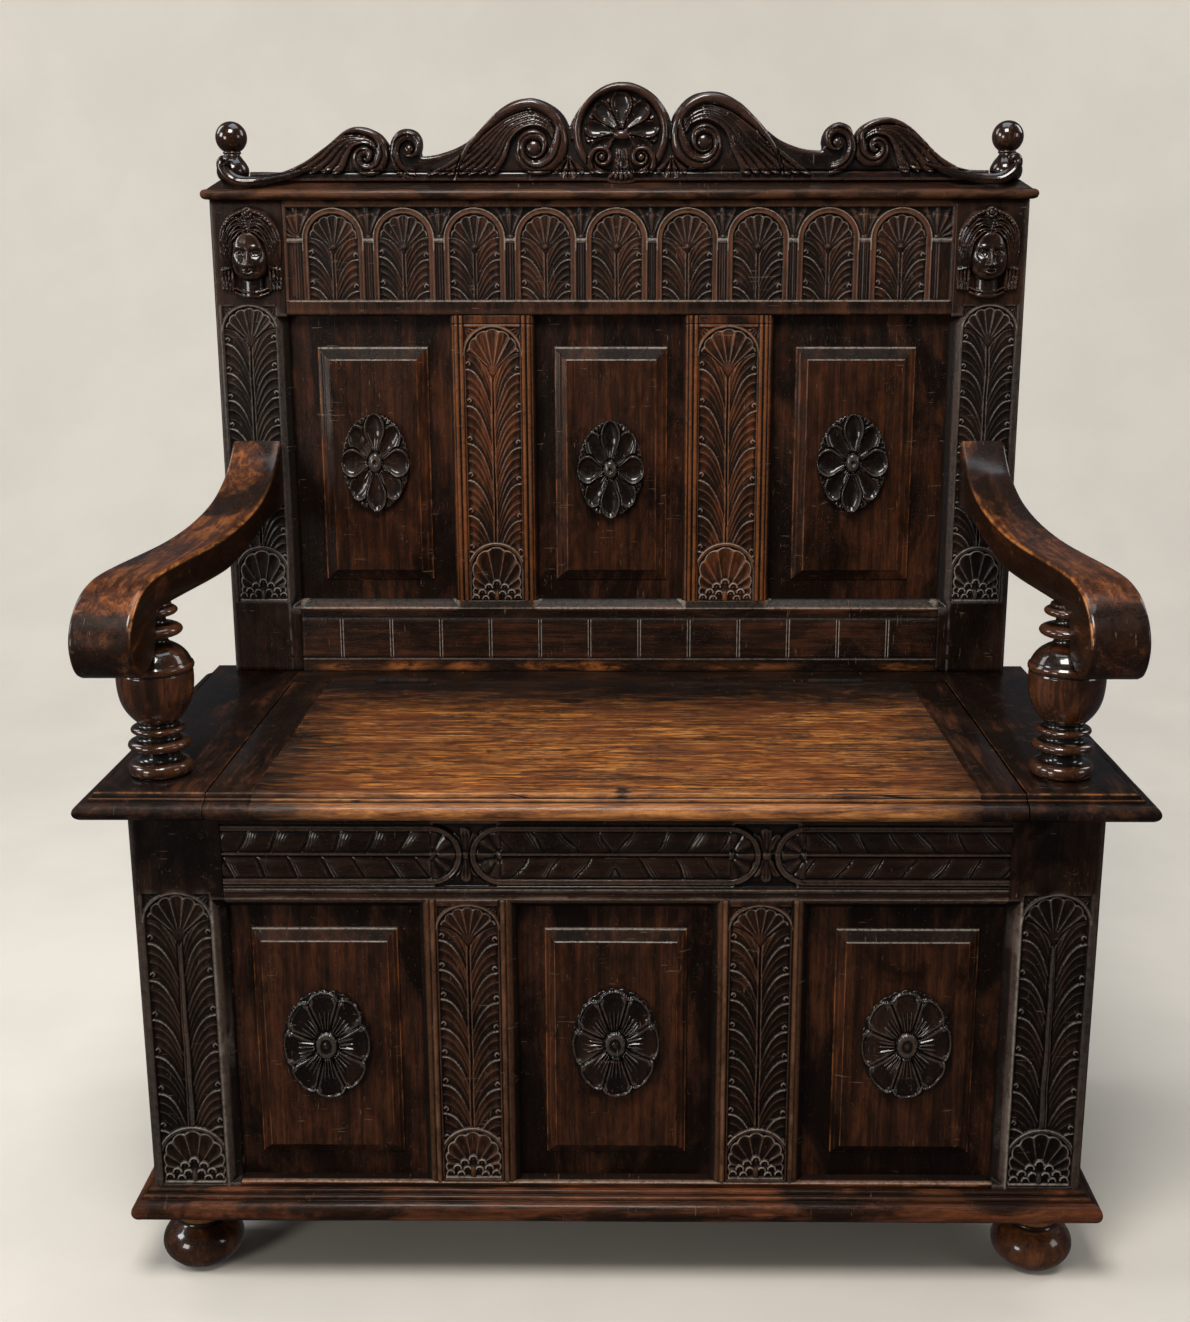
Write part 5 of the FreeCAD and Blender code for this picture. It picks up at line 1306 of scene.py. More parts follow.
# ------------------------------------------------------------------- rosettes
def rosettes(name, items, y0, thick, kind, node):
    co, quads, ngons, cav = [], [], [], []
    at = 0
    for i, (cx, cz, w, h) in enumerate(items):
        a, b = w / 2, h / 2
        T = 480
        Rn = 64
        th = np.linspace(0, 2 * PI, T, endpoint=False)
        rs = np.linspace(0.55, 1.0, 90)
        uu = a * np.sin(th)[:, None] * rs
        vv = b * np.cos(th)[:, None] * rs
        hh = rosette_field(uu, vv, a, b, thick, kind, 80 + i)
        ok = hh > 0.8
        last = 89 - np.argmax(ok[:, ::-1], axis=1)
        edge = np.clip(rs[last], 0.62, 1.0)
        k = np.linspace(0.0, 1.0, Rn + 1)[1:]
        uu = a * np.sin(th)[:, None] * edge[:, None] * k
        vv = b * np.cos(th)[:, None] * edge[:, None] * k
        hh = np.maximum(rosette_field(uu * 0.998, vv * 0.998, a, b, thick, kind, 80 + i),
                        thick * 0.22)
        hh[:, -1] = np.maximum(hh[:, -1], thick * 0.3)
        c0 = rosette_field(np.zeros((1, 1)), np.zeros((1, 1)), a, b, thick, kind, 80 + i)[0, 0]
        pts = [np.array([[cx, y0 - c0, cz]])]
        pts.append(np.stack([cx + uu, y0 - hh, cz + vv], -1).reshape(-1, 3))
        pts.append(np.stack([cx + uu[:, -1], np.full(T, y0 + 0.6), cz + vv[:, -1]], -1))
        co.append(np.concatenate(pts))
        g = at + 1 + np.arange(T * Rn).reshape(T, Rn)
        g2 = np.roll(g, -1, axis=0)
        quads.append(np.stack([g[:, :-1], g[:, 1:], g2[:, 1:], g2[:, :-1]], -1).reshape(-1, 4))
        bk = at + 1 + T * Rn + np.arange(T)
        quads.append(np.stack([g[:, -1], bk, np.roll(bk, -1), g2[:, -1]], -1))
        ngons += [[at, g[j, 0], g2[j, 0]] for j in range(T)]
        ngons.append(list(bk))
        wide = np.concatenate([hh[:, ::-1], hh], axis=1)
        bl = blur(np.concatenate([hh[-20:], hh, hh[:20]]), 4)[20:-20]
        cv = np.clip((hh - bl) * 0.9, -1, 1)
        # the centre counts as a high spot; the rim where the flower meets the ground counts as a hollow and gets some
        # painted shade
        cav.append(np.concatenate([[0.2], cv.ravel(), np.full(T, -0.2)]))
        at += len(co[-1])
    ob = build(name, np.concatenate(co), np.concatenate(quads), ngons,
               attrs={"cav": np.concatenate(cav)}, mat="rosette", slot="oak_carved",
               nodes=(node,))
    fix_normals(ob)
    return ob


def fix_normals(ob):
    bm = bmesh.new()
    bm.from_mesh(ob.data)
    bmesh.ops.recalc_face_normals(bm, faces=bm.faces)
    bm.to_mesh(ob.data)
    bm.free()


# --------------------------------------------------------- moulded flat pieces
def stack(name, prof, plan, wobble=0.0, seed=0, wear=None, inset=0.0, **kw):
    """A board whose edge profile (d, z) is carried round a plan; plan(d)
    gives the corners of its outline at that overhang, with the same count
    of points for every d."""
    rings = []
    top = max(z for d, z in prof)
    for d, z in prof:
        p = plan(d)
        rings.append(np.concatenate([p, np.full((len(p), 1), z)], 1))
    if inset:
        # all the arrises of the top are worn, not only the moulded ones
        p = plan(prof[0][0])
        c = (p.max(0) + p.min(0)) / 2
        half = (p.max(0) - p.min(0)) / 2
        q = c + (p - c) * (1 - inset / half)
        q2 = c + (p - c) * (1 - 0.3 * inset / half)
        rings[0] = np.concatenate([p, np.full((len(p), 1), top - inset)], 1)
        rings.insert(0, np.concatenate([q2, np.full((len(p), 1), top - 0.35 * inset)], 1))
        rings.insert(0, np.concatenate([q, np.full((len(p), 1), top)], 1))
        prof = [(prof[0][0], top), (prof[0][0], top - 0.35 * inset)] + list(prof)
    P = np.array(rings)
    n, m, _ = P.shape
    cav = prof_cav(prof[2:] if inset else prof)
    if inset:
        cav = np.concatenate([[0, 0], cav])
    kw["attrs"] = {"cav": np.repeat(cav, m)}
    if wear is not None:
        kw["attrs"]["wear"] = np.repeat([float(wear(d, z)) for d, z in prof], m)
    if wobble:
        P[..., 2] += wob(P[..., 0], P[..., 1], seed, 120.0, wobble) * (P[..., 2] > prof[-1][1] - 30)
    i = np.arange(n * m).reshape(n, m)
    j = np.roll(i, -1, axis=1)
    quads = np.stack([i[:-1], j[:-1], j[1:], i[1:]], -1).reshape(-1, 4)
    ob = build(name, P.reshape(-1, 3), quads, [list(i[0][::-1]), list(i[-1])], **kw)
    fix_normals(ob)
    sharp_shade(ob)
    return ob


def sharp_shade(ob, deg=38.0):
    """Smooth shading with the real corners kept sharp."""
    bm = bmesh.new()
    bm.from_mesh(ob.data)
    lim = math.radians(deg)
    for e in bm.edges:
        if len(e.link_faces) == 2:
            e.smooth = e.calc_face_angle(0.0) < lim
    for f in bm.faces:
        f.smooth = True
    bm.to_mesh(ob.data)
    bm.free()


def subdivide(corners, step=25.0):
    out = []
    for a, b in zip(corners, corners[1:] + corners[:1]):
        n = max(1, int(round(math.dist(a, b) / step)))
        for i in range(n):
            t = i / n
            out.append((a[0] + (b[0] - a[0]) * t, a[1] + (b[1] - a[1]) * t))
    return out


def morph(corner_fn, step=25.0):
    """Plan outlines with the same subdivision at every overhang."""
    base = corner_fn(0.0)
    counts = [max(1, int(round(math.dist(a, b) / step)))
              for a, b in zip(base, base[1:] + base[:1])]

    def plan(d):
        c = corner_fn(d)
        out = []
        for (a, b), n in zip(zip(c, c[1:] + c[:1]), counts):
            for i in range(n):
                t = i / n
                out.append((a[0] + (b[0] - a[0]) * t, a[1] + (b[1] - a[1]) * t))
        return np.array(out)
    return plan


SEAT_PROF = [(21.0, 526.5), (22.1, 526.2), (22.8, 525.2), (23.2, 523.6), (23.3, 522.3),
             (23.2, 521.5), (24.2, 521.2), (25.2, 521.9), (26.3, 521.6), (26.9, 520.5),
             (26.8, 519.3), (26.7, 518.5), (27.7, 518.1), (29.4, 518.9), (32.0, 518.9),
             (34.6, 518.0), (36.8, 516.2), (38.3, 513.8), (38.9, 511.2), (38.6, 508.9),
             (37.4, 506.5), (35.4, 504.5), (33.2, 503.1), (31.2, 502.5)]
SEAT_EDGE = [tuple(p) for p in dense(SEAT_PROF, 0.42, 1)]


def seat():
    prof = SEAT_EDGE
    out = []
    for s, side in ((-1, "left"), (1, "right")):
        def plan(d, s=s):
            x0, x1 = 379.0, 460.0 + d
            back = 459.0
            nip = max(0.0, (x1 - 482.0) * 0.9)
            c = [(s * x0, -d), (s * x1, -d), (s * x1, back - nip), (s * (x1 - nip), back),
                 (s * x0, back)]
            return c
        ob = stack("seat_end_board_" + side, prof, morph(lambda d, p=plan: p(max(d, 0.01))),
                   0.2, 3 + s, inset=1.5, wear=lambda d, z: 0.42 * (525.3 < z < 526.45),
                   mat="seat", slot="oak_seat", nodes=("seat_end_" + side,))
        out.append(ob)
    for s, side in ((-1, "left"), (1, "right")):
        a, b = (336.1, 378.2) if s < 0 else (336.1, 377.6)

        def plan(d, s=s, a=a, b=b):
            return [(s * a, -d), (s * b, -d), (s * b, 382.4), (s * a, 382.4)]
        out.append(stack("lid_clamp_board_" + side, prof, morph(plan), 0.2, 13 + s, inset=1.5,
                         wear=lambda d, z: 0.30 * (525.3 < z < 526.45),
                         mat="seat", slot="oak_lid", body="lid",
                         nodes=("lid_clamp_" + side,)))

    # the main board of the lid, swept along x, with a notch for each hinge
    def section(x, lip):
        y = np.concatenate([ticks(-20.0, 382.4, 7.0)[::-1]])
        y = y[y > -19.5]
        back = 378.4 if lip else 382.4
        y = np.where(y > back, back, y)
        top = np.stack([y, np.full(len(y), 526.5)], -1)
        edge = np.array([(-d, z) for d, z in prof])
        low = np.array([(back, 502.5)])
        return np.concatenate([top, edge, low])
    marks = [-335.9, 335.9]
    xs = list(ticks(-335.9, 335.9, 7.0))
    flags = []
    notch = [(-281.4, -218.6), (218.6, 281.4)]
    full = []
    for x in xs:
        full.append((x, any(a < x < b for a, b in notch)))
    for a, b in notch:
        full += [(a, False), (a + 0.04, True), (b - 0.04, True), (b, False)]
    full.sort()
    rings = []
    for x, lip in full:
        s_ = section(x, lip)
        x_ = np.full(len(s_), x)
        z = s_[:, 1] + (s_[:, 1] > 520) * wob(x_, s_[:, 0], 44, 170.0, 0.35) * (s_[:, 0] < 377)
        rings.append(np.stack([x_, s_[:, 0], z], -1))
    P = np.array(rings)
    n, m, _ = P.shape
    i = np.arange(n * m).reshape(n, m)
    j = np.roll(i, -1, axis=1)
    quads = np.stack([i[:-1], j[:-1], j[1:], i[1:]], -1).reshape(-1, 4)
    edge = np.concatenate([np.zeros(m - len(prof) - 1), prof_cav(prof), [0]])
    ob = build("lid_main_board", P.reshape(-1, 3), quads, [list(i[0]), list(i[-1][::-1])],
               attrs={"cav": np.tile(edge, n)}, mat="lid", slot="oak_lid", body="lid", nodes=("lid_board",))
    fix_normals(ob)
    sharp_shade(ob)
    out.append(ob)
    return out


BASE_PROF = [(0.0, 106.2), (3.4, 106.2), (4.6, 105.6), (5.1, 104.4), (5.2, 102.8), (5.1, 101.6),
             (6.1, 101.0), (7.4, 101.6), (8.8, 101.2), (9.7, 100.0), (9.8, 98.6), (9.7, 97.5),
             (10.7, 96.8), (12.6, 97.4), (15.0, 96.6), (17.2, 94.8), (18.9, 92.0), (19.6, 88.6),
             (19.4, 85.2), (18.2, 81.6), (16.0, 78.6), (13.2, 76.6), (11.0, 76.0), (0.0, 76.0)]


def base_moulding():
    prof = dense(BASE_PROF[1:-1], 0.42, 1)
    xs = np.unique(np.concatenate([np.linspace(-1, 1, 90)]))
    # front length, mitred at both ends
    loop = np.vstack([[0.0, 106.2], prof, [0.0, 76.0]])
    cav = np.concatenate([[0], prof_cav(prof), [0]])
    rings = []
    for t in xs:
        x = t * (460.0 + loop[:, 0])
        z = loop[:, 1] + wob(x, loop[:, 1] * 0, 71, 200.0, 0.2)
        rings.append(np.stack([x, -loop[:, 0] - wob(x, z * 0, 72, 160.0, 0.2) * (loop[:, 0] > 1), z], -1))
    out = [tube("base_moulding_front_length", rings, "base_moulding_front", "moulding",
                cav=cav)]
    for s, side in ((-1, "left"), (1, "right")):
        rings = []
        for t in np.linspace(0, 1, 50):
            y = -loop[:, 0] * (1 - t) + 458.0 * t
            rings.append(np.stack([s * (460.0 + loop[:, 0]), y, loop[:, 1]], -1))
        out.append(tube("base_moulding_%s_length" % side, rings, "base_moulding_" + side,
                        "mould_y", cav=cav))
    return out


def tube(name, rings, node, mat, slot="oak_frame", cav=None):
    P = np.array(rings)
    n, m, _ = P.shape
    i = np.arange(n * m).reshape(n, m)
    j = np.roll(i, -1, axis=1)
    quads = np.stack([i[:-1], j[:-1], j[1:], i[1:]], -1).reshape(-1, 4)
    attrs = {} if cav is None else {"cav": np.tile(cav, n)}
    ob = build(name, P.reshape(-1, 3), quads, [list(i[0]), list(i[-1][::-1])], attrs=attrs,
               mat=mat, slot=slot, nodes=(node,))
    fix_normals(ob)
    sharp_shade(ob)
    return ob


CORN_PROF = [(0.0, 1066.0), (5.5, 1066.4), (7.8, 1067.2), (9.4, 1069.2), (10.0, 1072.0),
             (9.4, 1074.5), (8.0, 1076.2), (5.8, 1077.1), (3.2, 1077.6), (2.0, 1079.0),
             (-9.0, 1087.5)]


def cornice():
    prof = [tuple(p) for p in dense(CORN_PROF, 0.8, 1)]

    def plan(d):
        return [(-452.5 - d, 459.0), (-452.5 - d, 431.0 - d), (452.5 + d, 431.0 - d),
                (452.5 + d, 459.0)]
    return stack("cornice_moulding", prof, morph(plan, 12.0), 0.0, 0, mat="cornice",
                 wear=lambda d, z: 0.35 * (d > 4.0) * (z < 1077.5),
                 slot="oak_carved", nodes=("cornice",))


def softened(name, node, mat, width=1.0, body="root", clean=0.6):
    """The plain board of the CAD with its arrises worn round."""
    src = bpy.data.objects[node] if node in bpy.data.objects else None
    me = src.data.copy()
    me.name = name
    bm = bmesh.new()
    bm.from_mesh(me)
    bmesh.ops.remove_doubles(bm, verts=bm.verts, dist=1e-5)
    bmesh.ops.dissolve_limit(bm, angle_limit=math.radians(clean), verts=bm.verts,
                             edges=bm.edges)
    sharp = [e for e in bm.edges if len(e.link_faces) == 2
             and e.calc_face_angle(0.0) > math.radians(18)]
    bmesh.ops.bevel(bm, geom=sharp, offset=width / 1000.0, segments=2, profile=0.6,
                    affect="EDGES", clamp_overlap=True)
    bmesh.ops.remove_doubles(bm, verts=bm.verts, dist=1e-6)
    bmesh.ops.dissolve_degenerate(bm, edges=bm.edges, dist=1e-6)
    bmesh.ops.recalc_face_normals(bm, faces=bm.faces)
    bm.to_mesh(me)
    bm.free()
    me.materials.clear()
    me.materials.append(M[mat])
    ob = bpy.data.objects.new(name, me)
    ob.matrix_world = src.matrix_world.copy()
    bpy.context.scene.collection.objects.link(ob)
    sharp_shade(ob, 30.0)
    w = ob.modifiers.new("shade", "WEIGHTED_NORMAL")
    w.keep_sharp = True
    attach(ob, body)
    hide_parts(node)
    return ob


# ------------------------------------------------------------------ turnings
def bead(r_in, r_out, z0, z1, n=11):
    zc, h = (z0 + z1) / 2.0, (z1 - z0) / 2.0
    return [(r_in + (r_out - r_in) * math.cos(PI * i / n - PI / 2),
             zc + h * math.sin(PI * i / n - PI / 2)) for i in range(n + 1)]


def supports():
    S = 526.5
    p = [(26.5, S - 0.4)] + bead(25.5, 30.2, S + 0.4, 540.0)
    p += [(21.5, 541.0), (19.4, 543.2), (18.7, 546.0), (18.8, 548.6), (20.3, 550.8)]
    p += bead(21.5, 29.2, 551.5, 561.5) + [(19.8, 562.5), (19.0, 565.0), (19.8, 567.0)]
    p += bead(20.0, 25.8, 567.5, 575.0) + [(18.6, 576.0), (18.6, 578.0)]
    bulb = dense([(18.6, 578.0), (23.5, 583.0), (28.6, 589.5), (32.6, 597.5), (35.0, 607.0),
                  (36.0, 618.0), (35.8, 627.0)], 1.0, 2)
    p += [tuple(q) for q in bulb[1:]]
    p += [(35.1, 627.8), (35.0, 629.0), (36.6, 630.2), (37.1, 632.8), (36.3, 635.2),
          (34.6, 636.4), (34.4, 637.6)]
    top = dense([(34.0, 638.4), (31.6, 643.2), (27.0, 648.5), (21.0, 652.5), (16.4, 654.6),
                 (14.4, 657.0), (14.3, 660.0)], 1.0, 1)
    p += [tuple(q) for q in top]
    p += bead(16.0, 28.6, 661.0, 673.5) + [(14.6, 674.6), (13.4, 677.6), (14.8, 680.3)]
    p += bead(16.0, 25.0, 681.0, 690.2) + [(20.0, 690.6), (19.0, 693.0)]
    for side, (x, y) in zip(("left", "right"), ((-435.5, 38.0), (424.5, 38.0))):
        ob = revolve("turned_support_" + side, p, x, y, mat="turned", slot="oak_turned",
                     warm=lambda z: 0.9 * (583 < z < 630) - 0.35 * (z < 578) - 0.25 * (z > 640),
                     nodes=("arm_support_" + side,))
        fix_normals(ob)


def finials():
    C, R = 1133.0, 17.3
    base = [(13.5, 1087.2), (15.6, 1089.2), (17.0, 1091.8), (17.9, 1095.4), (17.9, 1098.6),
            (17.0, 1102.0), (14.4, 1106.6), (11.0, 1110.8), (8.9, 1113.6), (8.3, 1115.0)]
    p = [tuple(q) for q in dense(base, 0.8, 1)]
    p += bead(8.4, 10.0, 1115.2, 1118.3, 7)
    for i in range(0, 34):
        a = math.radians(-62 + 152.0 * i / 34.0)
        p.append((R * math.cos(a), C + R * math.sin(a)))
    p.append((0.4, C + R))
    co, quads, ngons = [], [], []
    pieces = []
    for s, side in ((-1, "left"), (1, "right")):
        ob = revolve("turned_finial_" + side, p, s * 430.0, 447.0, mat="turned",
                     slot="oak_turned", nodes=("finials",))
        fix_normals(ob)


def feet():
    prof = [(20.0, 0.0), (25.0, 1.3), (30.5, 4.6), (35.5, 9.4), (39.3, 15.0), (41.0, 21.0),
            (40.5, 27.0), (38.0, 33.2), (33.4, 39.2), (28.0, 43.6), (24.4, 46.4), (23.4, 48.6)]
    p = [tuple(q) for q in dense(prof, 1.2, 1)]
    p += bead(24.0, 26.2, 50.0, 58.0, 8)
    p += [tuple(q) for q in dense([(23.0, 59.0), (22.0, 64.0), (22.5, 70.0), (25.0, 75.0),
                                   (28.5, 78.4), (29.0, 80.4)], 1.2, 1)]
    for tag, y, node in (("front", 45.0, "front_feet"), ("back", 413.0, "back_feet")):
        for s, side in ((-1, "left"), (1, "right")):
            ob = revolve("bun_foot_%s_%s" % (tag, side), p, s * 427.0, y, mat="foot",
                         slot="oak_turned", nodes=(node,))
            fix_normals(ob)


# ---------------------------------------------------------------------- arms
ARM_TOP = [(431, 799), (409, 777), (386, 760.5), (353, 746), (318, 737), (273, 730),
           (228, 726), (179, 724), (120, 724), (61, 724.5), (21, 724), (-5, 721.5),
           (-28, 715), (-46, 704), (-58, 690), (-63, 674), (-60, 658), (-52, 646), (-41, 640)]
ARM_LOW = [(-41, 640), (-29, 640.5), (-15, 645), (-5, 653), (1, 664), (3.5, 675), (7, 684),
           (15, 689.5), (30, 691), (55, 691), (112, 690), (163, 689), (218, 689.5),
           (258, 694), (305, 703), (358, 715), (431, 724)]
ARM_PLAN = {"left": ((-387.5, 431.0), (-426.0, -66.0), (-481.5, -66.0), (-443.0, 431.0)),
            "right": ((391.0, 431.0), (417.0, -66.0), (470.0, -66.0), (441.0, 431.0))}


def arm(side):
    top = catmull(ARM_TOP, 10)
    low = catmull(ARM_LOW, 10)
    loop = np.vstack([top, low[1:]])
    # even spacing
    d = np.concatenate([[0], np.cumsum(np.hypot(*np.diff(loop, axis=0).T))])
    n = int(d[-1] / 2.6)
    t = np.linspace(0, d[-1], n)
    loop = np.stack([np.interp(t, d, loop[:, 0]), np.interp(t, d, loop[:, 1])], -1)
    d_top = np.hypot(*np.diff(top, axis=0).T).sum()
    top_n = t[t < d_top * 0.93]
    tan = np.gradient(loop, axis=0)
    nor = np.stack([-tan[:, 1], tan[:, 0]], -1)
    nor /= np.linalg.norm(nor, axis=1)[:, None] + 1e-9
    cen = loop.mean(0)
    # the profile runs round clockwise or not: make the normals point inwards
    area = 0.5 * np.sum(loop[:, 0] * np.roll(loop[:, 1], -1) - np.roll(loop[:, 0], -1) * loop[:, 1])
    if area < 0:
        nor = -nor
    (ia, _), (ib, _), (ob_, _), (oa, _) = ARM_PLAN[side]
    k = (loop[:, 1] * 0 + (431.0 - loop[:, 0]) / 497.0)

    def xs_at(yy):
        q = (431.0 - yy) / 497.0
        return oa + (ob_ - oa) * q, ia + (ib - ia) * q
    r_in, r_out = 4.2, 3.2
    rows = []
    wears = []
    for a in np.linspace(0, PI / 2, 6):
        rows.append(("o", r_out * (1 - math.sin(a)), r_out * (1 - math.cos(a)) , a))
    rings = []
    for kind, inset, shift, a in rows:
        rings.append((inset, 0.0, shift))
    for f in np.linspace(0.08, 0.92, 9):
        rings.append((0.0, f, 0.0))
    for a in np.linspace(PI / 2, 0, 6):
        rings.append((r_in * (1 - math.sin(a)), 1.0, -r_in * (1 - math.cos(a))))
    P = []
    warms = []
    for inset, f, shift in rings:
        yz = loop + nor * inset
        yz[:, 0] = np.minimum(yz[:, 0], 431.0)
        yz[0], yz[-1] = (431.0, loop[0, 1] - inset), (431.0, loop[-1, 1] + inset)
        xo, xi = xs_at(yz[:, 0])
        sgn = np.sign(xi - xo)
        x = xo + (xi - xo) * f + sgn * shift
        # a hollow along the middle of the arm's top
        crown = np.sin(PI * f) * 0.8 if 0 < f < 1 else 0.0
        z = yz[:, 1] + crown * np.clip((yz[:, 1] - 700) / 20, 0, 1) * 0.6
        P.append(np.stack([x, yz[:, 0], z], -1))
        w = np.zeros(len(x))
        up = np.arange(len(x)) < len(top_n)
        run = np.clip((430 - yz[:, 0]) / 120, 0, 1)
        if f == 1.0:
            w = up * run * float(np.interp(inset, [0, 0.4, 1.6, 2.6, 3.4, 4.2],
                                           [0.15, 0.40, 0.62, 0.30, 0.05, 0.0]))
        elif 0.8 < f < 1.0:
            w = up * run * 0.30 * (f - 0.8) / 0.2
        elif 0.1 < f <= 0.8:
            w = up * 0.12 * np.clip((250 - yz[:, 0]) / 120, 0, 1)
        wears.append(w)
        wm = np.clip((330 - yz[:, 0]) / 200, 0, 1) * (0.15 + 0.65 * up * (yz[:, 1] > 700)
                                                      + 0.35 * (f > 0.3) * (f < 0.9))
        if (f == 0.0 or f == 1.0) and inset > 2.0:
            wm = wm * 0 - 0.7
        nose = np.clip((712 - yz[:, 1]) / 18, 0, 1) * (yz[:, 0] < -25)
        wm = wm * (1 - nose) - 0.45 * nose
        warms.append(wm)
    P = np.array(P)
    n, m, _ = P.shape
    i = np.arange(n * m).reshape(n, m)
    j = np.roll(i, -1, axis=1)
    quads = np.stack([i[:-1], j[:-1], j[1:], i[1:]], -1).reshape(-1, 4)
    ob = build("sawn_arm_" + side, P.reshape(-1, 3), quads, [list(i[0]), list(i[-1][::-1])],
               attrs={"wear": np.array(wears).ravel(), "warm": np.array(warms).ravel()}, mat="arm", slot="oak_turned",
               nodes=("arm_" + side,))
    fix_normals(ob)
    sharp_shade(ob, 50.0)
    return ob


# ---------------------------------------------------------------------- crest
def inside_poly(X, Z, poly):
    out = np.zeros(X.shape, bool)
    p = np.asarray(poly, float)
    q = np.roll(p, -1, axis=0)
    for (x0, z0), (x1, z1) in zip(p, q):
        if z0 == z1:
            continue
        m = (Z > min(z0, z1)) & (Z <= max(z0, z1))
        xc = x0 + (Z - z0) / (z1 - z0) * (x1 - x0)
        out ^= m & (X < xc)
    return out


def nearest_on(poly, pts):
    p = np.asarray(poly, float)
    q = np.roll(p, -1, axis=0)
    best = np.full(len(pts), 1e9)
    where = pts.copy()
    for a, b in zip(p, q):
        d = b - a
        t = np.clip(((pts - a) @ d) / (d @ d + 1e-12), 0, 1)
        c = a + t[:, None] * d
        e = np.hypot(*(pts - c).T)
        m = e < best
        best = np.where(m, e, best)
        where[m] = c[m]
    return where, best


def trimmed(name, X, Z, H, inside, poly, y_front, y_back, reach=1.4, attrs=None, cav_r=3.0,
            cav_gain=1.4, **kw):
    """Relief cut to an outline: the cells inside it, with the border drawn
    onto the outline, walls to the back and a flat back."""
    nz, nx = X.shape
    cell = inside[:-1, :-1] & inside[1:, :-1] & inside[:-1, 1:] & inside[1:, 1:]
    # only the largest connected area
    lab = np.zeros(cell.shape, int)
    seeds = np.argwhere(cell)
    mid = seeds[len(seeds) // 2]
    seen = np.zeros(cell.shape, bool)
    cur = np.zeros(cell.shape, bool)
    cur[tuple(mid)] = True
    while cur.any():
        seen |= cur
        nxt = np.zeros_like(cur)
        nxt[1:] |= cur[:-1]
        nxt[:-1] |= cur[1:]
        nxt[:, 1:] |= cur[:, :-1]
        nxt[:, :-1] |= cur[:, 1:]
        cur = nxt & cell & ~seen
    cell = seen
    # no two cells that touch at a corner only
    for _ in range(6):
        a, b, c, d = cell[:-1, :-1], cell[:-1, 1:], cell[1:, :-1], cell[1:, 1:]
        bad = (a & d & ~b & ~c) | (b & c & ~a & ~d)
        if not bad.any():
            break
        z, x = np.nonzero(bad)
        for i, j in zip(z, x):
            cell[i, j] = cell[i + 1, j] = cell[i, j + 1] = cell[i + 1, j + 1] = False
    i = np.arange(nz * nx).reshape(nz, nx)
    zz, xx = np.nonzero(cell)
    q = np.stack([i[zz, xx], i[zz, xx + 1], i[zz + 1, xx + 1], i[zz + 1, xx]], -1)
    used = np.unique(q)
    remap = np.full(nz * nx, -1)
    remap[used] = np.arange(len(used))
    q = remap[q]
    # border edges: those of one face only
    e = np.concatenate([q[:, [0, 1]], q[:, [1, 2]], q[:, [2, 3]], q[:, [3, 0]]])
    key = np.sort(e, 1)
    uniq, inv, cnt = np.unique(key, axis=0, return_inverse=True, return_counts=True)
    border = e[cnt[inv.ravel()] == 1]
    pts = np.stack([X.ravel()[used], Z.ravel()[used]], -1)
    h = H.ravel()[used].copy()
    bv = np.unique(border)
    snapped, dist = nearest_on(poly, pts[bv])
    ok = dist < reach
    pts[bv[ok]] = snapped[ok]
    front = np.stack([pts[:, 0], y_front - h, pts[:, 1]], -1)
    n = len(used)
    back = np.stack([pts[:, 0], np.full(n, float(y_back)), pts[:, 1]], -1)
    co = np.concatenate([front, back])
    # the flat back, as strips: only its border matters, the rest is plain
    sides = np.stack([border[:, 1], border[:, 0], border[:, 0] + n, border[:, 1] + n], -1)
    backq = q[:, ::-1] + n
    cav = np.clip((H - blur(np.where(inside, H, H[inside].min()), cav_r / FINE)) * cav_gain / 2, -1, 1)
    at = {"cav": cav.ravel()[used]}
    for k_, v_ in (attrs or {}).items():
        at[k_] = np.clip(v_, 0, 1).ravel()[used]
    ob = build(name, co, q, flat=np.concatenate([sides, backq]), attrs=at, **kw)
    if kw.get("smooth", True):
        sharp_shade(ob, 62.0)
    return ob


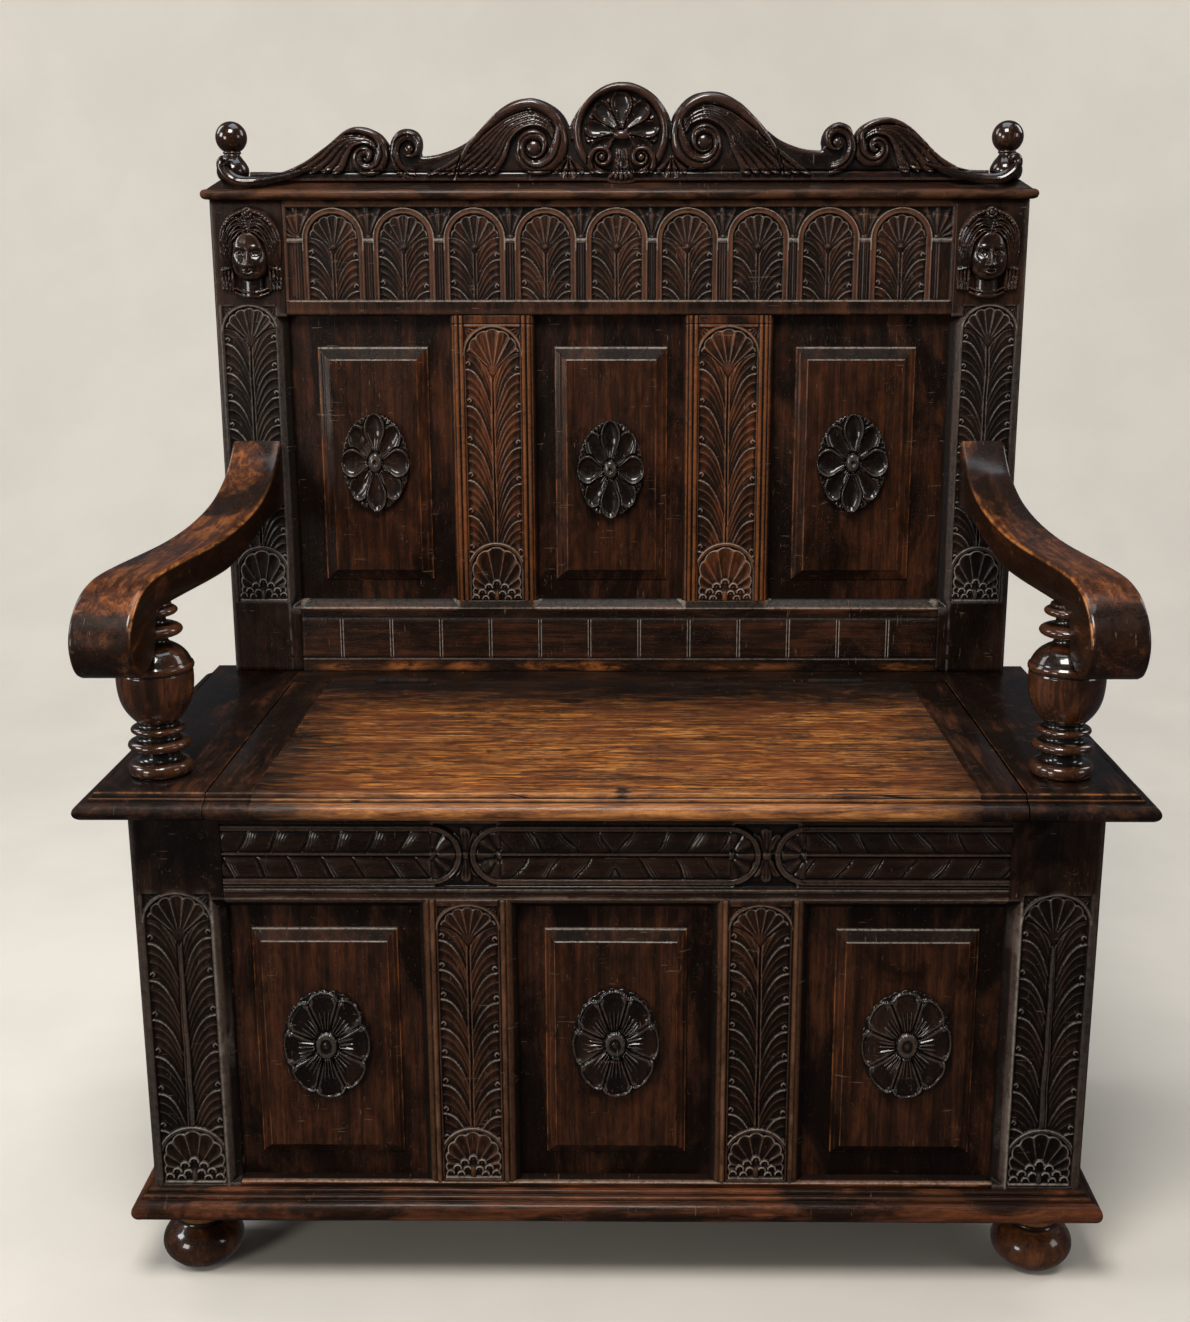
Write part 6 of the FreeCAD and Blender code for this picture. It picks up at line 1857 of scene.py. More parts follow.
CREST_TOP = [
    (-409.0, 1096.1), (-389.7, 1096.1), (-372.3, 1096.1), (-358.9, 1100.7),
    (-345.5, 1107.1), (-331.8, 1116.2), (-316.4, 1127.4), (-304.8, 1137.0),
    (-293.4, 1142.4), (-282.2, 1143.4), (-271.1, 1140.7), (-262.3, 1135.3),
    (-255.9, 1126.8), (-253.2, 1122.6), (-251.3, 1128.9), (-246.6, 1136.3),
    (-239.8, 1140.6), (-232.0, 1141.6), (-224.1, 1139.5), (-218.8, 1132.1),
    (-217.9, 1123.5), (-219.2, 1117.1), (-217.8, 1112.8), (-210.4, 1112.8),
    (-199.2, 1114.7), (-187.8, 1118.1), (-176.5, 1122.4), (-162.9, 1130.4),
    (-150.8, 1141.7), (-138.6, 1154.1), (-126.7, 1163.7), (-114.7, 1169.9),
    (-102.9, 1172.7), (-91.0, 1172.8), (-79.2, 1169.3), (-67.4, 1162.4),
    (-59.2, 1154.0), (-54.0, 1144.5), (-50.9, 1150.1), (-43.8, 1160.8),
    (-31.9, 1174.2), (-20.0, 1183.2), (-8.3, 1188.2), (3.5, 1190.0),
    (15.3, 1188.8), (29.0, 1183.4), (39.7, 1176.0), (48.5, 1166.4),
    (54.8, 1155.7), (57.4, 1149.2), (59.9, 1155.7), (67.3, 1165.8),
    (75.9, 1173.5), (85.9, 1178.3), (98.4, 1180.0), (110.8, 1179.4),
    (123.3, 1174.6), (133.5, 1168.1), (142.4, 1160.4), (152.5, 1150.2),
    (161.5, 1141.2), (174.6, 1131.3), (183.8, 1126.5), (193.0, 1123.0),
    (203.9, 1119.9), (221.5, 1118.2), (225.0, 1120.9), (224.2, 1126.9),
    (225.3, 1133.8), (228.7, 1140.7), (234.9, 1145.9), (243.0, 1147.8),
    (249.4, 1145.9), (255.0, 1141.6), (258.2, 1131.2), (259.7, 1133.8),
    (264.9, 1141.6), (273.7, 1148.0), (284.5, 1151.5), (296.1, 1152.3),
    (308.0, 1149.1), (319.8, 1142.6), (331.7, 1132.6), (341.3, 1122.7),
    (350.9, 1113.9), (361.6, 1106.7), (373.4, 1101.1), (385.0, 1098.1),
    (396.7, 1097.2), (409.0, 1097.2)]

BIG = dict(phi=[-112, -82, -60, -37, 0, 30, 50, 65, 90, 135, 180, 225, 270, 315, 360, 405, 450,
                495, 540, 630, 720],
           ro=[96, 70, 59.5, 55.5, 52.5, 46.5, 42.5, 40.5, 37.5, 32.5, 28.7, 23.5, 19.8, 20.2, 21.0,
               19.0, 14.6, 12.4, 11.0, 9.0, 8.4],
           ri=[92, 60, 47.5, 42, 39.0, 34.0, 30.0, 22.5, 15.2, 12.7, 11.4, 10.2, 9.3, 8.9, 8.6, 8.5,
               8.4, 8.3, 8.2, 8.2, 8.2])
SMALL = dict(phi=[-80, -50, 0, 30, 45, 65, 90, 135, 180, 225, 270, 315, 360, 405, 450, 495, 540,
                  600],
             ro=[56, 42, 32, 30.0, 28.8, 27.6, 26.5, 23.0, 20.0, 17.0, 15.0, 13.8, 12.8, 10.8, 8.4,
                 6.4, 4.8, 3.2],
             ri=[50, 34, 22.5, 20.0, 17.5, 11.5, 8.8, 6.8, 5.1, 3.8, 2.8, 1.8, 1.0, 0.4, 0, 0, 0,
                 0])
TINY = dict(phi=[165, 200, 235, 270, 315, 360, 405, 450, 495, 540, 630, 720],
            ro=[36, 30, 24.5, 21.0, 21.0, 21.5, 18.5, 13.8, 10.6, 8.6, 6.6, 5.4],
            ri=[22, 17, 12.5, 10.0, 9.4, 9.0, 7.4, 6.2, 5.6, 5.4, 5.2, 5.2])


def scroll(r, cx, cz, mir, K, sc=1.0, low=-7.0, high=0.4, eye=None, stretch_top=1.0):
    X, Z = r.X, r.Z
    u, v = mir * (X - cx) / sc, (Z - cz) / sc
    v = np.where(v > 0, v / stretch_top, v)
    rad = np.hypot(u, v)
    phi = np.degrees(np.arctan2(u, v))
    kp = np.array(K["phi"], float)
    out = r.H.copy()
    for n in range(-1, 3):
        p = phi + 360.0 * n
        ok = (p >= kp[0]) & (p <= kp[-1])
        ro = np.interp(p, kp, K["ro"])
        ri = np.interp(p, kp, K["ri"])
        half = (ro - ri) / 2
        t = (rad - (ro + ri) / 2) / np.maximum(half, 0.3)
        ins = ok & (np.abs(t) < 1)
        prof = np.sqrt(np.clip(1 - np.abs(t) ** 2.6, 0, 1))
        # the band sinks a little towards the eye and has two fine lines
        fade = np.clip((p - kp[0]) / 60.0, 0, 1)
        h = low + (high - low) * prof * (0.55 + 0.45 * fade) - 0.9 * np.clip(p / 720.0, 0, 1)
        h -= bead_line(np.abs(t + 0.62) * half, 0.55, 0.9) * (half > 4)
        # the broad part of the band is cut into two rolls
        h -= bead_line(np.abs(t - 0.10) * half, 1.3, 3.0) * sm((half - 4.6) / 1.5) \
            * sm((p - 30.0) / 50.0)
        out = np.where(ins, np.maximum(h, low + 0.5), out)
    e = max(eye or np.interp(720, kp, K["ri"]), 1e-3)
    d = rad / e
    disc = low + 1.2 + (high - low - 2.4) * np.sqrt(np.clip(1 - (d * 0.92) ** 2, 0, 1)) ** 0.8
    out = np.where(d < 1, np.maximum(disc, low), out)
    r.H = out


def sheaf(r, xs, zs, cx, cz, mir, inner, outer, n, low=-7.4, high=-0.6):
    """Ribs that lie side by side between two curves and end in rounded tips."""
    A, B = catmull(inner, 40), catmull(outer, 40)
    S = np.linspace(0, 1, 300)
    C = A[None] * (1 - S)[:, None, None] + B[None] * S[:, None, None]
    L = np.concatenate([np.zeros((len(S), 1)), np.cumsum(np.hypot(*np.diff(C, axis=1).T).T, 1)], 1)
    rest = L[:, -1:] - L
    wide = np.hypot(*np.gradient(C, S, axis=0).T).T / n / 2
    k = np.linspace(0, C.shape[1] - 1, C.shape[1] * 2)
    i0 = np.minimum(k.astype(int), C.shape[1] - 2)
    fr = k - i0

    def up(a):
        return a[:, i0] * (1 - fr) + a[:, i0 + 1] * fr

    x, z = cx + mir * up(C[..., 0]), cz + up(C[..., 1])
    rest, wide, first = up(rest), up(wide), up(L)
    dx, dz = xs[1] - xs[0], zs[1] - zs[0]
    i = np.round((x - xs[0]) / dx).astype(int)
    j = np.round((z - zs[0]) / dz).astype(int)
    ok = (i >= 0) & (i < len(xs)) & (j >= 0) & (j < len(zs))
    shape = r.X.shape
    sm_, rm, wm, fm = (np.full(shape, np.nan) for _ in range(4))
    sv = np.repeat(S[:, None], x.shape[1], 1)
    sm_[j[ok], i[ok]] = sv[ok]
    rm[j[ok], i[ok]] = rest[ok]
    wm[j[ok], i[ok]] = wide[ok]
    fm[j[ok], i[ok]] = first[ok]
    m = ~np.isnan(sm_)
    q = np.where(m, sm_, 0) * n
    idx = np.clip(np.floor(q), 0, n - 1)
    q = 2 * (q - idx) - 1
    w = np.where(m, wm, 1.0)
    rest = np.where(m, rm, 0.0) - 1.6 * (idx % 2)
    e = np.clip(rest / np.maximum(1.25 * w, 0.5), 0, 1)
    span = np.sqrt(np.clip(1 - (1 - e) ** 2, 0.0, 1))
    a = np.abs(q) / np.maximum(span, 1e-3)
    prof = np.sqrt(np.clip(1 - a ** 2.4, 0, 1))
    inside = m & (a < 1) & (rest > 0)
    deep = np.clip(w / 4.0, 0.25, 1)
    h = low + (high - low) * (1 - 0.62 * deep + 0.62 * deep * prof)
    h += 0.35 * (-1) ** idx
    for qq in (-0.45, 0.0, 0.42):
        h -= 0.75 * np.clip(1 - np.abs(q - qq) * w / 0.55, 0, 1) * sm((w - 1.6) / 1.0) \
            * sm((rest - 5.5) / 5.0)
    # spoon ends
    h += 0.9 * np.exp(-((rest - 3.0) / 2.6) ** 2) - 1.3 * np.exp(-((rest - 8.0) / 2.6) ** 2) \
        * np.clip(1 - q * q, 0, 1)
    h -= 1.2 * np.clip((20 - np.where(m, fm, 99)) / 20, 0, 1)
    r.H = np.where(inside, h, np.where(m, np.minimum(r.H, low - 0.6), r.H))
    return m


def polar(*pairs):
    return [(p * math.sin(math.radians(a)), p * math.cos(math.radians(a))) for a, p in pairs]


def crest():
    xs = ticks(-410.0, 410.0, FINE)
    zs = ticks(1083.0, 1190.6, FINE)
    r = Relief.grid(xs, zs, -8.0)
    X, Z = r.X, r.Z
    top = catmull(CREST_TOP, 5)
    low = [(409.0, 1086.6), (60, 1086.6), (19, 1086.6), (15.5, 1084.4), (9, 1083.4), (2.5, 1083.1),
           (-4, 1083.4), (-10, 1084.4), (-14, 1086.6), (-60, 1086.6), (-409.0, 1086.6)]
    poly = np.vstack([np.array(low), top])
    inside = inside_poly(X, Z, poly)
    wear = np.zeros_like(X)

    # acanthus ribs that leave each scroll and end in rounded tips
    for cx, cz, mir, lo in ((-93.6, 1120.7, 1, -29.0), (94.1, 1126.9, -1, -35.0)):
        sheaf(r, xs, zs, cx, cz, mir,
              polar((64, 23.0), (35, 24.0), (0, 24.0), (-38, 24.0), (-70, 26.0))
              + [(-30.0, -8.0), (-36.0, -19.0), (-43.0, lo)],
              polar((64, 29.5), (35, 34.5), (0, 39.5), (-38, 42.5), (-62, 49.0))
              + [(-64.0, 7.0), (-92.0, -13.0), (-122.0, lo)], 7)
    for cx, cz, mir, lo in ((-279.7, 1111.0, 1, -18.0), (283.0, 1120.6, -1, -27.0)):
        sheaf(r, xs, zs, cx, cz, mir,
              polar((62, 15.5), (30, 15.0), (0, 15.2), (-45, 16.5), (-80, 18.0))
              + [(-22.0, -8.0), (-28.0, lo)],
              polar((62, 18.5), (30, 20.5), (0, 23.0), (-45, 33.5), (-66, 44.0))
              + [(-64.0, 1.0), (-96.0, lo + 2.0)], 5)
    scroll(r, -93.6, 1120.7, 1, BIG)
    scroll(r, 94.1, 1126.9, -1, BIG, 1.0)
    scroll(r, -279.7, 1111.0, 1, SMALL)
    scroll(r, 283.0, 1120.6, -1, SMALL)
    scroll(r, -231.4, 1119.4, 1, TINY)
    scroll(r, 240.3, 1126.3, -1, TINY)

    # ring with the shell
    cx, cz = 2.6, 1137.2
    u, v = X - cx, Z - cz
    rad = np.hypot(u, v)
    well = rad < 45
    r.H = np.where(rad < 54.5, -8.0, r.H)
    bx, bz = X - 3.0, Z - 1136.0
    sh = np.full(X.shape, -8.5)
    for a, L, hw in ((0.38, 40, 4.2), (1.12, 40, 4.0), (1.72, 40, 3.6)):
        for s in (-1, 1):
            hh, ins, p, q = petal(bx, bz, s * a, 6, L, hw, 3.8, 0.9, 0.5)
            rib = np.clip(1 - q / 0.35, 0, 1) * 1.2
            sh = np.where(ins & well, np.maximum(sh, -8.3 + hh + rib), sh)
    for a, L, hw in ((2.10, 38.0, 9.6), (1.42, 41.5, 10.2), (0.74, 42.5, 11.4), (0.0, 43.8, 13.2)):
        for s in ((-1, 1) if a else (1,)):
            hh, ins, p, q = petal(bx, bz, s * a, 5.0, L, hw, 0.0, 1.0, 0.22, 1.0)
            bell = np.clip((p - L * 0.25) / (L * 0.4), 0, 1) * np.clip((L - p) / (L * 0.12), 0, 1)
            hol = bell ** 0.7 * 3.0 * np.clip(1 - (q / 0.8) ** 2, 0, 1)
            rim = 2.6 * np.exp(-((q - 0.82) / 0.14) ** 2)
            flute = np.clip(1 - np.abs(q - 0.40) / 0.14, 0, 1) * 0.9 * (p < L * 0.55)
            val = -8.0 + (5.2 + rim - hol + flute) * sm((1 - q) * 6 + 0.1)
            sh = np.where(ins & well, val, sh)
    r.H = np.where(well & (rad < 54), np.maximum(sh, -8.5), r.H)
    t = (rad - 48.2) / 4.6
    ring = -7.5 + 8.4 * np.sqrt(np.clip(1 - np.abs(t) ** 2.4, 0, 1))
    arc = (np.abs(t) < 1) & ((Z > 1094) | (np.abs(u) > 26))
    r.H = np.where(arc, ring, r.H)
    lip = (rad >= 52.6) & (rad < 56) & (Z > 1130)
    r.H = np.where(lip, np.maximum(r.H, -4.0), r.H)
    # boss over a dark hollow
    hollow = np.hypot((X - 3.2) / 11.0, (Z - 1125.5) / 7.5) < 1
    r.H = np.where(hollow, -10.5, r.H)
    d = np.hypot((X - 3.4) / 9.5, (Z - 1134.6) / 5.4)
    r.H = np.where(d < 1, -4.0 + 4.6 * np.sqrt(np.clip(1 - d * d, 0, 1)), r.H)
    # trunk, its leaf tips and two volutes
    for i, k in enumerate((-2, -1, 0, 1, 2)):
        P = [(3.2 + k * 2.6, 1119.0), (3.0 + k * 2.9, 1108.0), (2.8 + k * 3.6, 1097.0),
             (2.6 + k * 5.6, 1089.0 + abs(k) * 0.9)]
        r.stroke(P, [2.0, 2.2, 2.6, 3.3], [6.2, 6.6, 7.2, 7.0], base=-7.0)
        r.stroke(P, [0.4, 0.5, 0.5, 0.4], [0.8, 1.2, 1.4, 0.6], "v", "sub")
    for s, ex, ez in ((-1, -18.5, 1111.2), (1, 24.6, 1111.2)):
        V_ = dict(phi=[-150, -100, -60, 0, 60, 120, 180, 270, 360, 450],
                  ro=[22, 17.5, 14.6, 12.2, 11.4, 11.8, 10.4, 7.8, 6.2, 5.4],
                  ri=[13.5, 9.5, 7.9, 6.6, 5.9, 5.6, 5.1, 4.6, 4.4, 4.3])
        scroll(r, ex, ez, -s, V_, 1.0, -7.0, 1.0, eye=4.3)
    # small leaf sprays between the ring and the big scrolls
    for sx, s in ((-55.0, -1), (58.5, 1)):
        for a in (-0.75, -0.25, 0.25, 0.75):
            hh, ins, p, q = petal(X - sx, -(Z - 1112.0), a, 1.0, 24.0, 3.4, 3.2, 0.8, 0.3)
            rib = np.clip(1 - q / 0.4, 0, 1) * 1.4
            r.H = np.where(ins & (Z > 1086) & (r.H < -6.5), np.maximum(r.H, -8 + hh + rib), r.H)
    # base line
    r.H = np.where((Z < 1089.4) & (r.H < -4.0), -4.2, r.H)
    # round off towards the outline so that the roll turns over the top
    near, dist = nearest_on(poly[len(low):], np.stack([X[inside], Z[inside]], -1))
    dd = np.full(X.shape, 99.0)
    dd[inside] = dist
    turn = np.clip(1 - dd / 3.4, 0, 1)
    r.H -= 3.6 * (1 - np.sqrt(np.clip(1 - turn ** 2, 0, 1)))
    r.H += wob(X, Z, 91, 60.0, 0.25)
    ob = trimmed("carved_crest", X, Z, r.H, inside, poly, 428.5, 455.0, reach=1.6 * FINE / 0.9,
                 attrs={"wear": wear}, mat="crest", slot="oak_carved", nodes=("crest",))
    # tails that curl up outside the finials
    for s in (-1, 1):
        dz = 0.0 if s < 0 else 2.0
        path = catmull([(338.0, 1099.5 + 2.2 * dz), (352.0, 1096.0 + 1.8 * dz),
                        (368.0, 1091.5 + 1.2 * dz), (386.0, 1088.0 + dz), (403.0, 1085.6 + dz),
                        (419.0, 1086.0 + dz), (429.0, 1090.8 + dz), (435.6, 1098.0 + dz),
                        (437.2, 1104.6 + dz), (434.4, 1108.4 + dz), (430.6, 1107.0 + dz),
                        (431.6, 1103.4 + dz)], 9)
        m = len(path)
        w = np.interp(np.linspace(0, 1, m), [0, 0.12, 0.35, 0.6, 0.8, 0.92, 1],
                      [1.6, 3.4, 5.2, 5.6, 4.8, 3.6, 2.6])
        dpt = np.interp(np.linspace(0, 1, m), [0, 0.3, 0.5, 0.8, 1], [3.0, 4.2, 4.8, 4.6, 3.6])
        yc = np.interp(np.linspace(0, 1, m), [0, 0.35, 0.5, 1], [430.6, 427.0, 424.0, 424.0])
        tan = np.gradient(path, axis=0)
        tan /= np.linalg.norm(tan, axis=1)[:, None]
        nor = np.stack([-tan[:, 1], tan[:, 0]], -1)
        A = np.linspace(0, 2 * PI, 28, endpoint=False)
        rings = []
        for k in range(m):
            flute = 1 + 0.09 * np.cos(A * 8)
            x = path[k, 0] + nor[k, 0] * w[k] * np.cos(A) * flute
            z = path[k, 1] + nor[k, 1] * w[k] * np.cos(A) * flute
            y = yc[k] - dpt[k] * np.sin(A) * flute
            rings.append(np.stack([s * x, y, z], -1))
        tube("crest_tail_" + ("left" if s < 0 else "right"), rings, "crest", "crest", "oak_carved")


# ----------------------------------------------------------------- mask heads
def mask(side):
    s = -1 if side == "left" else 1
    c = s * 411.0
    pitch = 0.55
    xs = ticks(c - 38.5, c + 38.5, pitch)
    zs = ticks(954.0, 1063.0, pitch)
    r = Relief.grid(xs, zs, 0.0)
    X, Z = r.X, r.Z
    u, v = X - c, Z - 1008.0                 # v from the line of the eyes

    def bump(x, z, a, b, h):
        return h * np.exp(-((u - x) / a) ** 2 - ((v - z) / b) ** 2)

    # the bulk of the hair, then the neck
    hair = np.hypot(u / 34.5, (v - 14.0) / 38.0)
    H = 13.0 * np.sqrt(np.clip(1 - hair ** 2, 0, 1))
    neck = np.clip(1 - (u / 13.5) ** 2, 0, 1)
    H = np.where((v < -22) & (v > -47), np.maximum(H, 9.5 * np.sqrt(neck)), H)
    # the face: an egg with its small end at the chin
    W = np.where(v > -2, 21.0 - 0.0045 * np.clip(v + 2, 0, 60) ** 2, 21.0 - 0.0105 * (v + 2) ** 2)
    lo = np.clip((v + 29.5) / 11.0, 0, 1)
    W = W * np.sqrt(np.clip(1 - (1 - lo) ** 2, 0, 1))
    k = np.clip(np.abs(u) / np.maximum(W, 0.1), 0, 1)
    dome = np.sqrt(np.clip(1 - k ** 2.3, 0, 1))
    mid = 21.0 - 0.0035 * (v - 4) ** 2 * (v > 4) - 0.0030 * (v + 6) ** 2 * (v < -6)
    mid = mid * np.sqrt(np.clip(1 - (1 - np.clip((v + 29.5) / 7.0, 0, 1)) ** 2, 0, 1))
    F = 8.0 + (mid - 8.0) * dome
    # brow, sockets and eyes
    for j in (-1, 1):
        F += bump(j * 8.0, 7.0, 6.0, 2.2, 1.1)
        F -= bump(j * 8.2, 0.2, 5.0, 3.4, 3.3)
        F -= bump(j * 3.6, 1.2, 1.8, 3.0, 1.2)
        d = np.hypot((u - j * 8.1) / 4.9, (v + 0.2) / 3.1)
        F += np.where(d < 1, 2.4 * np.sqrt(np.clip(1 - d * d, 0, 1)), 0)
        # cheeks, folds and temples
        F += bump(j * 11.0, -10.0, 5.5, 5.5, 1.5)
        F -= bump(j * 17.5, 4.0, 3.0, 6.0, 0.8)
        F -= bump(j * 12.5, -19.0, 3.5, 4.5, 0.9)
    # nose
    wn = np.interp(v, [-14, -11, -6, 0, 6], [3.6, 3.4, 2.5, 2.0, 2.6])
    hn = np.interp(v, [-16.2, -14.2, -12.2, -9, -3, 2, 7], [0.0, 3.4, 6.4, 5.4, 3.6, 2.0, 0.4])
    F += hn * np.exp(-(u / wn) ** 2)
    for j in (-1, 1):
        F += bump(j * 3.9, -12.6, 1.5, 1.7, 2.3)
        F -= bump(j * 1.8, -14.9, 0.9, 0.7, 1.2)
    # mouth and chin
    F += bump(0, -19.4, 7.0, 4.2, 1.3)
    F -= bump(0, -16.6, 0.9, 1.4, 0.7)
    F -= bump(0, -23.9, 4.6, 1.3, 1.2)
    F += bump(0, -27.0, 5.0, 3.0, 1.5)
    r.H = F
    for j in (-1, 1):
        ex, ez = c + j * 8.1, 1007.8
        r.stroke([(ex - j * 5.3, ez - 0.6), (ex - j * 2.0, ez + 2.0), (ex + j * 1.8, ez + 2.2),
                  (ex + j * 5.4, ez - 0.4)], [0.55, 0.85, 0.9, 0.5], [0.5, 1.1, 1.1, 0.5], "soft", "add")
        r.stroke([(ex - j * 4.9, ez + 1.4), (ex - j * 1.6, ez + 3.7), (ex + j * 2.2, ez + 3.9),
                  (ex + j * 5.8, ez + 1.6)], [0.5, 0.7, 0.7, 0.4], [0.5, 0.9, 0.9, 0.3], "soft", "sub")
        r.stroke([(ex - j * 4.8, ez - 1.0), (ex, ez - 2.7), (ex + j * 5.0, ez - 0.9)],
                 [0.5, 0.75, 0.5], [0.4, 0.8, 0.4], "soft", "add")
        d = np.hypot(X - ex, Z - ez + 0.2) / 1.15
        r.H -= np.where(d < 1, 0.55 * (1 - d * d), 0)
    r.stroke([(c - 6.0, 989.2), (c - 2.4, 990.9), (c, 990.2), (c + 2.4, 990.9), (c + 6.0, 989.2)],
             [0.6, 1.15, 1.0, 1.15, 0.6], [0.5, 1.4, 1.2, 1.4, 0.5], "soft", "add")
    r.stroke([(c - 4.8, 987.9), (c, 986.5), (c + 4.8, 987.9)], [0.8, 1.6, 0.8], [0.5, 1.6, 0.5],
             "soft", "add")
    r.stroke([(c - 6.4, 989.0), (c - 2.4, 988.9), (c, 988.5), (c + 2.4, 988.9), (c + 6.4, 989.0)],
             [0.45, 0.6, 0.6, 0.6, 0.45], [0.7, 1.3, 1.3, 1.3, 0.7], "v", "sub")
    F = r.H
    # hairline: from the middle of the forehead down past the temples
    line = 22.5 - 0.030 * u ** 2 - 0.00012 * u ** 4
    face = (v < line) & (k < 0.985) & (v > -29.4) & (np.abs(u) < 19.6)
    r.H = np.where(face, F, H)
    # wavy locks, parted in the middle and swept back over the ears
    rs = np.random.RandomState(7)
    for j in (-1, 1):
        for i in range(7):
            x0, z0 = 0.8 + 0.9 * i, 1029.5 + 3.3 * i
            wv = 1.2 * (-1) ** i
            P = [(c + j * x0, z0 + 0.5), (c + j * (7.5 + 1.4 * i), z0 + 1.4 + wv * 0.5),
                 (c + j * (14.0 + 1.9 * i), z0 - 3.2 - 0.6 * i - wv * 0.6),
                 (c + j * (18.6 + 2.1 * i), 1019.0 + 1.6 * i + wv),
                 (c + j * (20.6 + 2.0 * i), 1010.0 + 0.8 * i - wv),
                 (c + j * (21.2 + 1.8 * i + rs.uniform(-0.4, 0.4)), 1001.0),
                 (c + j * (20.2 + 1.8 * i), 993.0 - 0.8 * i)]
            b = 17.5 - 1.45 * i
            r.stroke(P, [2.0, 2.6, 2.9, 2.8, 2.6, 2.4, 1.5],
                     [b + 0.6, b + 1.6, b + 0.6, b - 1.6, b - 3.4, b - 4.6, b - 6.4], base=0.0, sample=9)
            for o in (-0.9, 0.9):
                Q = [(a_ + j * o * 0.6, b_ + o) for a_, b_ in P]
                r.stroke(Q, [0.55] * 4, [0.9, 1.2, 1.1, 0.5], "v", "sub", sample=9)
        # tassels that hang beside the neck
        for i in range(4):
            x0 = 20.5 + 4.0 * i
            P = [(c + j * x0, 994.5 - 1.0 * i), (c + j * (x0 + 0.6), 985.0),
                 (c + j * (x0 + 0.4 - 0.3 * i), 975.0), (c + j * (x0 + 0.6 - 0.5 * i), 968.5 + 0.5 * i)]
            r.stroke(P, [1.8, 2.1, 2.4, 2.2], [8.0 - 0.9 * i, 7.4 - 0.8 * i, 7.0 - 0.7 * i, 6.0], base=0.0)
            r.stroke(P, [0.5, 0.5, 0.6, 0.5], [0.8, 1.2, 1.3, 0.8], "v", "sub")
        r.stroke([(c + j * 19.5, 993.5), (c + j * 33.0, 990.0)], [2.2, 2.0], [8.6, 5.6], base=0.0)
    # band across the hair with a round ornament
    P = [(c - 29.0, 1036.0), (c - 17.5, 1048.5), (c, 1054.0), (c + 17.5, 1048.5), (c + 29.0, 1036.0)]
    r.stroke(P, [2.6, 3.4, 3.8, 3.4, 2.6], [9.0, 11.4, 12.8, 11.4, 9.0], "round", base=0.0)
    band = catmull(P, 8)
    for i in range(2, len(band) - 2, 2):
        x, z = band[i]
        if abs(x - c) < 7.5:
            continue
        d = np.hypot(X - x, Z - z) / 2.3
        r.H += np.where(d < 1, 1.8 * np.sqrt(np.clip(1 - d * d, 0, 1)), 0)
    # short strands above the band
    for i in range(-6, 7):
        a = i * 0.19
        x1, z1 = c + 30.5 * math.sin(a * 1.15), 1021.0 + 38.0 * math.cos(a * 1.15)
        x0, z0 = c + 24.5 * math.sin(a * 1.15), 1021.0 + 32.5 * math.cos(a * 1.15)
        r.stroke([(x0, z0), ((x0 + x1) / 2 + 0.8, (z0 + z1) / 2), (x1, z1)], [1.9, 1.9, 1.5],
                 [8.4, 6.8, 3.6], base=0.0)
    d = np.hypot(X - c, Z - 1052.0)
    rose = 12.0 + 3.2 * np.sqrt(np.clip(1 - (d / 6.6) ** 2, 0, 1)) \
        - 1.8 * np.clip(1 - np.abs(d - 3.3) / 0.9, 0, 1) \
        + 0.6 * np.cos(6 * np.arctan2(X - c, Z - 1052.0)) * (d > 3.6)
    r.H = np.where(d < 6.6, np.maximum(rose, 0), r.H)
    # collar
    for z, w_, h_ in ((966.0, 2.2, 10.0), (961.2, 2.6, 8.6)):
        r.stroke([(c - 18.5, z + 4.4), (c - 9.0, z + 0.8), (c, z - 0.3), (c + 9.0, z + 0.8),
                  (c + 18.5, z + 4.4)], [w_ * 0.7, w_, w_, w_, w_ * 0.7],
                 [h_ * 0.6, h_ * 0.9, h_, h_ * 0.9, h_ * 0.6], base=0.0)
    H = r.H
    H = H * 0.8 + blur(H, 1) * 0.2
    inside = H > 0.7
    H = np.where(inside, H, 0.2)
    # the edge lies in the post, so there is no outline to draw it onto
    poly = [(c - 60, 900), (c + 60, 900), (c + 60, 901), (c - 60, 901)]
    return trimmed("carved_mask_" + side, X, Z, H, inside, poly, 431.0, 431.9, reach=0.001,
                   cav_r=2.0, cav_gain=1.1, mat="mask", slot="oak_carved",
                   nodes=("mask_" + side,))


# ------------------------------------------------------------ make everything
for side in ("left", "right"):
    front_post(side)
    front_muntin(side)
    upper_post(side)
    upper_muntin(side)
    arm(side)
    mask(side)
top_rail()
bottom_rail()
frieze()
back_rail()
rosettes("lower_rosettes", ((-282.0, 259.0, 89.0, 118.0), (-0.5, 261.0, 88.0, 118.0),
                            (283.0, 260.5, 91.0, 118.0)), 7.0, 9.5, "ribbed", "front_rosettes")
rosettes("upper_rosettes", ((-280.5, 774.0, 79.0, 115.0), (-9.7, 766.0, 77.0, 114.0),
                            (268.5, 774.0, 82.0, 114.0)), 438.0, 12.0, "spoon", "back_rosettes")
seat()
base_moulding()
cornice()
supports()
finials()
feet()
crest()
for side in ("left", "right"):
    softened("box_back_post_" + side, "back_post_" + side, "plain_z", 1.2)
    softened("box_side_top_rail_" + side, "side_top_rail_" + side, "side", 1.2)
    softened("box_side_bottom_rail_" + side, "side_bottom_rail_" + side, "side", 1.2)
    softened("box_side_panel_" + side, "side_panel_" + side, "panel", 0.8)
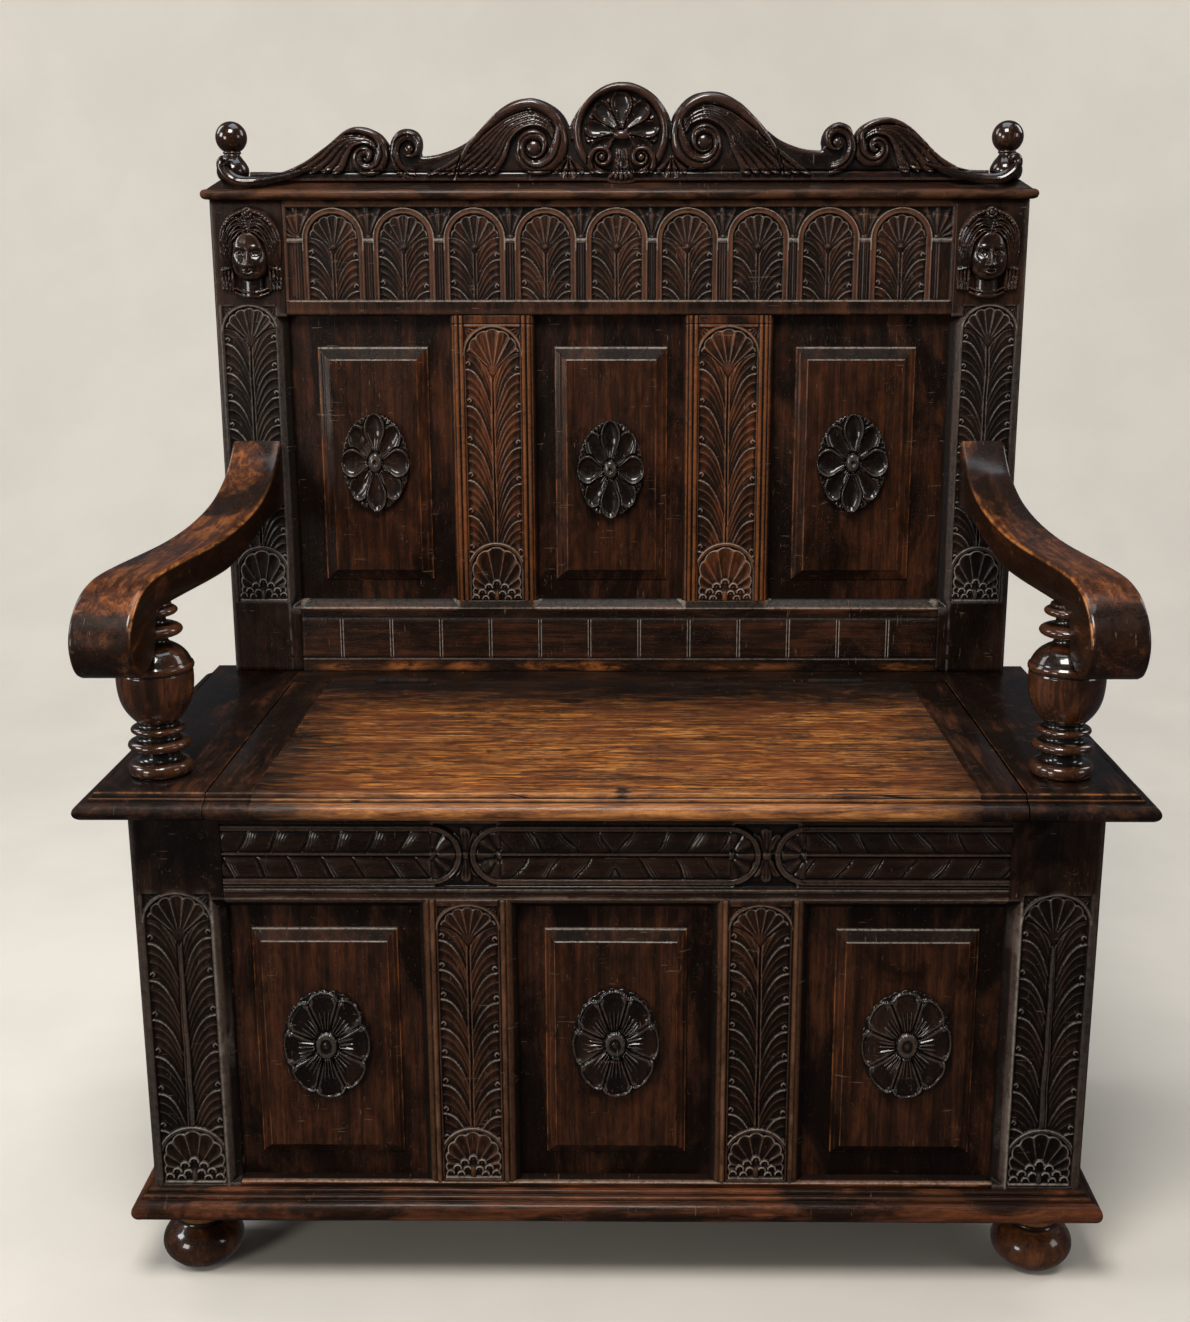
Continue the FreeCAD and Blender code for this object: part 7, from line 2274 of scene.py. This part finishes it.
for side in ("left", "centre", "right"):
    i = ("left", "centre", "right").index(side)
    a, b = ((-373.0, -188.3), (-95.0, 93.0), (184.0, 373.0))[i]
    oa, ob_ = ((-351.5, -211.0), (-68.4, 68.3), (212.5, 349.5))[i]
    panel("raised_front_panel_" + side, "front_panel_" + side, a, b, 113.0, 401.0, 14.0, 22.0,
          (oa, ob_, 139.5, 377.5), (oa + 9.0, ob_ - 9.0, 148.5, 366.0), 7.0, 200 + i)
    a, b = ((-374.0, -191.5), (-95.0, 73.5), (175.0, 374.0))[i]
    oa, ob_ = ((-343.0, -218.0), (-73.0, 55.0), (202.0, 337.5))[i]
    panel("raised_back_panel_" + side, "back_panel_" + side, a, b, 612.0, 940.0, 444.0, 452.0,
          (oa, ob_, 636.0, 904.0), (oa + 12.5, ob_ - 12.5, 647.0, 890.5), 6.0, 210 + i)
softened("box_rear_top_rail", "rear_top_rail", "plain_x", 1.2)
softened("box_rear_bottom_rail", "rear_bottom_rail", "plain_x", 1.2)
softened("box_rear_boards", "rear_boards", "plain_z", 0.8)
softened("box_bottom_board", "bottom_board", "plain_x", 1.0)
softened("seat_back_strip", "hinge_rail", "rail_seat", 1.0)
softened("oak_pegs", "joint_pegs", "frame_z", 0.5)
for node in ("hinge_leaves_fixed", "hinge_pins", "hinge_screws_fixed"):
    softened("iron_" + node, node, "iron", 0.25)
for node in ("hinge_leaves_lid", "hinge_screws_lid"):
    softened("iron_" + node, node, "iron", 0.25, body="lid")

# --------------------------------------------------------------- floor, lights
def sweep_floor():
    ys = [-6.0, 1.6] + [1.6 + 1.6 * math.sin(a) for a in np.linspace(0.1, PI / 2, 14)]
    zs = [0.0, 0.0] + [1.6 - 1.6 * math.cos(a) for a in np.linspace(0.1, PI / 2, 14)]
    ys.append(ys[-1])
    zs.append(5.0)
    me = bpy.data.meshes.new("studio_floor")
    v = [(x, y, z) for y, z in zip(ys, zs) for x in (-7.0, 7.0)]
    f = [(2 * i, 2 * i + 1, 2 * i + 3, 2 * i + 2) for i in range(len(ys) - 1)]
    me.from_pydata(v, [], f)
    me.polygons.foreach_set("use_smooth", [True] * len(f))
    ob = bpy.data.objects.new("studio_floor", me)
    bpy.context.scene.collection.objects.link(ob)
    me.materials.append(plain("studio_floor", (0.62, 0.585, 0.53), 0.8, 3.0))
    ob.visible_glossy = False


sweep_floor()


def area(name, loc, target, size, power, colour, size_y=None):
    L = bpy.data.lights.new(name, "AREA")
    L.shape = "RECTANGLE"
    L.size = size
    L.size_y = size_y or size
    L.energy = power
    L.color = colour
    ob = bpy.data.objects.new(name, L)
    ob.location = loc
    ob.rotation_euler = (Vector(target) - Vector(loc)).to_track_quat("-Z", "Y").to_euler()
    bpy.context.scene.collection.objects.link(ob)
    return ob


area("key", (-0.25, -1.25, 2.60), (0, 0.05, 0.62), 0.85, 62.0, (1.0, 0.96, 0.90))
area("left", (-2.6, -0.7, 1.75), (0, 0.1, 0.65), 0.8, 32.0, (0.92, 0.96, 1.0))
area("fill", (-2.1, -2.2, 0.95), (0, 0.0, 0.50), 0.8, 26.0, (1.0, 0.95, 0.88))
area("top", (0.1, 0.35, 3.3), (0, 0.15, 0.5), 1.6, 26.0, (0.82, 0.91, 1.0))
area("right", (2.7, -1.2, 1.5), (0, 0.1, 0.6), 0.9, 11.0, (1.0, 0.95, 0.9))
area("backdrop_left", (-2.6, 1.2, 2.6), (-0.6, 3.0, 1.0), 1.6, 42.0, (1.0, 0.98, 0.95))
area("backdrop_right", (2.6, 1.2, 2.6), (0.6, 3.0, 1.0), 1.6, 42.0, (1.0, 0.98, 0.95))

world = bpy.data.worlds.new("studio")
world.use_nodes = True
bg = world.node_tree.nodes.get("Background")
bg.inputs[0].default_value = (0.75, 0.80, 0.90, 1.0)
bg.inputs[1].default_value = 0.07
bpy.context.scene.world = world

# --------------------------------------------------------------------- camera
cam_data = bpy.data.cameras.new("camera")
cam_data.lens = 45.236
cam_data.sensor_width = 36.0
cam_data.shift_x = -0.01758
cam_data.clip_start = 0.05
cam_data.clip_end = 60.0
cam = bpy.data.objects.new("camera", cam_data)
cam.matrix_world = Matrix.Translation((0.014676, -1.679048, 1.013926)) \
    @ Matrix.Rotation(math.radians(0.4701), 4, "Z") \
    @ Matrix.Rotation(math.radians(76.0375), 4, "X") @ Matrix.Rotation(-0.000863, 4, "Z")
bpy.context.scene.collection.objects.link(cam)
bpy.context.scene.camera = cam
bpy.context.scene.view_settings.view_transform = "Standard"
bpy.context.scene.view_settings.look = "None"
